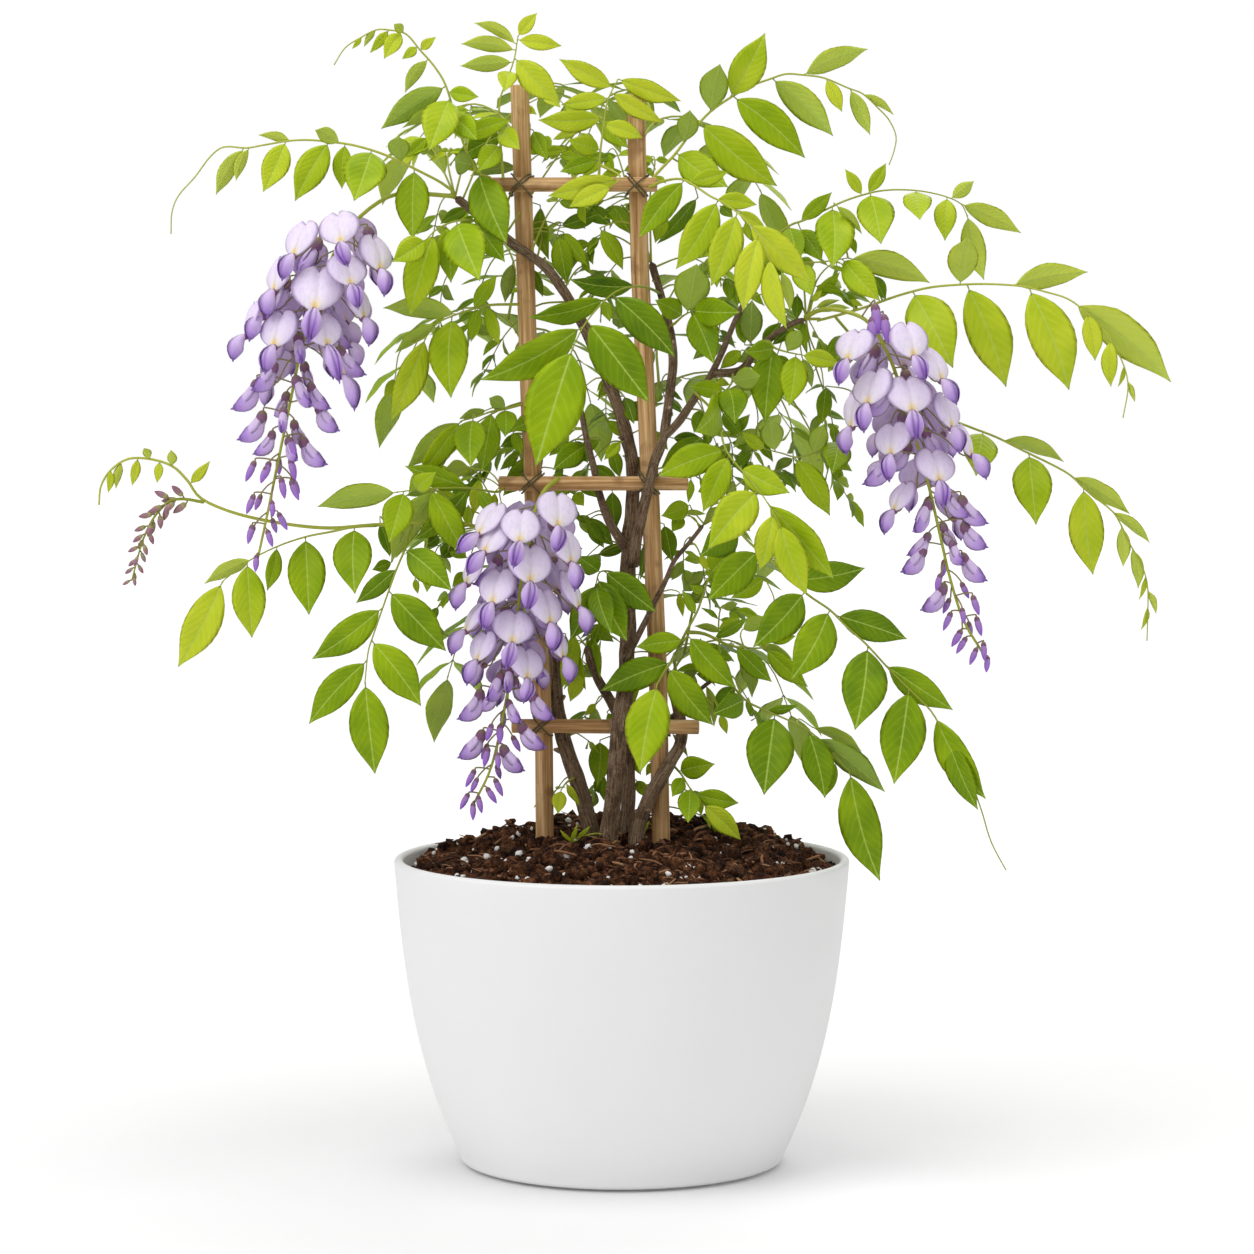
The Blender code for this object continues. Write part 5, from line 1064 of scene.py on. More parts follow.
def leaflet_shape(foot, tip, width):
    """The blade's across direction and true width, from how wide it looks beside its length."""
    along = (tip - foot).normalized()
    flat = along.cross(Vector((0, 1, 0)))
    if flat.length < 1e-4:
        flat = Vector((1, 0, 0))
    flat.normalize()
    true_width = max(width, LEAF_RATIO * (tip - foot).length * 0.8)
    turn = math.acos(min(width / true_width, 1.0)) * 0.9
    sign = 1 if tip.x > foot.x else -1
    across = Matrix.Rotation(turn * sign, 3, along) @ flat
    return across.normalized(), true_width


def carrier_lines(name):
    """The centre lines of a piece that carries others."""
    if name in STAKES or name in BARS:
        return [line_through({**STAKES, **BARS}[name], 1)]
    if name in WOOD:
        return [line_through(route) for route in WOOD[name]["axes"]]
    return [line_through(route) for route, _ in SHOOTS[name]["axes"]]


def nearest_carrier(lines, place):
    """The point of these centre lines that lies nearest to a place."""
    points = [line.point(line.nearest(place)) for line in lines]
    return min(points, key=lambda point: (point - place).length)


def seated_axis(trees, route, carrier):
    """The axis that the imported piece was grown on, and the place in its carrier that it leaves."""
    points = [seen(*place) for place in route]
    corners, in_space, _ = trees
    seat = sum((corners[i] for _, i, _ in in_space.find_n(points[0], 4)), Vector()) / 4
    points[0] = seat
    return Axis(points), nearest_carrier(carrier_lines(carrier), seat)


# A back leaf's pairs, and how much further down its leaflets may point than wished
BACK_PAIRS = 4
DROPS = (0, 0.25, -0.25, 0.5, -0.5, 0.8, -0.8)
# How near a packed corner has to be to count as a leaflet's tip, in metres
TIP_GAP = 0.004


def squared_across(across, line, spare):
    """The across direction at right angles to a leaflet's line, or a spare one where there is none."""
    across = across.normalized() if across.length > 0.05 else spare
    return (across - line * across.dot(line)).normalized()


def ruled_leaflets(axis, size, trees):
    """A back leaf's own leaflets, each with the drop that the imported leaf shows."""
    wishes = []
    for i in range(BACK_PAIRS):
        at = axis.total * (0.32 + 0.6 * i / (BACK_PAIRS - 1))
        along = axis.direction(at)
        side = along.cross(Vector((0, 0, 1))).normalized()
        length = size * MM * (1 - 0.12 * abs(i - 1.2))
        for sign in (1, -1):
            way = (along * 0.45 + side * sign * 0.85 + Vector((0, 0, -0.45))).normalized()
            wishes.append((at, way, length))
    end_way = (axis.direction(axis.total) + Vector((0, 0, -0.35))).normalized()
    wishes.append((axis.total, end_way, size * MM))
    placed = []
    for at, way, length in wishes:
        foot = axis.point(at)
        best = None
        for drop in DROPS:
            tip = foot + (way + Vector((0, 0, -drop))).normalized() * length
            place, _, gap = trees[1].find(tip)
            if best is None or gap < best[0]:
                best = (gap, place)
        if best[0] < TIP_GAP:
            tip = best[1].copy()
            line = (tip - foot).normalized()
            across = squared_across(line.cross(Vector((0, 0, 1))), line, axis.direction(at))
            placed.append((at, foot, tip, across, length * BACK_LEAF_RATIO))
    return placed


def seen_leaflets(axis, leaflets, trees):
    """The leaflets of a leaf that the picture shows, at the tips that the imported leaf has."""
    placed = []
    for leaflet in leaflets:
        at = axis.nearest_seen(leaflet[0], leaflet[1])
        foot = axis.point(at)
        tip = used_tip(trees, leaflet, tip_depth(leaflet, foot.y / MM))
        if tip is not None:
            placed.append((at, foot, tip, *leaflet_shape(foot, tip, leaflet[4] * PIXEL * MM)))
    return placed


def rachis(shape, points, radius, end_radius, youth, sides=8):
    """A green stalk that tapers from its foot to its end."""
    count = len(points)
    radii = [radius + (end_radius - radius) * (i / (count - 1)) ** 0.8 for i in range(count)]
    tube(shape, points, radii, sides, stalk_note(youth), 1)


# The width under which a leaflet looks newer, in metres
NEW_WIDTH = 0.009
# The widths, and for a free leaflet the length, under which a blade is built simply
SMALL_WIDTH = 0.007
SMALL_INNER_WIDTH = 0.006
SMALL_LENGTH = 0.012
# A free leaflet's width as a share of its length
FREE_LEAF_RATIO = 0.44


def build_leaf(name, plan, finishes):
    """One compound leaf or leafy shoot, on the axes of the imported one."""
    trees = corner_trees(name)
    shape = Shape()
    rng = random.Random(name)
    youth = YOUTH[name]
    radius = plan.get("radius", RACHIS_RADIUS / MM) * MM
    for i, (route, leaflets) in enumerate(plan["axes"]):
        if i == 0:
            axis, root = seated_axis(trees, route, plan["on"])
            points = [root] + axis.points
        else:
            axis = line_through(route)
            points = axis.points
        rachis(shape, points, radius * 1.15, max(radius * 0.42, STALK_END), min(youth + 0.2, 1))
        find = seen_leaflets if isinstance(leaflets, list) else ruled_leaflets
        for at, foot, tip, across, width in find(axis, leaflets, trees):
            share = at / axis.total
            young = youth + (0.05 + 0.85 * youth) * (share - 0.45) + rng.uniform(-0.13, 0.11)
            if width < NEW_WIDTH:
                young += 0.12
            blade(shape, foot, tip, across, width, min(max(young, 0), 0.95), rng, width < SMALL_WIDTH)
    make_piece(name + "_leaf", shape, finishes, [name])


def stem_lines():
    """The centre lines of the woody stems."""
    return [line_through(route, 3) for stem in WOOD.values() for route in stem["axes"]]


# An inner leaflet's stalk: its radius at the foot and the length of one of its steps, in metres
INNER_STALK_RADIUS = 0.0006
STALK_STEP = 0.006
# Where the crown's small sprays are parted into two pieces, across the picture
CROWN_MIDDLE = 600


def build_sprays(finishes):
    """Small compound leaves on short stalks that fill the crown behind the large ones."""
    stems = stem_lines()
    halves = {"crown_sprays_left": Shape(), "crown_sprays_right": Shape()}
    for number, (across, down, depth, size, youth) in enumerate(SPRAYS):
        side = "left" if across < CROWN_MIDDLE else "right"
        shape = halves["crown_sprays_" + side]
        target = seen(across, down, depth)
        start = nearest_carrier(stems, target)
        spray(shape, start, target, size * PIXEL * MM, youth, random.Random(number))
    for name, shape in halves.items():
        make_piece(name, shape, finishes)


def build_inner_leaflets(finishes):
    """Single leaflets on thin stalks that reach the nearest stem, stake or leaf stalk."""
    lines = [line_through(places, 1) for places in STAKES.values()] + stem_lines()
    for plan in SHOOTS.values():
        lines.extend(line_through(route, 3) for route, _ in plan["axes"])
    shape = Shape()
    for number, (*leaflet, depth, youth) in enumerate(INNER_LEAFLETS):
        rng = random.Random(1000 + number)
        foot = seen(leaflet[0], leaflet[1], depth)
        tip = seen(leaflet[2], leaflet[3], tip_depth(leaflet, depth))
        across, width = leaflet_shape(foot, tip, leaflet[4] * PIXEL * MM)
        blade(shape, foot, tip, across, width, youth, rng, width < SMALL_INNER_WIDTH)
        start = nearest_carrier(lines, foot)
        gap = (start - foot).length
        bend = start.lerp(foot, 0.5) + Vector((rng.uniform(-0.15, 0.15), 0, 0.12)) * gap
        points = smooth_route([start, bend, foot], max(int(gap / STALK_STEP), 2))
        rachis(shape, points, INNER_STALK_RADIUS, STALK_END, min(youth + 0.2, 1), 6)
    make_piece("inner_leaflets", shape, finishes)


def spray(shape, start, target, size, youth, rng):
    """A short stalk from its stem to the target and beyond, with leaflets of this size on its end."""
    run = target - start
    lift = Vector((rng.uniform(-0.2, 0.2), rng.uniform(-0.3, 0.3), 0.35)) * run.length
    reach = run.normalized() * size * 1.4
    drop = Vector((rng.uniform(-0.3, 0.3), rng.uniform(-0.2, 0.5), -0.5)).normalized() * size * 1.3
    axis = Axis([start, start + run * 0.5 + lift * 0.4, target, target + reach * 0.6 + drop * 0.8], 5)
    rachis(shape, axis.points, 0.0007, 0.0003, min(youth + 0.15, 1), 6)
    count = rng.choice((3, 3, 4))
    for i in range(count):
        at = axis.total * (1 - 0.42 * (count - 1 - i) / count) - size * 0.12
        along = axis.direction(at)
        side = along.cross(Vector((rng.uniform(-0.3, 0.3), rng.uniform(-0.6, 0.2), 1))).normalized()
        for sign in (1, -1):
            way = along * 0.5 + side * sign * 0.9 + Vector((0, 0, rng.uniform(-0.7, 0.05)))
            place_free_leaflet(shape, axis.point(at), way, size * rng.uniform(0.8, 1.1), youth, rng)
    place_free_leaflet(shape, axis.point(axis.total), axis.direction(axis.total), size * 1.15, youth, rng)


def place_free_leaflet(shape, foot, way, length, youth, rng):
    """A leaflet that the picture doesn't show one by one, turned roughly outwards."""
    way = way.normalized()
    outward = Vector((foot.x, foot.y - 0.02, 0))
    facing = outward.normalized() * 0.5 + Vector((rng.uniform(-0.5, 0.5), -0.55, rng.uniform(0.1, 0.8)))
    across = squared_across(way.cross(facing), way, Vector((1, 0, 0)))
    young = min(max(youth + rng.uniform(-0.2, 0.2), 0), 1)
    width = length * FREE_LEAF_RATIO
    blade(shape, foot, foot + way * length, across, width, young, rng, length < SMALL_LENGTH)


# Flowers: colours as the light reflects them
BANNER_PALE = (0.93, 0.85, 0.98)
BANNER_EDGE = (0.70, 0.51, 0.88)
BANNER_LINE = (0.45, 0.34, 0.50)
SPOT_YELLOW = (0.88, 0.60, 0.04)
SPOT_WHITE = (0.95, 0.92, 0.88)
WING_TOP = (0.84, 0.63, 0.97)
WING_LOW = (0.30, 0.088, 0.62)
KEEL_TIP = (0.085, 0.010, 0.26)
FOLD_PALE = (0.82, 0.67, 0.94)
CALYX = (0.19, 0.055, 0.14)
PEDICEL = (0.27, 0.22, 0.05)
BUD_PALE = (0.40, 0.22, 0.52)
CLOSED_BUD_TINTS = ((0.42, 0.29, 0.15), (0.38, 0.17, 0.20))
CLOSED_BUD_TIP = (0.24, 0.08, 0.12)
CLOSED_BUD_CUP = (0.34, 0.34, 0.08)

# Shapes of the petals: height along one and its share of the full width or depth there
BANNER_ROWS = (
    (0.0, 0.12), (0.06, 0.33), (0.14, 0.57), (0.24, 0.78), (0.36, 0.93), (0.49, 1.0), (0.62, 0.99),
    (0.74, 0.92), (0.85, 0.77), (0.94, 0.55), (1.0, 0.28),
)
BANNER_COLUMNS = (-1.0, -0.8, -0.56, -0.32, -0.13, 0.0, 0.13, 0.32, 0.56, 0.8, 1.0)
WING_PROFILE = (
    (0.0, 0.28), (0.10, 0.46), (0.21, 0.68), (0.33, 0.88), (0.45, 1.0), (0.57, 0.96), (0.69, 0.78),
    (0.80, 0.53), (0.90, 0.28), (1.0, 0.04),
)
FOLD_SHARES = (0.5, 0.70, 0.84, 0.94, 0.96, 0.84, 0.58, 0.2)
CALYX_PROFILE = ((0.0, 0.25), (0.2, 0.75), (0.55, 1.0), (0.85, 1.06), (1.0, 0.96))
BUD_PROFILE = ((0.0, 0.4), (0.15, 0.8), (0.35, 1.0), (0.6, 0.9), (0.8, 0.6), (0.93, 0.3), (1.0, 0.08))
# Half the thickness and half the depth of the wings, as shares of their width
OPEN_GIRTH = (0.40, 0.44)
CLOSED_GIRTH = (0.31, 0.55)
BANNER_THICKNESS = 0.00025
WING_THICKNESS = 0.0002
PEDICEL_RADIUS = 0.0005
KEEL_SIDES = 8
CALYX_SIDES = 10
DOWN = Vector((0, 0, -1))


def mixed(a, b, share):
    """A colour between two, by share."""
    share = min(max(share, 0.0), 1.0)
    return tuple(x + (y - x) * share for x, y in zip(a, b))


def banner_notes(t, s, share, shade):
    """The banner's notes: its front, with a white and yellow spot and a line above it, and its back."""
    rim = 0.45 if abs(s) == 1 or t == 1 else 0
    colour = mixed(BANNER_PALE, BANNER_EDGE, shade + 0.22 * abs(s) ** 3 + 0.16 * t + rim)
    colour = mixed(colour, SPOT_WHITE, 0.9 * math.exp(-((s * share * 2.8) ** 2) - (t * 2.4) ** 2))
    colour = mixed(colour, SPOT_YELLOW, math.exp(-((s * share * 7.5) ** 2) - ((t - 0.09) * 8) ** 2))
    line = math.exp(-((s / 0.07) ** 2)) * (1 - t) * (0.38 if t > 0.2 else 0)
    return (*mixed(colour, BANNER_LINE, line), 0.0), (*mixed(colour, BANNER_EDGE, 0.45), 1.0)


def banner(shape, base, up, out, width, height, shade, reflex, rng):
    """The broad upright petal: two lobes either side of a groove, with a yellow spot at its foot."""
    side = up.cross(out).normalized()
    lean = rng.uniform(-0.10, 0.10)
    phase = rng.uniform(*ANY_ANGLE)
    tilt = rng.uniform(-0.08, 0.08)
    rows = []
    for t, share in BANNER_ROWS:
        row = []
        for s in BANNER_COLUMNS:
            x = s * share * width / 2
            y = height * (t + 0.10 * t * t * abs(s) * (1.4 - abs(s)) - 0.09 * t**4 * (1 - abs(s)) ** 2)
            y -= height * 0.05 * s * s * (1 - t)
            groove = -0.030 * width * math.exp(-((s / 0.12) ** 2)) * (0.3 + 0.7 * t)
            lobe = 0.055 * width * math.sin(math.pi * min(abs(s), 1.0)) * (0.3 + 0.7 * t)
            roll = -reflex * width * (0.26 * t**3 + 0.12 * s * s * share + 0.04 * t)
            ruffle = 0.022 * width * math.sin(5.5 * t + phase + 2.2 * s) * s * s
            rise = groove + lobe + roll + ruffle + tilt * x
            point = base + side * (x + lean * y) + up * y + out * rise
            row.append((point, *banner_notes(t, s, share, shade)))
        rows.append(row)
    thin_sheet(shape, rows, BANNER_THICKNESS)


def keel_line(base, start_way, end_way, side, length):
    """Points along a path that bends from one way to another, and the way to its front at each."""
    places, fronts = [], []
    at = base.copy()
    last = 0.0
    for t, _ in WING_PROFILE:
        way = start_way.lerp(end_way, t * t * (3 - 2 * t)).normalized()
        at = at + way * length * (t - last)
        last = t
        places.append(at.copy())
        fronts.append(side.cross(way).normalized())
    return places, fronts


def beak(shape, base, start_way, end_way, side, width, length, tints, rng, girth, spread=0.12):
    """The keel and the two wings that wrap it, along a path that bends from one way to another."""
    pale, deep, tip = tints
    thick, deep_way = girth
    places, fronts = keel_line(base, start_way, end_way, side, length)

    def colour(t, low):
        """Pale at the foot, deep in the middle and darkest at the tip."""
        return mixed(mixed(pale, deep, (t - 0.26) * 1.6 + low), tip, (t - 0.66) * 2.0)

    corners, notes = [], []
    for i, (t, share) in enumerate(WING_PROFILE):
        for k in range(KEEL_SIDES):
            angle = 2 * math.pi * k / KEEL_SIDES
            offset = side * math.cos(angle) * thick * 0.78 + fronts[i] * math.sin(angle) * deep_way * 0.88
            corners.append(places[i] + offset * width * share)
            notes.append((*colour(t, 0.3), 0.0))
    shape.add(corners, capped_faces(len(WING_PROFILE), KEEL_SIDES), notes)
    for sign in (1, -1):
        rows = []
        for i, (t, share) in enumerate(WING_PROFILE[:-1]):
            row = []
            for k in range(5):
                turn = math.radians(80 - 38 * k)
                border = k in (0, 4)
                flare = 1 + spread * (1 - abs(k - 2) / 4) + (0.16 if border else 0) * t
                offset = side * sign * math.cos(turn) * thick + fronts[i] * math.sin(turn) * deep_way
                point = places[i] + offset * width * (share * flare + 0.03)
                edge = 0.34 if border else 0.0
                tint = colour(t, -0.16 + 0.05 * k + edge + rng.uniform(-0.02, 0.02))
                row.append((point, (*tint, 0.0), (*mixed(tint, deep, 0.2), 1.0)))
            rows.append(row[::-sign])
        thin_sheet(shape, rows, WING_THICKNESS)
    return places, fronts


def calyx(shape, point, ahead, size, tint=CALYX):
    """The small toothed cup that holds a flower."""
    side = ahead.cross(Vector((0.2, 0.3, 0.9))).normalized()
    up = ahead.cross(side)
    corners, notes = [], []
    for t, share in CALYX_PROFILE:
        for k in range(CALYX_SIDES):
            tooth = size * 0.35 if t == 1.0 and k % 2 == 0 else 0
            offset = way_round(side, up, 2 * math.pi * k / CALYX_SIDES) * size * 0.55 * share
            corners.append(point + ahead * (size * t + tooth) + offset)
            notes.append((*mixed(PEDICEL, tint, t * 1.6), 0.0))
    shape.add(corners, capped_faces(len(CALYX_PROFILE), CALYX_SIDES), notes)


def pedicel(shape, foot, end, arrive):
    """A thin stalk that leaves the axis and arrives along the flower's own direction."""
    reach = (end - foot).length
    middle = foot.lerp(end, 0.5) + Vector((0, 0, reach * 0.10))
    points = smooth_route([foot, middle, end - arrive * reach * 0.12, end], 3)
    tube(shape, points, [PEDICEL_RADIUS] * len(points), 5, (*PEDICEL, 0.0))


def open_flower(shape, foot, heart, keel_point, radial, width, shade, rng):
    """A flower with a raised banner, its wings and keel reaching to a point below."""
    drop = (heart - keel_point).normalized()
    up = (drop + Vector((0, 0, 0.5))).normalized()
    out = (radial + Vector((0, 0, 0.12))).normalized()
    out = (out - up * out.dot(up)).normalized()
    height = width * rng.uniform(0.74, 0.84)
    base = heart - up * height * 0.46
    up = (up - out * 0.16).normalized()
    banner(shape, base, up, out, width, height, shade, rng.uniform(0.6, 1.3), rng)
    start_way = (out * 0.75 - up * 0.75).normalized()
    end_way = ((keel_point - base).normalized() + out * 0.12).normalized()
    side = start_way.cross(end_way)
    side = side.normalized() if side.length > 0.05 else up.cross(out).normalized()
    length = max((keel_point - base).length * 1.25, width * 0.76)
    tints = (mixed(WING_TOP, BANNER_PALE, 0.55 - shade * 0.5), mixed(WING_LOW, WING_TOP, 0.15), KEEL_TIP)
    beak(shape, base + out * 0.0006, start_way, end_way, side, width * 0.42, length, tints, rng, OPEN_GIRTH)
    back = base - out * width * 0.12
    calyx(shape, back, (out * 0.8 - up * 0.25).normalized(), width * 0.14)
    pedicel(shape, foot, back, (out * 0.8 - up * 0.2).normalized())


def folded_banner(shape, places, fronts, side, sign, width, pale, shade):
    """The banner of a half-open flower, wrapped over its wings."""
    rows = []
    for i, share in enumerate(FOLD_SHARES):
        t = WING_PROFILE[i][0]
        row = []
        for k in range(7):
            turn = math.radians(-84 + 28 * k)
            offset = side * math.sin(turn) * 0.45 + fronts[i] * sign * (math.cos(turn) * 0.70 - 0.05)
            tint = mixed(BANNER_PALE, pale, 0.3 + shade)
            tint = mixed(tint, WING_LOW, 1.3 * t * t + 0.15 * abs(k - 3) / 3)
            point = places[i] + offset * width * share
            row.append((point, (*tint, 0.0), (*mixed(tint, WING_TOP, 0.4), 1.0)))
        rows.append(row[::-sign])
    thin_sheet(shape, rows, WING_THICKNESS)


def half_open_flower(shape, foot, middle, radial, width, length, shade, rng):
    """A flower whose banner is still folded over the wings: a crescent with its tip turned outwards."""
    out = Vector((radial.x, radial.y, 0)).normalized()
    sway = out.cross(DOWN).normalized() * rng.uniform(-0.2, 0.2)
    start_way = (DOWN + out * rng.uniform(0.2, 0.45) + sway).normalized()
    end_way = (out * rng.uniform(1.1, 1.7) + DOWN * 0.45 + sway).normalized()
    top = middle - (start_way + end_way).normalized() * length * 0.5
    side = out.cross(DOWN).normalized()
    side = (side - start_way * side.dot(start_way)).normalized()
    pale = mixed(FOLD_PALE, WING_TOP, shade)
    tints = (pale, mixed(WING_LOW, WING_TOP, 0.15), KEEL_TIP)
    places, fronts = beak(
        shape, top, start_way, end_way, side, width, length, tints, rng, CLOSED_GIRTH, 0.2
    )
    sign = 1 if fronts[0].dot(out) > 0 else -1
    folded_banner(shape, places, fronts, side, sign, width, pale, shade)
    cup = top - start_way * width * 0.48
    calyx(shape, cup, start_way, width * 0.72)
    pedicel(shape, foot, cup, start_way)


def bud(shape, foot, top, tip, width, tint, tip_tint, cup=CALYX):
    """A closed flower: an egg-shaped body that ends in a point, in its cup and on its stalk."""
    ahead = (tip - top).normalized()
    length = (tip - top).length
    points = [top + ahead * length * t for t, _ in BUD_PROFILE]
    radii = [width * 0.5 * share for _, share in BUD_PROFILE]

    def note(i, _):
        """The tint at a ring, darker towards the tip."""
        return (*mixed(tint, tip_tint, BUD_PROFILE[i][0] * 1.2 - 0.1), 0.0)

    tube(shape, points, radii, 8, note)
    cup_place = top - ahead * width * 0.25
    calyx(shape, cup_place, ahead, width * 0.75, cup)
    pedicel(shape, foot, cup_place, ahead)


def lilac_bud(shape, foot, middle, way, reach, width):
    """A bud of an open cluster, round its middle."""
    bud(shape, foot, middle - way * reach, middle + way * reach, width, BUD_PALE, WING_LOW)


def cluster_place(axis, cluster, across, down, drop, outward):
    """For a flower seen at a place: its foot on the axis, the axis beside it, its depth and its share."""
    end_down = axis.places[-1][1]
    share = (down - cluster["flowers_from"]) / (end_down - cluster["flowers_from"])
    middle_across = axis.across_at(down)
    at = axis.nearest_seen(across * 0.15 + middle_across * 0.85, down - drop)
    middle = axis.point(axis.nearest_seen(middle_across, down))
    reach = cluster["reach"]
    off = (across - middle_across) / max(reach * (1 - 0.75 * share), 8)
    spread = reach * (1 - 0.75 * share) * PIXEL * CLUSTER_DEPTH
    depth = outward * math.sqrt(max(1 - min(abs(off), 1) ** 2, 0.05)) * spread
    return axis.point(at), middle, middle.y / MM - depth, share


def way_out(place, middle):
    """The level way from a cluster's axis to a flower, leant a little towards the viewer."""
    return Vector((place.x - middle.x, place.y - middle.y - 0.003, 0)).normalized()


# How far the flowers at the back of a cluster stand to the side, as a share of those in front
BACK_SPREAD = 0.6
# Flowers placed by rule in one cluster, and the turn round the axis from one to the next, in radians
FILL_COUNT = 26
SPIRAL_TURN = 2.4
# How far above its flower a stalk leaves the axis, in pixels: open flowers, half-open ones and buds
STALK_DROPS = (16, 18, 12)


def build_raceme(name, cluster, finishes):
    """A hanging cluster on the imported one's axis, with flowers and buds at their seen places."""
    axis, root = seated_axis(corner_trees(name), cluster["axis"], cluster["on"])
    shape = Shape()
    rng = random.Random(name)
    rachis(shape, [root] + axis.points, 0.0014, 0.0007, 0.85)
    open_drop, half_drop, bud_drop = STALK_DROPS

    def flower(across, down, tip_across, tip_down, outward, width):
        """An open flower, in front of the axis or behind it."""
        foot, middle, depth, share = cluster_place(axis, cluster, across, down, open_drop, outward)
        heart = seen(across, down, depth)
        keel_point = seen(tip_across, tip_down, depth - 2 * outward)
        radial = Vector((heart.x - middle.x, heart.y - middle.y, 0))
        if outward > 0:
            radial += Vector((0, -0.010, 0))
        size = max(width, 42 - 8 * share) * PIXEL * MM
        open_flower(shape, foot, heart, keel_point, radial.normalized(), size, 0.10 + 0.45 * share, rng)

    for across, down, keel_across, keel_down, width in cluster["open"]:
        tip = (across + 1.15 * (keel_across - across), down + 1.15 * (keel_down - down))
        flower(across, down, *tip, 1, width)
        mirrored = axis.across_at(down) - BACK_SPREAD * (across - axis.across_at(down))
        flower(mirrored, down + 7, mirrored, down + 36, -1, width)
    for across, down in cluster["half"]:
        foot, middle, depth, share = cluster_place(axis, cluster, across, down, half_drop, 0.6)
        place = seen(across, down, depth)
        radial = way_out(place, middle)
        length = rng.uniform(40, 46) * (1 - 0.3 * share) * PIXEL * MM
        half_open_flower(shape, foot, place, radial, 13.5 * PIXEL * MM, length, share * 0.5, rng)
    for across, down in cluster["buds"]:
        foot, middle, depth, share = cluster_place(axis, cluster, across, down, bud_drop, 0.5)
        size = 1.35 - 0.55 * share
        place = seen(across, down, depth)
        way = (DOWN + way_out(place, middle) * rng.uniform(0.3, 0.8)).normalized()
        lilac_bud(shape, foot, place, way, 11 * size * PIXEL * MM, 8.0 * size * PIXEL * MM)
    fill_raceme(shape, axis, cluster, rng)
    make_piece(name + "_flowers", shape, finishes, [name])


def fill_raceme(shape, axis, cluster, rng):
    """Purple half-open flowers and buds round the axis, between and behind the placed ones."""
    start, end = cluster["flowers_from"], axis.places[-1][1]
    for i in range(FILL_COUNT):
        share = 0.04 + 0.88 * (i + rng.uniform(0, 0.8)) / FILL_COUNT
        down = start + share * (end - start)
        turn = i * SPIRAL_TURN
        radial = Vector((math.cos(turn), math.sin(turn), 0))
        if radial.y < -0.35 and share < 0.55:
            continue
        middle = axis.point(axis.nearest_seen(axis.across_at(down), down))
        spread = cluster["reach"] * (1 - 0.78 * share) * PIXEL * MM * rng.uniform(0.45, 0.78)
        size = 1 - 0.45 * share
        place = middle + radial * spread + Vector((0, 0, -0.004))
        foot = axis.point(max(axis.nearest(middle) - 0.009, 0))
        if share < 0.66:
            shade = 0.1 + share * 0.4
            half_open_flower(shape, foot, place, radial, 0.0088 * size, 0.024 * size, shade, rng)
        else:
            way = (DOWN + radial * 0.5).normalized()
            lilac_bud(shape, foot, place, way, 0.0075 * size, 0.0060 * size)


def build_bud_raceme(finishes):
    """The young cluster, whose buds are all closed and set in a spiral."""
    axis, root = seated_axis(corner_trees("raceme_buds"), BUD_RACEME["axis"], BUD_RACEME["on"])
    shape = Shape()
    rng = random.Random("buds")
    rachis(shape, [root] + axis.points, 0.0011, 0.0005, 0.55)
    last = FILL_COUNT - 1
    for i in range(FILL_COUNT):
        at = axis.total * (0.12 + 0.88 * i / last)
        along = axis.direction(at)
        turn = i * SPIRAL_TURN
        side = along.cross(Vector((0, 1, 0))).normalized()
        radial = side * math.cos(turn) + along.cross(side) * math.sin(turn) * 0.5
        foot = axis.point(at)
        size = 1.15 - 0.55 * i / last
        top = foot + (radial * 0.8 + along * 0.5).normalized() * 0.0032 * size
        tip = top + (radial * 0.75 + along * 0.75).normalized() * 0.0074 * size
        tint = mixed(*CLOSED_BUD_TINTS, rng.random())
        bud(shape, foot, top, tip, 0.0037 * size, tint, CLOSED_BUD_TIP, CLOSED_BUD_CUP)
    make_piece("raceme_buds_closed", shape, finishes, ["raceme_buds"])


# Lengths between a stem's rings and between its knots, how far a trunk runs down into the soil and a
# stem into its carrier, all in metres, and the corners of a ring
RING_STEP = 0.0022
KNOT_STEP = 0.035
TRUNK_FOOT = 0.035
STEM_FOOT = 0.006
BARK_SIDES = 20


def round_note(angle, far, last):
    """A stem's note: where a corner lies round it, how far along, and one more value."""
    return (0.5 + 0.5 * math.cos(angle), 0.5 + 0.5 * math.sin(angle), far, last)


def woody_stem(shape, points, radii, seed):
    """A round stem with ridges that run along it, swellings and hollows."""
    lengths = lengths_along(points)

    def relief(i, angle):
        """How far the bark stands out at a ring's number and an angle."""
        x, y = math.cos(angle), math.sin(angle)
        ridge = noise.noise(Vector((x * 2.4 + seed, y * 2.4, lengths[i] * 22)))
        fine = noise.noise(Vector((x * 6 + seed, y * 6, lengths[i] * 110)))
        lump = noise.noise(Vector((x * 0.7 + seed * 3, y * 0.7, lengths[i] * 60)))
        return radii[i] * (0.24 * ridge + 0.12 * fine + 0.17 * lump)

    def note(i, angle):
        """Round, along and how thick, for the bark's pattern."""
        return round_note(angle, (lengths[i] * 4) % 1.0, radii[i] * 80)

    tube(shape, points, radii, BARK_SIDES, note, 0, relief)


def even_points(axis, step):
    """Points along an axis, about a step apart."""
    count = max(int(axis.total / step), 4)
    return [axis.point(axis.total * i / count) for i in range(count + 1)]


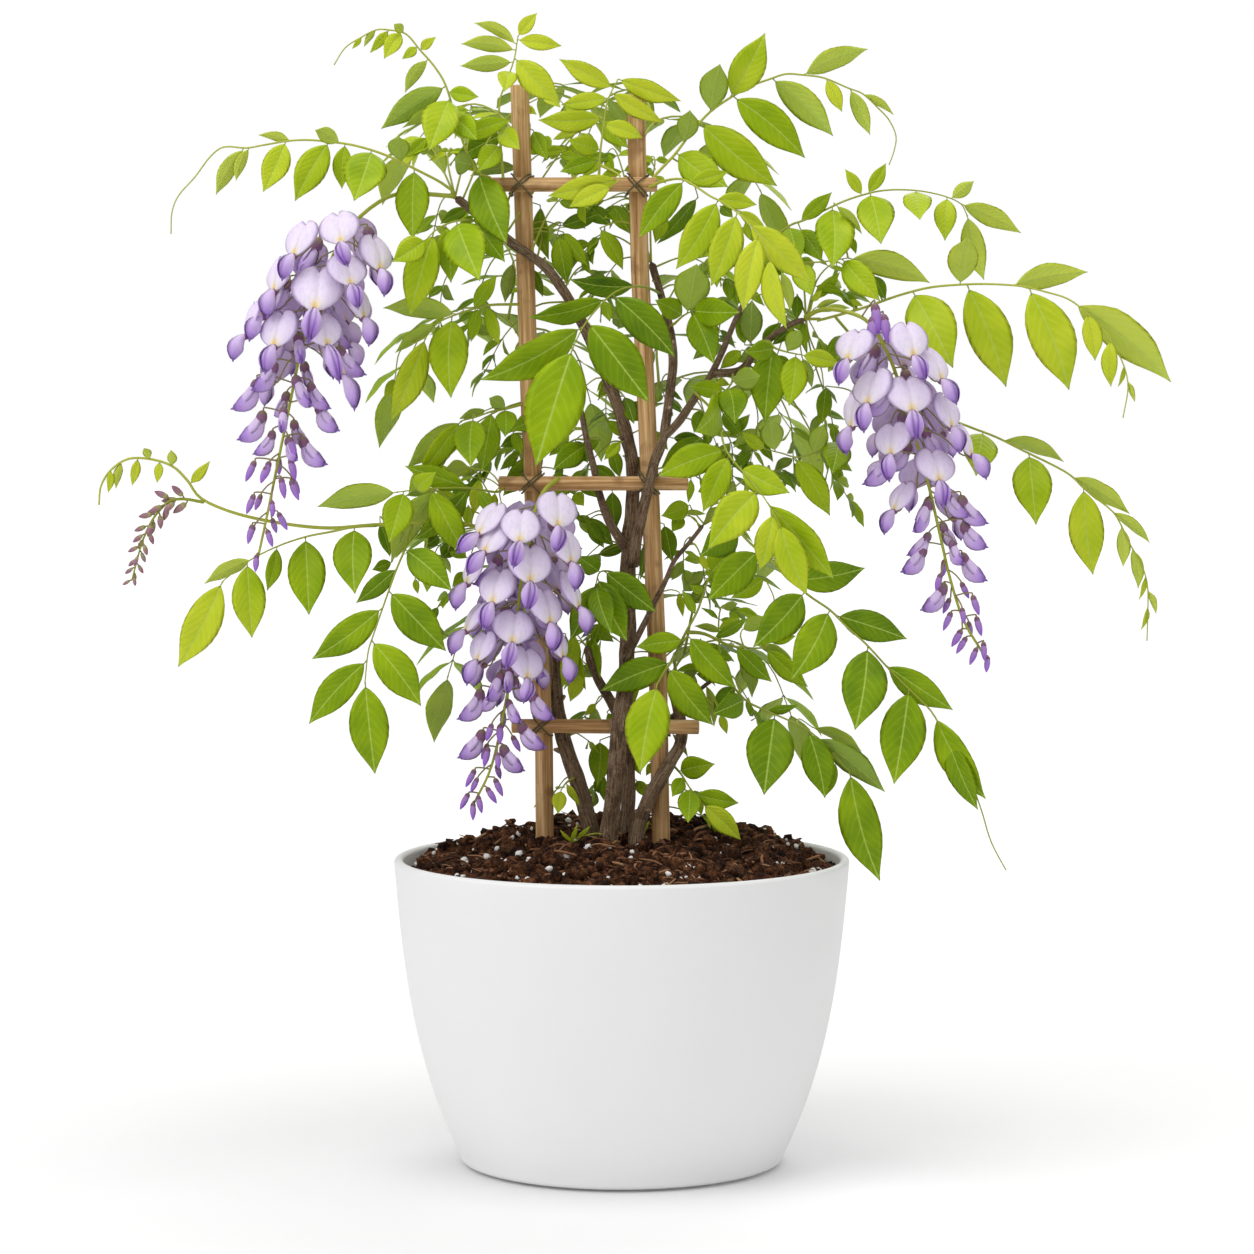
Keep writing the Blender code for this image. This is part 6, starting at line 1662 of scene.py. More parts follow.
def build_wood(name, stem, seed, finish):
    """A woody stem with its branches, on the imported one's axes and with its taper."""
    shape = Shape()
    first = (stem["radii"][0] * MM, stem["radii"][1] * MM)
    thicker, thicker_end = THICKER.get(name, (1.0, 1.0))
    for number, route in enumerate(stem["axes"]):
        points = [seen(*place) for place in route]
        radii = first if number == 0 else (first[0] * 0.80, first[1] * 0.72)
        if number == 0 and "on" not in stem:
            points.insert(0, Vector((points[0].x, points[0].y, points[0].z - TRUNK_FOOT)))
        elif number == 0:
            points.insert(0, points[0] + (points[0] - points[1]).normalized() * STEM_FOOT)
        axis = Axis(points, 5)
        rings = even_points(axis, RING_STEP)
        taper = []
        for i in range(len(rings)):
            share = i / (len(rings) - 1)
            radius = radii[0] + (radii[1] - radii[0]) * share
            radius *= thicker + (thicker_end - thicker) * share
            if number == 0:
                radius *= 1 + (0.5 if "on" not in stem else 0.25) * math.exp(-share * 16)
            rounding = max(share * axis.total - (axis.total - radius), 0) / radius
            radius *= math.sqrt(max(1 - rounding**2, 0.05))
            taper.append(radius)
        woody_stem(shape, rings, taper, seed + number * 0.37)
        add_knots(shape, axis, taper, random.Random(f"{name}{number}"))
    make_piece(name + "_bark", shape, (finish,), [name])


def add_knots(shape, axis, taper, rng):
    """Short snags and bud scars along a woody stem."""
    for _ in range(max(int(axis.total / KNOT_STEP), 1)):
        share = rng.uniform(0.12, 0.95)
        radius = taper[int(share * (len(taper) - 1))]
        at = axis.total * share
        along = axis.direction(at)
        any_way = Vector((rng.uniform(-1, 1), rng.uniform(-1, 1), rng.uniform(-1, 1)))
        way = along.cross(any_way).normalized()
        start = axis.point(at) + way * radius * 0.5
        tip = axis.point(at) + way * radius * rng.uniform(1.25, 1.7) + along * radius * 0.5
        size = radius * rng.uniform(0.35, 0.5)
        radii = (size, size * 0.85, size * 0.4)
        tube(shape, [start, start.lerp(tip, 0.5), tip], radii, 8, (0.3, 0.6, rng.random(), 0.2))


# The corners of a stick's ring, the length between rings, the unevenness and the softened ends
POLE_SIDES = 28
POLE_STEP = 0.006
POLE_RELIEF = 0.00016
STAKE_BEVEL = 0.0008
BAR_BEVEL = 0.0006


def build_pole(name, points, radius, finish, nodes, seed, bevel):
    """A turned wooden stick: slightly uneven, with softened ends."""
    axis = Axis(points, 1)
    rings = [axis.point(bevel * share) for share in (0, 0.35, 1)]
    rings += even_points(axis, POLE_STEP)[1:-1]
    rings += [axis.point(axis.total - bevel * share) for share in (1, 0.35, 0)]
    ends = [radius - bevel, radius - bevel * 0.35]
    radii = ends + [radius] * (len(rings) - 4) + ends[::-1]
    lengths = [axis.nearest(ring) for ring in rings]

    def relief(i, angle):
        """The stick's unevenness at a ring's number and an angle."""
        x, y = math.cos(angle) * 1.5 + seed, math.sin(angle) * 1.5
        return POLE_RELIEF * noise.noise(Vector((x, y, lengths[i] * 14)))

    def note(i, angle):
        """Round and along for the grain, and a shift of it from stick to stick."""
        return round_note(angle, lengths[i] % 1.0, seed % 1.0)

    shape = Shape()
    tube(shape, rings, radii, POLE_SIDES, note, 0, relief)
    make_piece(name, shape, (finish,), nodes)


def build_ladder(finish):
    """The two stakes and the three crossbars."""
    for number, (name, places) in enumerate(STAKES.items()):
        points = [seen(*place) for place in places]
        points[0].z = STAKE_FOOT
        seed = 3.1 + number * 7.7
        build_pole(name + "_stake", points, STAKE_RADIUS, finish, [name], seed, STAKE_BEVEL)
    for number, (name, places) in enumerate(BARS.items()):
        points = [seen(*place) for place in places]
        build_pole(name + "_bar", points, BAR_RADIUS, finish, [name], 21.3 + number * 5.9, BAR_BEVEL)


# Twine: how finely a crossing is searched and a turn is drawn, and the twine's own build
CROSSING_STEPS = 200
TURN_POINTS = 40
TWINE_GAP = 0.0002
TWINE_RADIUS = 0.00055
TWINE_TWISTS = 14
TWINE_SIDES = 6
TWINE_WANDER = 0.0006


def crossing(stake, bar):
    """The points where a stake and a bar pass each other, nearest one another."""
    start, end = [seen(*place) for place in BARS[bar]]
    axis = line_through(STAKES[stake], 1)
    best = None
    for i in range(CROSSING_STEPS + 1):
        on_bar = start.lerp(end, i / CROSSING_STEPS)
        on_stake = axis.point(axis.nearest(on_bar))
        gap = (on_bar - on_stake).length
        if best is None or gap < best[0]:
            best = (gap, on_stake, on_bar)
    return best[1], best[2]


def tie_turn(on_stake, on_bar, lean, lift, reach):
    """One slanted turn of twine round a crossing, as points."""
    slant = Vector((lean, 0, 1)).normalized()
    depth = (STAKE_RADIUS + TWINE_GAP, BAR_RADIUS + TWINE_GAP)
    half = (depth[0] * math.sqrt(2), depth[1] * math.sqrt(2))
    middle = Vector(((on_stake.x + on_bar.x) / 2, on_stake.y, (on_stake.z + on_bar.z) / 2))
    points = []
    for i in range(TURN_POINTS):
        angle = 2 * math.pi * i / TURN_POINTS
        n = (math.cos(angle), math.sin(angle))
        best = None
        for centre, a, b in ((on_stake, half[0], depth[0]), (on_bar, half[1], depth[1])):
            size = math.sqrt((a * n[0]) ** 2 + (b * n[1]) ** 2)
            place = (a * a * n[0] / size, centre.y - on_stake.y + b * b * n[1] / size)
            support = place[0] * n[0] + place[1] * n[1]
            if best is None or support > best[0]:
                best = (support, place)
        place = best[1]
        sideways = slant * (place[0] + n[0] * reach)
        wander = Vector((1, 0, -lean)).normalized() * (lift + TWINE_WANDER * math.sin(angle + 1))
        points.append(middle + sideways + wander + Vector((0, 1, 0)) * (place[1] + n[1] * reach))
    return points


def closed_cord(shape, points, note, phase):
    """Two strands laid round each other along a closed loop."""
    count = len(points)
    for strand in (0, 1):
        corners = []
        for i in range(count):
            along = (points[(i + 1) % count] - points[i - 1]).normalized()
            side = along.cross(Vector((0.2, 0.1, 0.95))).normalized()
            up = along.cross(side)
            turn = phase + strand * math.pi + i / count * 2 * math.pi * TWINE_TWISTS
            hub = points[i] + way_round(side, up, turn) * TWINE_RADIUS * 0.45
            for k in range(TWINE_SIDES):
                angle = 2 * math.pi * k / TWINE_SIDES
                corners.append(hub + way_round(side, up, angle) * TWINE_RADIUS * 0.62)
        shape.add(corners, ring_faces(count, TWINE_SIDES, True), [note] * len(corners))


def build_ties(finish):
    """Three turns of twine at each crossing of a stake and a bar."""
    for bar in BARS:
        for stake in STAKES:
            level, side = bar.split("_")[1], stake.split("_")[1]
            on_stake, on_bar = crossing(stake, bar)
            lean = 1 if side == "left" else -1
            shape = Shape()
            for number, (lift, way) in enumerate(((-0.0014, lean), (0.0005, lean), (0.0, -lean))):
                reach = 0.0006 + 0.0003 * number
                route = smooth_loop(tie_turn(on_stake, on_bar, way, lift, reach), 3)
                closed_cord(shape, route, PLAIN_NOTE, number)
            make_piece(f"tie_{level}_{side}_twine", shape, (finish,), [f"tie_{level}_{side}"])


def pot_radius(height):
    """The pot's outer radius: a straight taper and a belly that pulls in towards the base."""
    t = 1 - height / POT_HEIGHT
    return POT_RIM_RADIUS - POT_TAPER * t - POT_BELLY * t**3


def ring_place(radius, i, segments, height):
    """A corner of a ring about Z."""
    angle = 2 * math.pi * i / segments
    return Vector((radius * math.cos(angle), radius * math.sin(angle), height))


def turned(shape, profile, segments):
    """A closed solid turned about Z, from a profile that starts and ends on the axis."""
    corners, faces, rings = [], [], []
    for radius, height in profile:
        first = len(corners)
        if radius == 0:
            corners.append(Vector((0, 0, height)))
            rings.append([first] * segments)
        else:
            corners.extend(ring_place(radius, i, segments, height) for i in range(segments))
            rings.append([first + i for i in range(segments)])
    for lower, upper in zip(rings, rings[1:]):
        for i in range(segments):
            j = (i + 1) % segments
            faces.append(tuple(dict.fromkeys((lower[i], lower[j], upper[j], upper[i]))))
    shape.add(corners, faces, [PLAIN_NOTE] * len(corners))


# Steps of the pot's rounded edge, its wall, its lip and its inside, and the round at the inside's foot
EDGE_STEPS = 8
WALL_STEPS = 32
LIP_STEPS = 12
INSIDE_STEPS = 24
INSIDE_ROUND = 0.004


def build_pot(finish):
    """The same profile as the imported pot, with finer steps and a rounded lip."""
    edge, lip = POT_EDGE_RADIUS, POT_LIP_RADIUS
    base = pot_radius(POT_FOOT_HEIGHT + edge)
    profile = [(0, 0), (POT_FOOT_RADIUS - 0.0005, 0), (POT_FOOT_RADIUS, 0.0004)]
    profile.append((POT_FOOT_RADIUS, POT_FOOT_HEIGHT))
    for i in range(EDGE_STEPS + 1):
        angle = math.radians(90 * i / EDGE_STEPS)
        height = POT_FOOT_HEIGHT + edge * (1 - math.cos(angle))
        profile.append((base - edge + edge * math.sin(angle), height))
    top = POT_HEIGHT - lip
    for i in range(1, WALL_STEPS + 1):
        height = POT_FOOT_HEIGHT + edge + (top - POT_FOOT_HEIGHT - edge) * i / WALL_STEPS
        profile.append((pot_radius(height), height))
    half = POT_WALL / 2
    for i in range(1, LIP_STEPS):
        angle = math.pi * i / LIP_STEPS
        profile.append((pot_radius(top) - half + half * math.cos(angle), top + lip * math.sin(angle)))
    for i in range(INSIDE_STEPS + 1):
        height = top + (POT_FLOOR + INSIDE_ROUND - top) * i / INSIDE_STEPS
        profile.append((pot_radius(height) - POT_WALL, height))
    profile += [(pot_radius(POT_FLOOR) - POT_WALL - INSIDE_ROUND, POT_FLOOR), (0, POT_FLOOR)]
    shape = Shape()
    turned(shape, profile, POT_SEGMENTS)
    make_piece("pot_planter", shape, (finish,), ["pot"])


def soil_height(x, y):
    """The mound of potting mix with its lumps and crumbs, heaped higher behind the stems."""
    inner = pot_radius(SOIL_EDGE_HEIGHT) - POT_WALL
    s = min(math.hypot(x, y) / inner, 1.0)
    mound = SOIL_EDGE_HEIGHT + SOIL_MOUND * (1 - s * s)
    heap = SOIL_HEAP * math.exp(-((x - 0.01) / 0.11) ** 4 - ((y - 0.050) / 0.036) ** 2)
    place = Vector((x * 45, y * 45, 0.3))
    lumps = noise.noise(place) * 0.0036 + noise.noise(place * 2.3) * 0.0042
    crumbs = abs(noise.noise(place * 4.5)) * 0.0062 + abs(noise.noise(place * 11)) * 0.0030
    return mound + heap + (lumps + crumbs) * (1 - 0.45 * s**6) - 0.0008


# The soil's gaps to the pot's floor and wall, and the heights of its rings along the wall, in metres
SOIL_FLOOR_GAP = 0.0004
SOIL_WALL_GAP = 0.0006
SOIL_LEVELS = (POT_FLOOR + SOIL_FLOOR_GAP, 0.05, 0.1, 0.14, 0.16)


def build_soil(finish):
    """The potting mix: a closed solid that fills the pot, with a lumpy mound on top."""
    count = SOIL_SEGMENTS
    corners = []
    for height in SOIL_LEVELS:
        radius = pot_radius(height) - POT_WALL - SOIL_WALL_GAP
        corners.extend(ring_place(radius, i, count, height) for i in range(count))
    inner = pot_radius(SOIL_EDGE_HEIGHT) - POT_WALL - SOIL_WALL_GAP
    for ring in range(SOIL_RINGS):
        radius = inner * (1 - ring / SOIL_RINGS)
        for i in range(count):
            angle = 2 * math.pi * i / count
            x, y = radius * math.cos(angle), radius * math.sin(angle)
            corners.append(Vector((x, y, soil_height(x, y))))
    rings = len(SOIL_LEVELS) + SOIL_RINGS
    faces = ring_faces(rings, count)
    corners.append(Vector((0, 0, soil_height(0, 0))))
    corners.append(Vector((0, 0, SOIL_LEVELS[0])))
    last = (rings - 1) * count
    for i in range(count):
        j = (i + 1) % count
        faces.append((last + i, last + j, len(corners) - 2))
        faces.append((j, i, len(corners) - 1))
    shape = Shape()
    shape.add(corners, faces, [PLAIN_NOTE] * len(corners))
    make_piece("soil_mound", shape, (finish,), ["soil"])


# Steps of a pebble from pole to pole, and corners round it
PEBBLE_ROWS = 4
PEBBLE_COLUMNS = 7


def pebble(shape, centre, size, squash, rng, note):
    """A small lumpy grain from a squashed ball with pushed corners."""
    spin = rng.uniform(*ANY_ANGLE)
    axle = Vector((rng.random(), rng.random(), rng.random() + 0.1)).normalized()
    turn = Matrix.Rotation(spin, 3, axle)
    pole = turn @ Vector((0, 0, size * squash))
    corners = [centre + pole]
    for i in range(1, PEBBLE_ROWS):
        polar = math.pi * i / PEBBLE_ROWS
        for k in range(PEBBLE_COLUMNS):
            angle = 2 * math.pi * (k + 0.5 * (i % 2)) / PEBBLE_COLUMNS
            push = rng.uniform(0.72, 1.2)
            x, y = math.sin(polar) * math.cos(angle), math.sin(polar) * math.sin(angle)
            offset = Vector((x, y, math.cos(polar) * squash))
            corners.append(centre + turn @ (offset * size * push))
    corners.append(centre - pole)
    faces = []
    last = 1 + (PEBBLE_ROWS - 2) * PEBBLE_COLUMNS
    for k in range(PEBBLE_COLUMNS):
        m = (k + 1) % PEBBLE_COLUMNS
        faces.append((0, 1 + k, 1 + m))
        for a in range(1, last, PEBBLE_COLUMNS):
            b = a + PEBBLE_COLUMNS
            faces.append((a + k, b + k, b + m, a + m))
        faces.append((last + k, len(corners) - 1, last + m))
    shape.add(corners, faces, [note] * len(corners))


# Loose things on the mound: how far out they lie, how many there are, and their sizes in metres
SCATTER_EDGE = 0.96
CRUMB_COUNT = 2100
CRUMB_SIZES = (0.0010, 0.0014, 0.0019, 0.0026, 0.0036, 0.0050)
PERLITE_COUNT = 250
PERLITE_SIZES = (0.0009, 0.0012, 0.0016, 0.0022)
FIBRE_COUNT = 640
FIBRE_RADII = (0.00035, 0.0005, 0.0009)


def scatter_place(rng):
    """A place on the mound, anywhere inside the pot's rim."""
    inner = (pot_radius(SOIL_EDGE_HEIGHT) - POT_WALL) * SCATTER_EDGE
    radius = inner * math.sqrt(rng.random())
    angle = rng.uniform(0, 2 * math.pi)
    x, y = radius * math.cos(angle), radius * math.sin(angle)
    return Vector((x, y, soil_height(x, y)))


def tone_note(tone):
    """A grain's note: one value for how pale it is."""
    return (tone, tone, tone, 1)


def scatter_grains(name, finish, count, sizes, vary, squashes, rise, rng):
    """Pebbles on the mound. Rise lifts a grain's middle, by a share of its size and by a length."""
    shape = Shape()
    for _ in range(count):
        place = scatter_place(rng)
        size = rng.choice(sizes) * rng.uniform(*vary)
        note = tone_note(rng.random())
        centre = place + Vector((0, 0, size * rise[0] + rise[1]))
        pebble(shape, centre, size, rng.uniform(*squashes), rng, note)
    make_piece(name, shape, (finish,))


def build_crumbs(soil_finish, perlite_finish, fibre_finish):
    """Loose crumbs of soil, white perlite grains and bark fibres on the mound."""
    rng = random.Random(41)
    scatter_grains(
        "soil_crumbs", soil_finish, CRUMB_COUNT, CRUMB_SIZES, (0.8, 1.2), (0.55, 0.9), (0.2, -0.0009), rng
    )
    scatter_grains(
        "perlite_grains", perlite_finish, PERLITE_COUNT, PERLITE_SIZES, (0.9, 1.15), (0.7, 0.95),
        (0.5, 0.0002), rng,
    )
    fibres = Shape()
    for _ in range(FIBRE_COUNT):
        place = scatter_place(rng)
        length = rng.uniform(0.005, 0.016)
        heading = rng.uniform(*ANY_ANGLE)
        lean = rng.uniform(-0.35, 0.5)
        way = Vector((math.cos(heading), math.sin(heading), lean)).normalized()
        middle = place + Vector((0, 0, rng.uniform(0.0002, 0.0014)))
        bend = Vector((rng.uniform(-1, 1), rng.uniform(-1, 1), rng.uniform(0, 1))) * length * 0.12
        points = [middle - way * length / 2, middle + bend, middle + way * length / 2]
        radius = rng.choice(FIBRE_RADII)
        radii = [radius * 0.6] + [radius] * 5 + [radius * 0.5]
        tube(fibres, smooth_route(points, 3), radii, 5, tone_note(rng.random()))
    make_piece("bark_fibres", fibres, (fibre_finish,))


class Nodes:
    """A short way to write a procedural material."""

    def __init__(self, name):
        self.finish = bpy.data.materials.new(name)
        self.finish.use_nodes = True
        self.tree = self.finish.node_tree
        self.shader = self.tree.nodes["Principled BSDF"]

    def feed(self, socket, value):
        """Give a socket a number, a colour or another node's output."""
        if isinstance(value, (int, float)):
            socket.default_value = value
        elif isinstance(value, tuple):
            socket.default_value = (*value, 1.0)
        else:
            self.tree.links.new(value, socket)

    def surface(self, colour, rough, shine=0.5):
        """The surface's colour, roughness and strength of its reflections."""
        self.feed(self.shader.inputs["Base Color"], colour)
        self.feed(self.shader.inputs["Roughness"], rough)
        self.feed(self.shader.inputs["Specular IOR Level"], shine)

    def maths(self, operation, first, second=None, clamp=False):
        """A sum on one or two values."""
        node = self.tree.nodes.new("ShaderNodeMath")
        node.operation = operation
        node.use_clamp = clamp
        self.feed(node.inputs[0], first)
        if second is not None:
            self.feed(node.inputs[1], second)
        return node.outputs[0]

    def plus(self, first, second, clamp=False):
        """Two values added."""
        return self.maths("ADD", first, second, clamp)

    def minus(self, first, second, clamp=False):
        """One value less another."""
        return self.maths("SUBTRACT", first, second, clamp)

    def times(self, first, second, clamp=False):
        """Two values multiplied."""
        return self.maths("MULTIPLY", first, second, clamp)

    def vector_maths(self, operation, *values):
        """The node of a sum on vectors, each a node's output or fixed numbers."""
        node = self.tree.nodes.new("ShaderNodeVectorMath")
        node.operation = operation
        for socket, value in zip(node.inputs, values):
            if isinstance(value, tuple):
                socket.default_value = value
            else:
                self.feed(socket, value)
        return node

    def vector(self, *parts):
        """A vector from three values."""
        node = self.tree.nodes.new("ShaderNodeCombineXYZ")
        for socket, part in zip(node.inputs, parts):
            self.feed(socket, part)
        return node.outputs[0]

    def ramp(self, source, stops):
        """A colour that goes by a value, from stops of (value, colour)."""
        node = self.tree.nodes.new("ShaderNodeValToRGB")
        self.feed(node.inputs[0], source)
        elements = node.color_ramp.elements
        while len(elements) < len(stops):
            elements.new(0.5)
        for element, (place, colour) in zip(elements, stops):
            element.position = place
            element.color = (*colour, 1.0)
        return node.outputs[0]

    def mix(self, share, first, second):
        """A colour between two, by share."""
        node = self.tree.nodes.new("ShaderNodeMix")
        node.data_type = "RGBA"
        for number, value in ((0, share), (6, first), (7, second)):
            self.feed(node.inputs[number], value)
        return node.outputs[2]

    def noise(self, vector, scale, detail=3.0, roughness=0.5):
        """A cloudy pattern between 0 and 1."""
        node = self.tree.nodes.new("ShaderNodeTexNoise")
        node.inputs["Scale"].default_value = scale
        node.inputs["Detail"].default_value = detail
        node.inputs["Roughness"].default_value = roughness
        self.feed(node.inputs["Vector"], vector)
        return node.outputs["Fac"]

    def noted(self):
        """The node that reads a corner's notes."""
        node = self.tree.nodes.new("ShaderNodeAttribute")
        node.attribute_name = "notes"
        return node

    def notes(self):
        """A corner's four noted values."""
        node = self.noted()
        parts = self.tree.nodes.new("ShaderNodeSeparateColor")
        self.feed(parts.inputs[0], node.outputs["Color"])
        return parts.outputs[0], parts.outputs[1], parts.outputs[2], node.outputs["Alpha"]

    def place(self):
        """A point's place on the model."""
        return self.tree.nodes.new("ShaderNodeTexCoord").outputs["Object"]

    def stretched(self, vector, scale):
        """A place with its three parts scaled."""
        node = self.tree.nodes.new("ShaderNodeMapping")
        node.inputs["Scale"].default_value = scale
        self.feed(node.inputs["Vector"], vector)
        return node.outputs[0]

    def bump(self, height, strength, distance):
        """Fine relief on the surface."""
        node = self.tree.nodes.new("ShaderNodeBump")
        node.inputs["Strength"].default_value = strength
        node.inputs["Distance"].default_value = distance
        self.feed(node.inputs["Height"], height)
        self.feed(self.shader.inputs["Normal"], node.outputs[0])

    def step(self, value, low, high):
        """A smooth rise from 0 at the low value to 1 at the high one."""
        node = self.tree.nodes.new("ShaderNodeMapRange")
        node.interpolation_type = "SMOOTHSTEP"
        node.inputs["From Min"].default_value = low
        node.inputs["From Max"].default_value = high
        self.feed(node.inputs["Value"], value)
        return node.outputs[0]


# Blades from full grown to new
LEAF_TINTS = (
    (0.0, (0.065, 0.140, 0.001)), (0.3, (0.175, 0.300, 0.001)), (0.6, (0.35, 0.50, 0.003)),
    (1.0, (0.63, 0.71, 0.035)),
)
STALK_TINTS = ((0.0, (0.17, 0.19, 0.01)), (0.5, (0.31, 0.38, 0.015)), (1.0, (0.50, 0.56, 0.04)))
# Bark, stakes and twine from hollows to ridges, or from dark grain to pale
BARK_TINTS = (
    (0.38, (0.040, 0.020, 0.009)), (0.46, (0.180, 0.105, 0.058)), (0.53, (0.39, 0.265, 0.165)),
    (0.64, (0.66, 0.52, 0.37)),
)
WOOD_TINTS = (
    (0.30, (0.27, 0.120, 0.036)), (0.43, (0.47, 0.255, 0.095)), (0.55, (0.66, 0.400, 0.180)),
    (0.68, (0.84, 0.580, 0.310)),
)
TWINE_TINTS = ((0.35, (0.05, 0.045, 0.02)), (0.65, (0.20, 0.16, 0.07)))
# Potting mix from near black, which is painted shade in the gaps between lumps, through the mix's own dark
# browns to paler crumbs
SOIL_AND_GAP_SHADE_TINTS = (
    (0.38, (0.006, 0.003, 0.002)), (0.48, (0.035, 0.013, 0.006)), (0.56, (0.130, 0.050, 0.021)),
    (0.68, (0.34, 0.155, 0.070)),
)
PERLITE_TINTS = ((0.3, (0.70, 0.67, 0.62)), (0.5, (0.94, 0.93, 0.90)))
FIBRE_TINTS = ((0.0, (0.10, 0.035, 0.014)), (0.5, (0.30, 0.12, 0.05)), (1.0, (0.56, 0.31, 0.15)))
POT_TINTS = ((0.3, (0.88, 0.88, 0.88)), (0.7, (0.90, 0.90, 0.90)))


def leaf_finish():
    """Green blades: pale midrib and side veins, mottling, a faint painted shade midway between the side
    veins and paler undersides, from noted values.
    """
    m = Nodes("leaf_blade")
    along, across, youth, under = m.notes()
    place = m.place()
    off = m.maths("ABSOLUTE", m.minus(m.times(across, 2.0), 1.0))
    mottle = m.noise(place, 150.0, 2.0)
    patch = m.noise(place, 40.0, 2.0)
    wander = m.times(m.minus(mottle, 0.5), 0.035)
    rib = m.minus(1.0, m.step(off, 0.012, 0.06))
    slanted = m.minus(along, m.times(m.maths("POWER", off, 1.35), 0.36))
    wave = m.maths("FRACT", m.times(m.plus(slanted, wander), 8.5))
    bulge = m.maths("ABSOLUTE", m.minus(wave, 0.5))
    vein = m.times(m.step(bulge, 0.43, 0.5), m.minus(1.0, m.times(off, 0.6)))
    top = m.ramp(m.plus(youth, m.times(m.minus(patch, 0.5), 0.6)), LEAF_TINTS)
    age = m.minus(0.38, m.times(youth, 0.4), True)
    top = m.mix(m.times(m.minus(mottle, 0.38), age, True), top, (0.06, 0.14, 0.0))
    # Painted shade: a faint darkening midway between the side veins, standing for shade in the blade's
    # quilting
    painted_quilt_shade = m.times(m.minus(1.0, m.step(bulge, 0.06, 0.36)), 0.06)
    top = m.mix(painted_quilt_shade, top, (0.05, 0.11, 0.0))
    lines = m.plus(m.times(rib, 0.65), m.times(vein, 0.3), True)
    top = m.mix(lines, top, (0.50, 0.64, 0.12))
    low = m.mix(0.4, top, (0.52, 0.64, 0.17))
    rough = m.plus(0.34, m.times(under, 0.25))
    m.surface(m.mix(under, top, low), m.plus(rough, m.times(mottle, 0.1)), 0.15)
    height = m.plus(m.times(rib, -0.7), m.times(m.maths("POWER", bulge, 3.0), -5.0))
    m.bump(m.plus(height, m.times(mottle, 0.1)), 0.5, 0.0005)
    return m.finish


def stalk_finish():
    """Green stalks: olive on old leaves, yellow-green on new ones, with brown specks."""
    m = Nodes("green_stalk")
    _, _, youth, _ = m.notes()
    speck = m.noise(m.place(), 220.0, 3.0)
    colour = m.ramp(youth, STALK_TINTS)
    m.surface(m.mix(m.times(speck, 0.35), colour, (0.22, 0.16, 0.06)), 0.5)
    m.bump(speck, 0.3, 0.0003)
    return m.finish


def petal_finish():
    """Petals in their noted colours, with fine veins, pale clouds and a soft sheen."""
    m = Nodes("petal")
    veins = m.noise(m.stretched(m.place(), (1.0, 1.0, 0.30)), 520.0, 3.0)
    cloud = m.noise(m.place(), 110.0, 2.0)
    vein_share = m.times(m.step(veins, 0.42, 0.75), 0.17)
    colour = m.mix(vein_share, m.noted().outputs["Color"], (0.42, 0.26, 0.72))
    colour = m.mix(m.times(cloud, 0.10), colour, (0.97, 0.94, 1.0))
    m.surface(colour, m.plus(0.55, m.times(veins, 0.15)), 0.25)
    m.shader.inputs["Sheen Weight"].default_value = 0.1
    m.shader.inputs["Sheen Roughness"].default_value = 0.4
    m.bump(veins, 0.25, 0.0002)
    return m.finish


def bark_finish():
    """Bark: grey-brown fibres and streaks along the stem, with paler and darker patches."""
    m = Nodes("old_bark")
    x, y, far, _ = m.notes()
    round_stem = m.vector(x, y, far)
    fibre = m.noise(m.stretched(round_stem, (4.0, 4.0, 7.0)), 3.0, 6.0, 0.72)
    streak = m.noise(m.stretched(round_stem, (9.0, 9.0, 9.0)), 3.0, 3.0, 0.6)
    patch = m.noise(m.place(), 95.0, 4.0)
    fine = m.noise(m.place(), 700.0, 4.0, 0.6)
    height = m.plus(m.times(fibre, 0.6), m.times(streak, 0.4))
    colour = m.ramp(m.plus(m.times(height, 0.8), m.times(fine, 0.2)), BARK_TINTS)
    colour = m.mix(m.times(m.step(patch, 0.48, 0.7), 0.45), colour, (0.33, 0.235, 0.14))
    colour = m.mix(m.times(m.step(patch, 0.5, 0.34), 0.5), colour, (0.075, 0.042, 0.018))
    m.surface(colour, 0.85, 0.2)
    m.bump(m.plus(height, m.times(fine, 0.3)), 1.0, 0.0030)
    return m.finish


def wood_finish():
    """Bare wood: grain along the stick, dark streaks and a few stains."""
    m = Nodes("stake_timber")
    x, y, far, seed = m.notes()
    round_stick = m.vector(m.plus(x, seed), y, far)
    grain = m.noise(m.stretched(round_stick, (1.6, 1.6, 5.0)), 3.0, 6.0, 0.62)
    streak = m.noise(m.stretched(round_stick, (9.0, 9.0, 9.0)), 3.0, 3.0, 0.5)
    stain = m.noise(m.place(), 60.0, 3.0)
    speck = m.noise(m.place(), 900.0, 2.0)
    colour = m.ramp(grain, WOOD_TINTS)
    colour = m.mix(m.times(m.step(streak, 0.53, 0.72), 0.28), colour, (0.22, 0.09, 0.03))
    colour = m.mix(m.times(m.step(stain, 0.54, 0.70), 0.6), colour, (0.25, 0.115, 0.04))
    m.surface(colour, 0.6, 0.25)
    m.bump(m.plus(streak, m.times(speck, 0.3)), 0.4, 0.0004)
    return m.finish


def speckled_finish(name, scale, detail, roughness, tints, rough, strength, distance):
    """A rough finish whose colour and relief both follow one fine pattern."""
    m = Nodes(name)
    speck = m.noise(m.place(), scale, detail, roughness)
    m.surface(m.ramp(speck, tints), rough)
    m.bump(speck, strength, distance)
    return m.finish


def twine_finish():
    """Rough dark twine."""
    return speckled_finish("dark_twine", 1500.0, 3.0, 0.6, TWINE_TINTS, 0.9, 0.8, 0.0004)


def perlite_finish():
    """White perlite grains with pits."""
    return speckled_finish("perlite", 1400.0, 3.0, 0.5, PERLITE_TINTS, 0.85, 0.8, 0.0004)


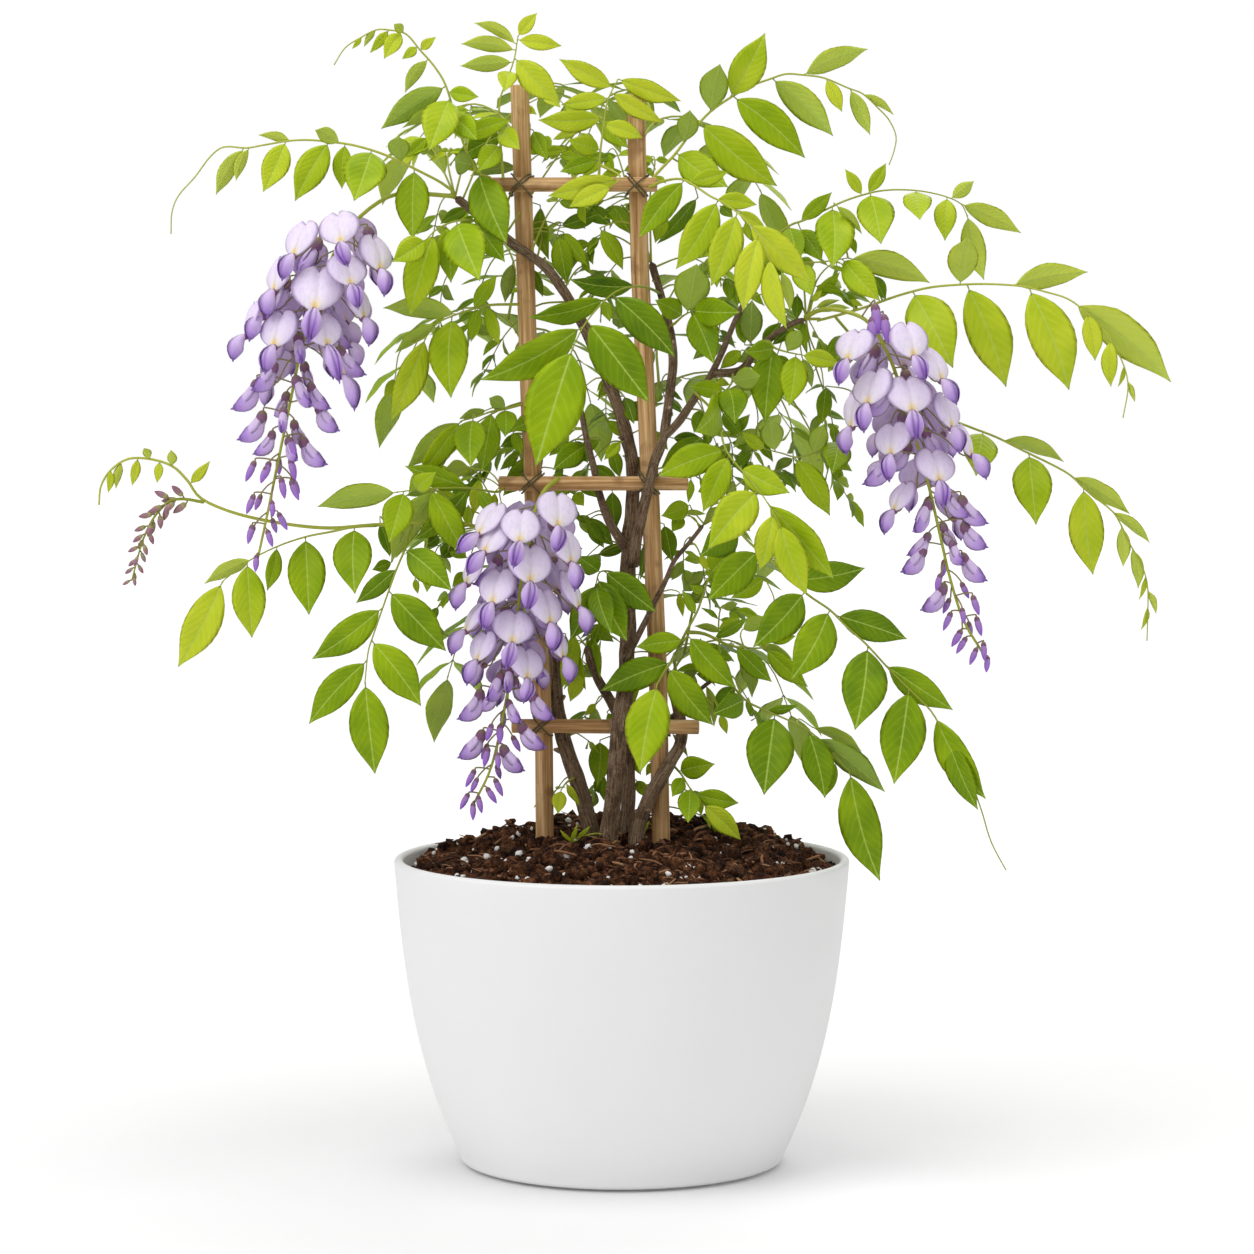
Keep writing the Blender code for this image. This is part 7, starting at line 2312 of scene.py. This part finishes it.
def soil_finish():
    """Dark, crumbly potting mix: its browns are the mix's own colour, and its near-black lows are painted
    shade between lumps. A crumb's noted tone makes it paler or darker.
    """
    m = Nodes("potting_mix_dark")
    tone = m.notes()[0]
    coarse = m.noise(m.place(), 230.0, 6.0, 0.65)
    fine = m.noise(m.place(), 1100.0, 4.0, 0.7)
    grain = m.plus(m.times(coarse, 0.6), m.times(fine, 0.4))
    grain = m.plus(grain, m.times(m.minus(tone, 0.5), 0.12))
    # The darkest stop falls where the grain and its relief are low: painted shade between lumps
    m.surface(m.ramp(grain, SOIL_AND_GAP_SHADE_TINTS), 0.95, 0.15)
    m.bump(grain, 1.0, 0.0022)
    return m.finish


def fibre_finish():
    """Brown bark fibres, dark to pale by their noted tone."""
    m = Nodes("bark_fibre")
    fine = m.noise(m.place(), 900.0, 3.0)
    colour = m.ramp(m.notes()[0], FIBRE_TINTS)
    m.surface(m.mix(m.times(fine, 0.5), colour, (0.06, 0.025, 0.012)), 0.9)
    m.bump(fine, 0.7, 0.0005)
    return m.finish


def pot_finish():
    """The satin-white pot."""
    m = Nodes("satin_white")
    fine = m.noise(m.place(), 900.0, 2.0)
    broad = m.noise(m.place(), 9.0, 2.0)
    m.surface(m.ramp(broad, POT_TINTS), m.plus(0.36, m.times(fine, 0.08)), 0.4)
    m.bump(fine, 0.06, 0.0002)
    return m.finish


# The floor's painted light, a lift towards white that only the camera sees: share of the reach from the
# glow's middle, and lift
FLOOR_GLOW = (
    (0.0, 0.0), (0.014, 0.0), (0.036, 0.07), (0.05, 0.11), (0.08, 0.14), (0.15, 0.19), (0.25, 0.29),
    (0.42, 0.45), (0.9, 0.60),
)
GLOW_REACH = 8.0
# The glow's middle is a little to the left of the pot, so the floor is brighter on the right: painted light
# that lightens the key light's shadow there
GLOW_CENTRE = (-0.14, 0.0, 0.0)
# Half the floor's width, in metres
FLOOR_REACH = 14.0


def floor_finish():
    """A pale studio floor that fades to white away from the pot, through painted light: a glow that only
    the camera sees, low near the pot and stronger on the right.
    """
    m = Nodes("studio_floor")
    m.surface((0.93, 0.93, 0.93), 0.9, 0.1)
    moved = m.vector_maths("SUBTRACT", m.place(), GLOW_CENTRE)
    far = m.vector_maths("LENGTH", moved.outputs[0])
    near = m.maths("DIVIDE", far.outputs["Value"], GLOW_REACH, True)
    painted_glow_share = m.ramp(near, tuple((place, (lift, lift, lift)) for place, lift in FLOOR_GLOW))
    # Painted light: emission that only camera rays see
    rays = m.tree.nodes.new("ShaderNodeLightPath")
    glow = m.tree.nodes.new("ShaderNodeEmission")
    m.feed(glow.inputs["Strength"], m.times(rays.outputs["Is Camera Ray"], painted_glow_share))
    total = m.tree.nodes.new("ShaderNodeAddShader")
    m.feed(total.inputs[0], m.shader.outputs[0])
    m.feed(total.inputs[1], glow.outputs[0])
    m.feed(m.tree.nodes["Material Output"].inputs["Surface"], total.outputs[0])
    return m.finish


def build_floor(finish):
    """The floor of the picture, which isn't part of the plant."""
    mesh = bpy.data.meshes.new("studio_floor")
    corners = [(x * FLOOR_REACH, y * FLOOR_REACH, 0) for x, y in ((-1, -1), (1, -1), (1, 1), (-1, 1))]
    mesh.from_pydata(corners, [], [(0, 1, 2, 3)])
    mesh.materials.append(finish)
    new_object("studio_floor", mesh)


# Lights: name, place, the point it faces, width and height, and power in watts
LIGHTS = (
    ("key_light", (-1.9, -1.6, 2.1), (0, 0, 0.35), (2.2, 2.2), 26),
    ("fill_light", (1.9, -1.9, 1.9), (0, 0, 0.35), (1.8, 1.8), 4),
    ("back_light", (0.6, 1.9, 2.0), (0, 0, 0.45), (1.6, 1.2), 12),
    ("top_light", (-0.1, -0.3, 2.6), (0, 0, 0.4), (1.0, 1.0), 15),
)
# How strongly the background lights the plant, and how far the camera sees, in metres
WORLD_STRENGTH = 0.58
CAMERA_REACH = 60


def build_lights():
    """The four soft lights."""
    for name, place, target, size, power in LIGHTS:
        light = bpy.data.lights.new(name, "AREA")
        light.shape = "RECTANGLE"
        light.size, light.size_y = size
        light.energy = power
        made = new_object(name, light)
        made.location = place
        made.rotation_euler = (Vector(target) - Vector(place)).to_track_quat("-Z", "Y").to_euler()


def build_world():
    """A white background that lights the plant less than it shows."""
    world = bpy.data.worlds.new("studio")
    world.use_nodes = True
    tree = world.node_tree
    background = tree.nodes["Background"]
    background.inputs["Color"].default_value = (1.0, 1.0, 1.0, 1.0)
    background.inputs["Strength"].default_value = WORLD_STRENGTH
    seen_background = tree.nodes.new("ShaderNodeBackground")
    seen_background.inputs["Color"].default_value = (1.0, 1.0, 1.0, 1.0)
    seen_background.inputs["Strength"].default_value = 1.0
    rays = tree.nodes.new("ShaderNodeLightPath")
    mixer = tree.nodes.new("ShaderNodeMixShader")
    tree.links.new(rays.outputs["Is Camera Ray"], mixer.inputs[0])
    tree.links.new(background.outputs[0], mixer.inputs[1])
    tree.links.new(seen_background.outputs[0], mixer.inputs[2])
    tree.links.new(mixer.outputs[0], tree.nodes["World Output"].inputs["Surface"])
    bpy.context.scene.world = world
    bpy.context.scene.view_settings.view_transform = "Standard"


def build_camera():
    """The camera, where the picture was seen from."""
    data = bpy.data.cameras.new("view")
    data.sensor_width = SENSOR_WIDTH
    data.lens = SENSOR_WIDTH * VIEW_FOCAL / PICTURE_SIZE
    data.clip_end = CAMERA_REACH
    camera = new_object("view", data)
    camera.location = EYE
    camera.rotation_euler = (math.radians(90) - VIEW_PITCH, 0, 0)
    bpy.context.scene.camera = camera


def clear_startup():
    """Take away the objects of Blender's own start-up scene."""
    for name in ("Cube", "Light", "Camera"):
        old = bpy.data.objects.get(name)
        if old is not None:
            bpy.data.objects.remove(old, do_unlink=True)


def main():
    """Everything in the picture."""
    clear_startup()
    build_camera()
    build_world()
    build_lights()
    build_floor(floor_finish())
    build_pot(pot_finish())
    soil = soil_finish()
    build_soil(soil)
    build_crumbs(soil, perlite_finish(), fibre_finish())
    build_ladder(wood_finish())
    build_ties(twine_finish())
    bark = bark_finish()
    for number, (name, stem) in enumerate(WOOD.items()):
        build_wood(name, stem, 1.7 * number + 0.4, bark)
    leaf, stalk, petals = leaf_finish(), stalk_finish(), petal_finish()
    for name, plan in SHOOTS.items():
        build_leaf(name, plan, (leaf, stalk))
    build_sprays((leaf, stalk))
    build_inner_leaflets((leaf, stalk))
    for name, cluster in RACEMES.items():
        build_raceme(name, cluster, (petals, stalk))
    build_bud_raceme((petals, stalk))


main()
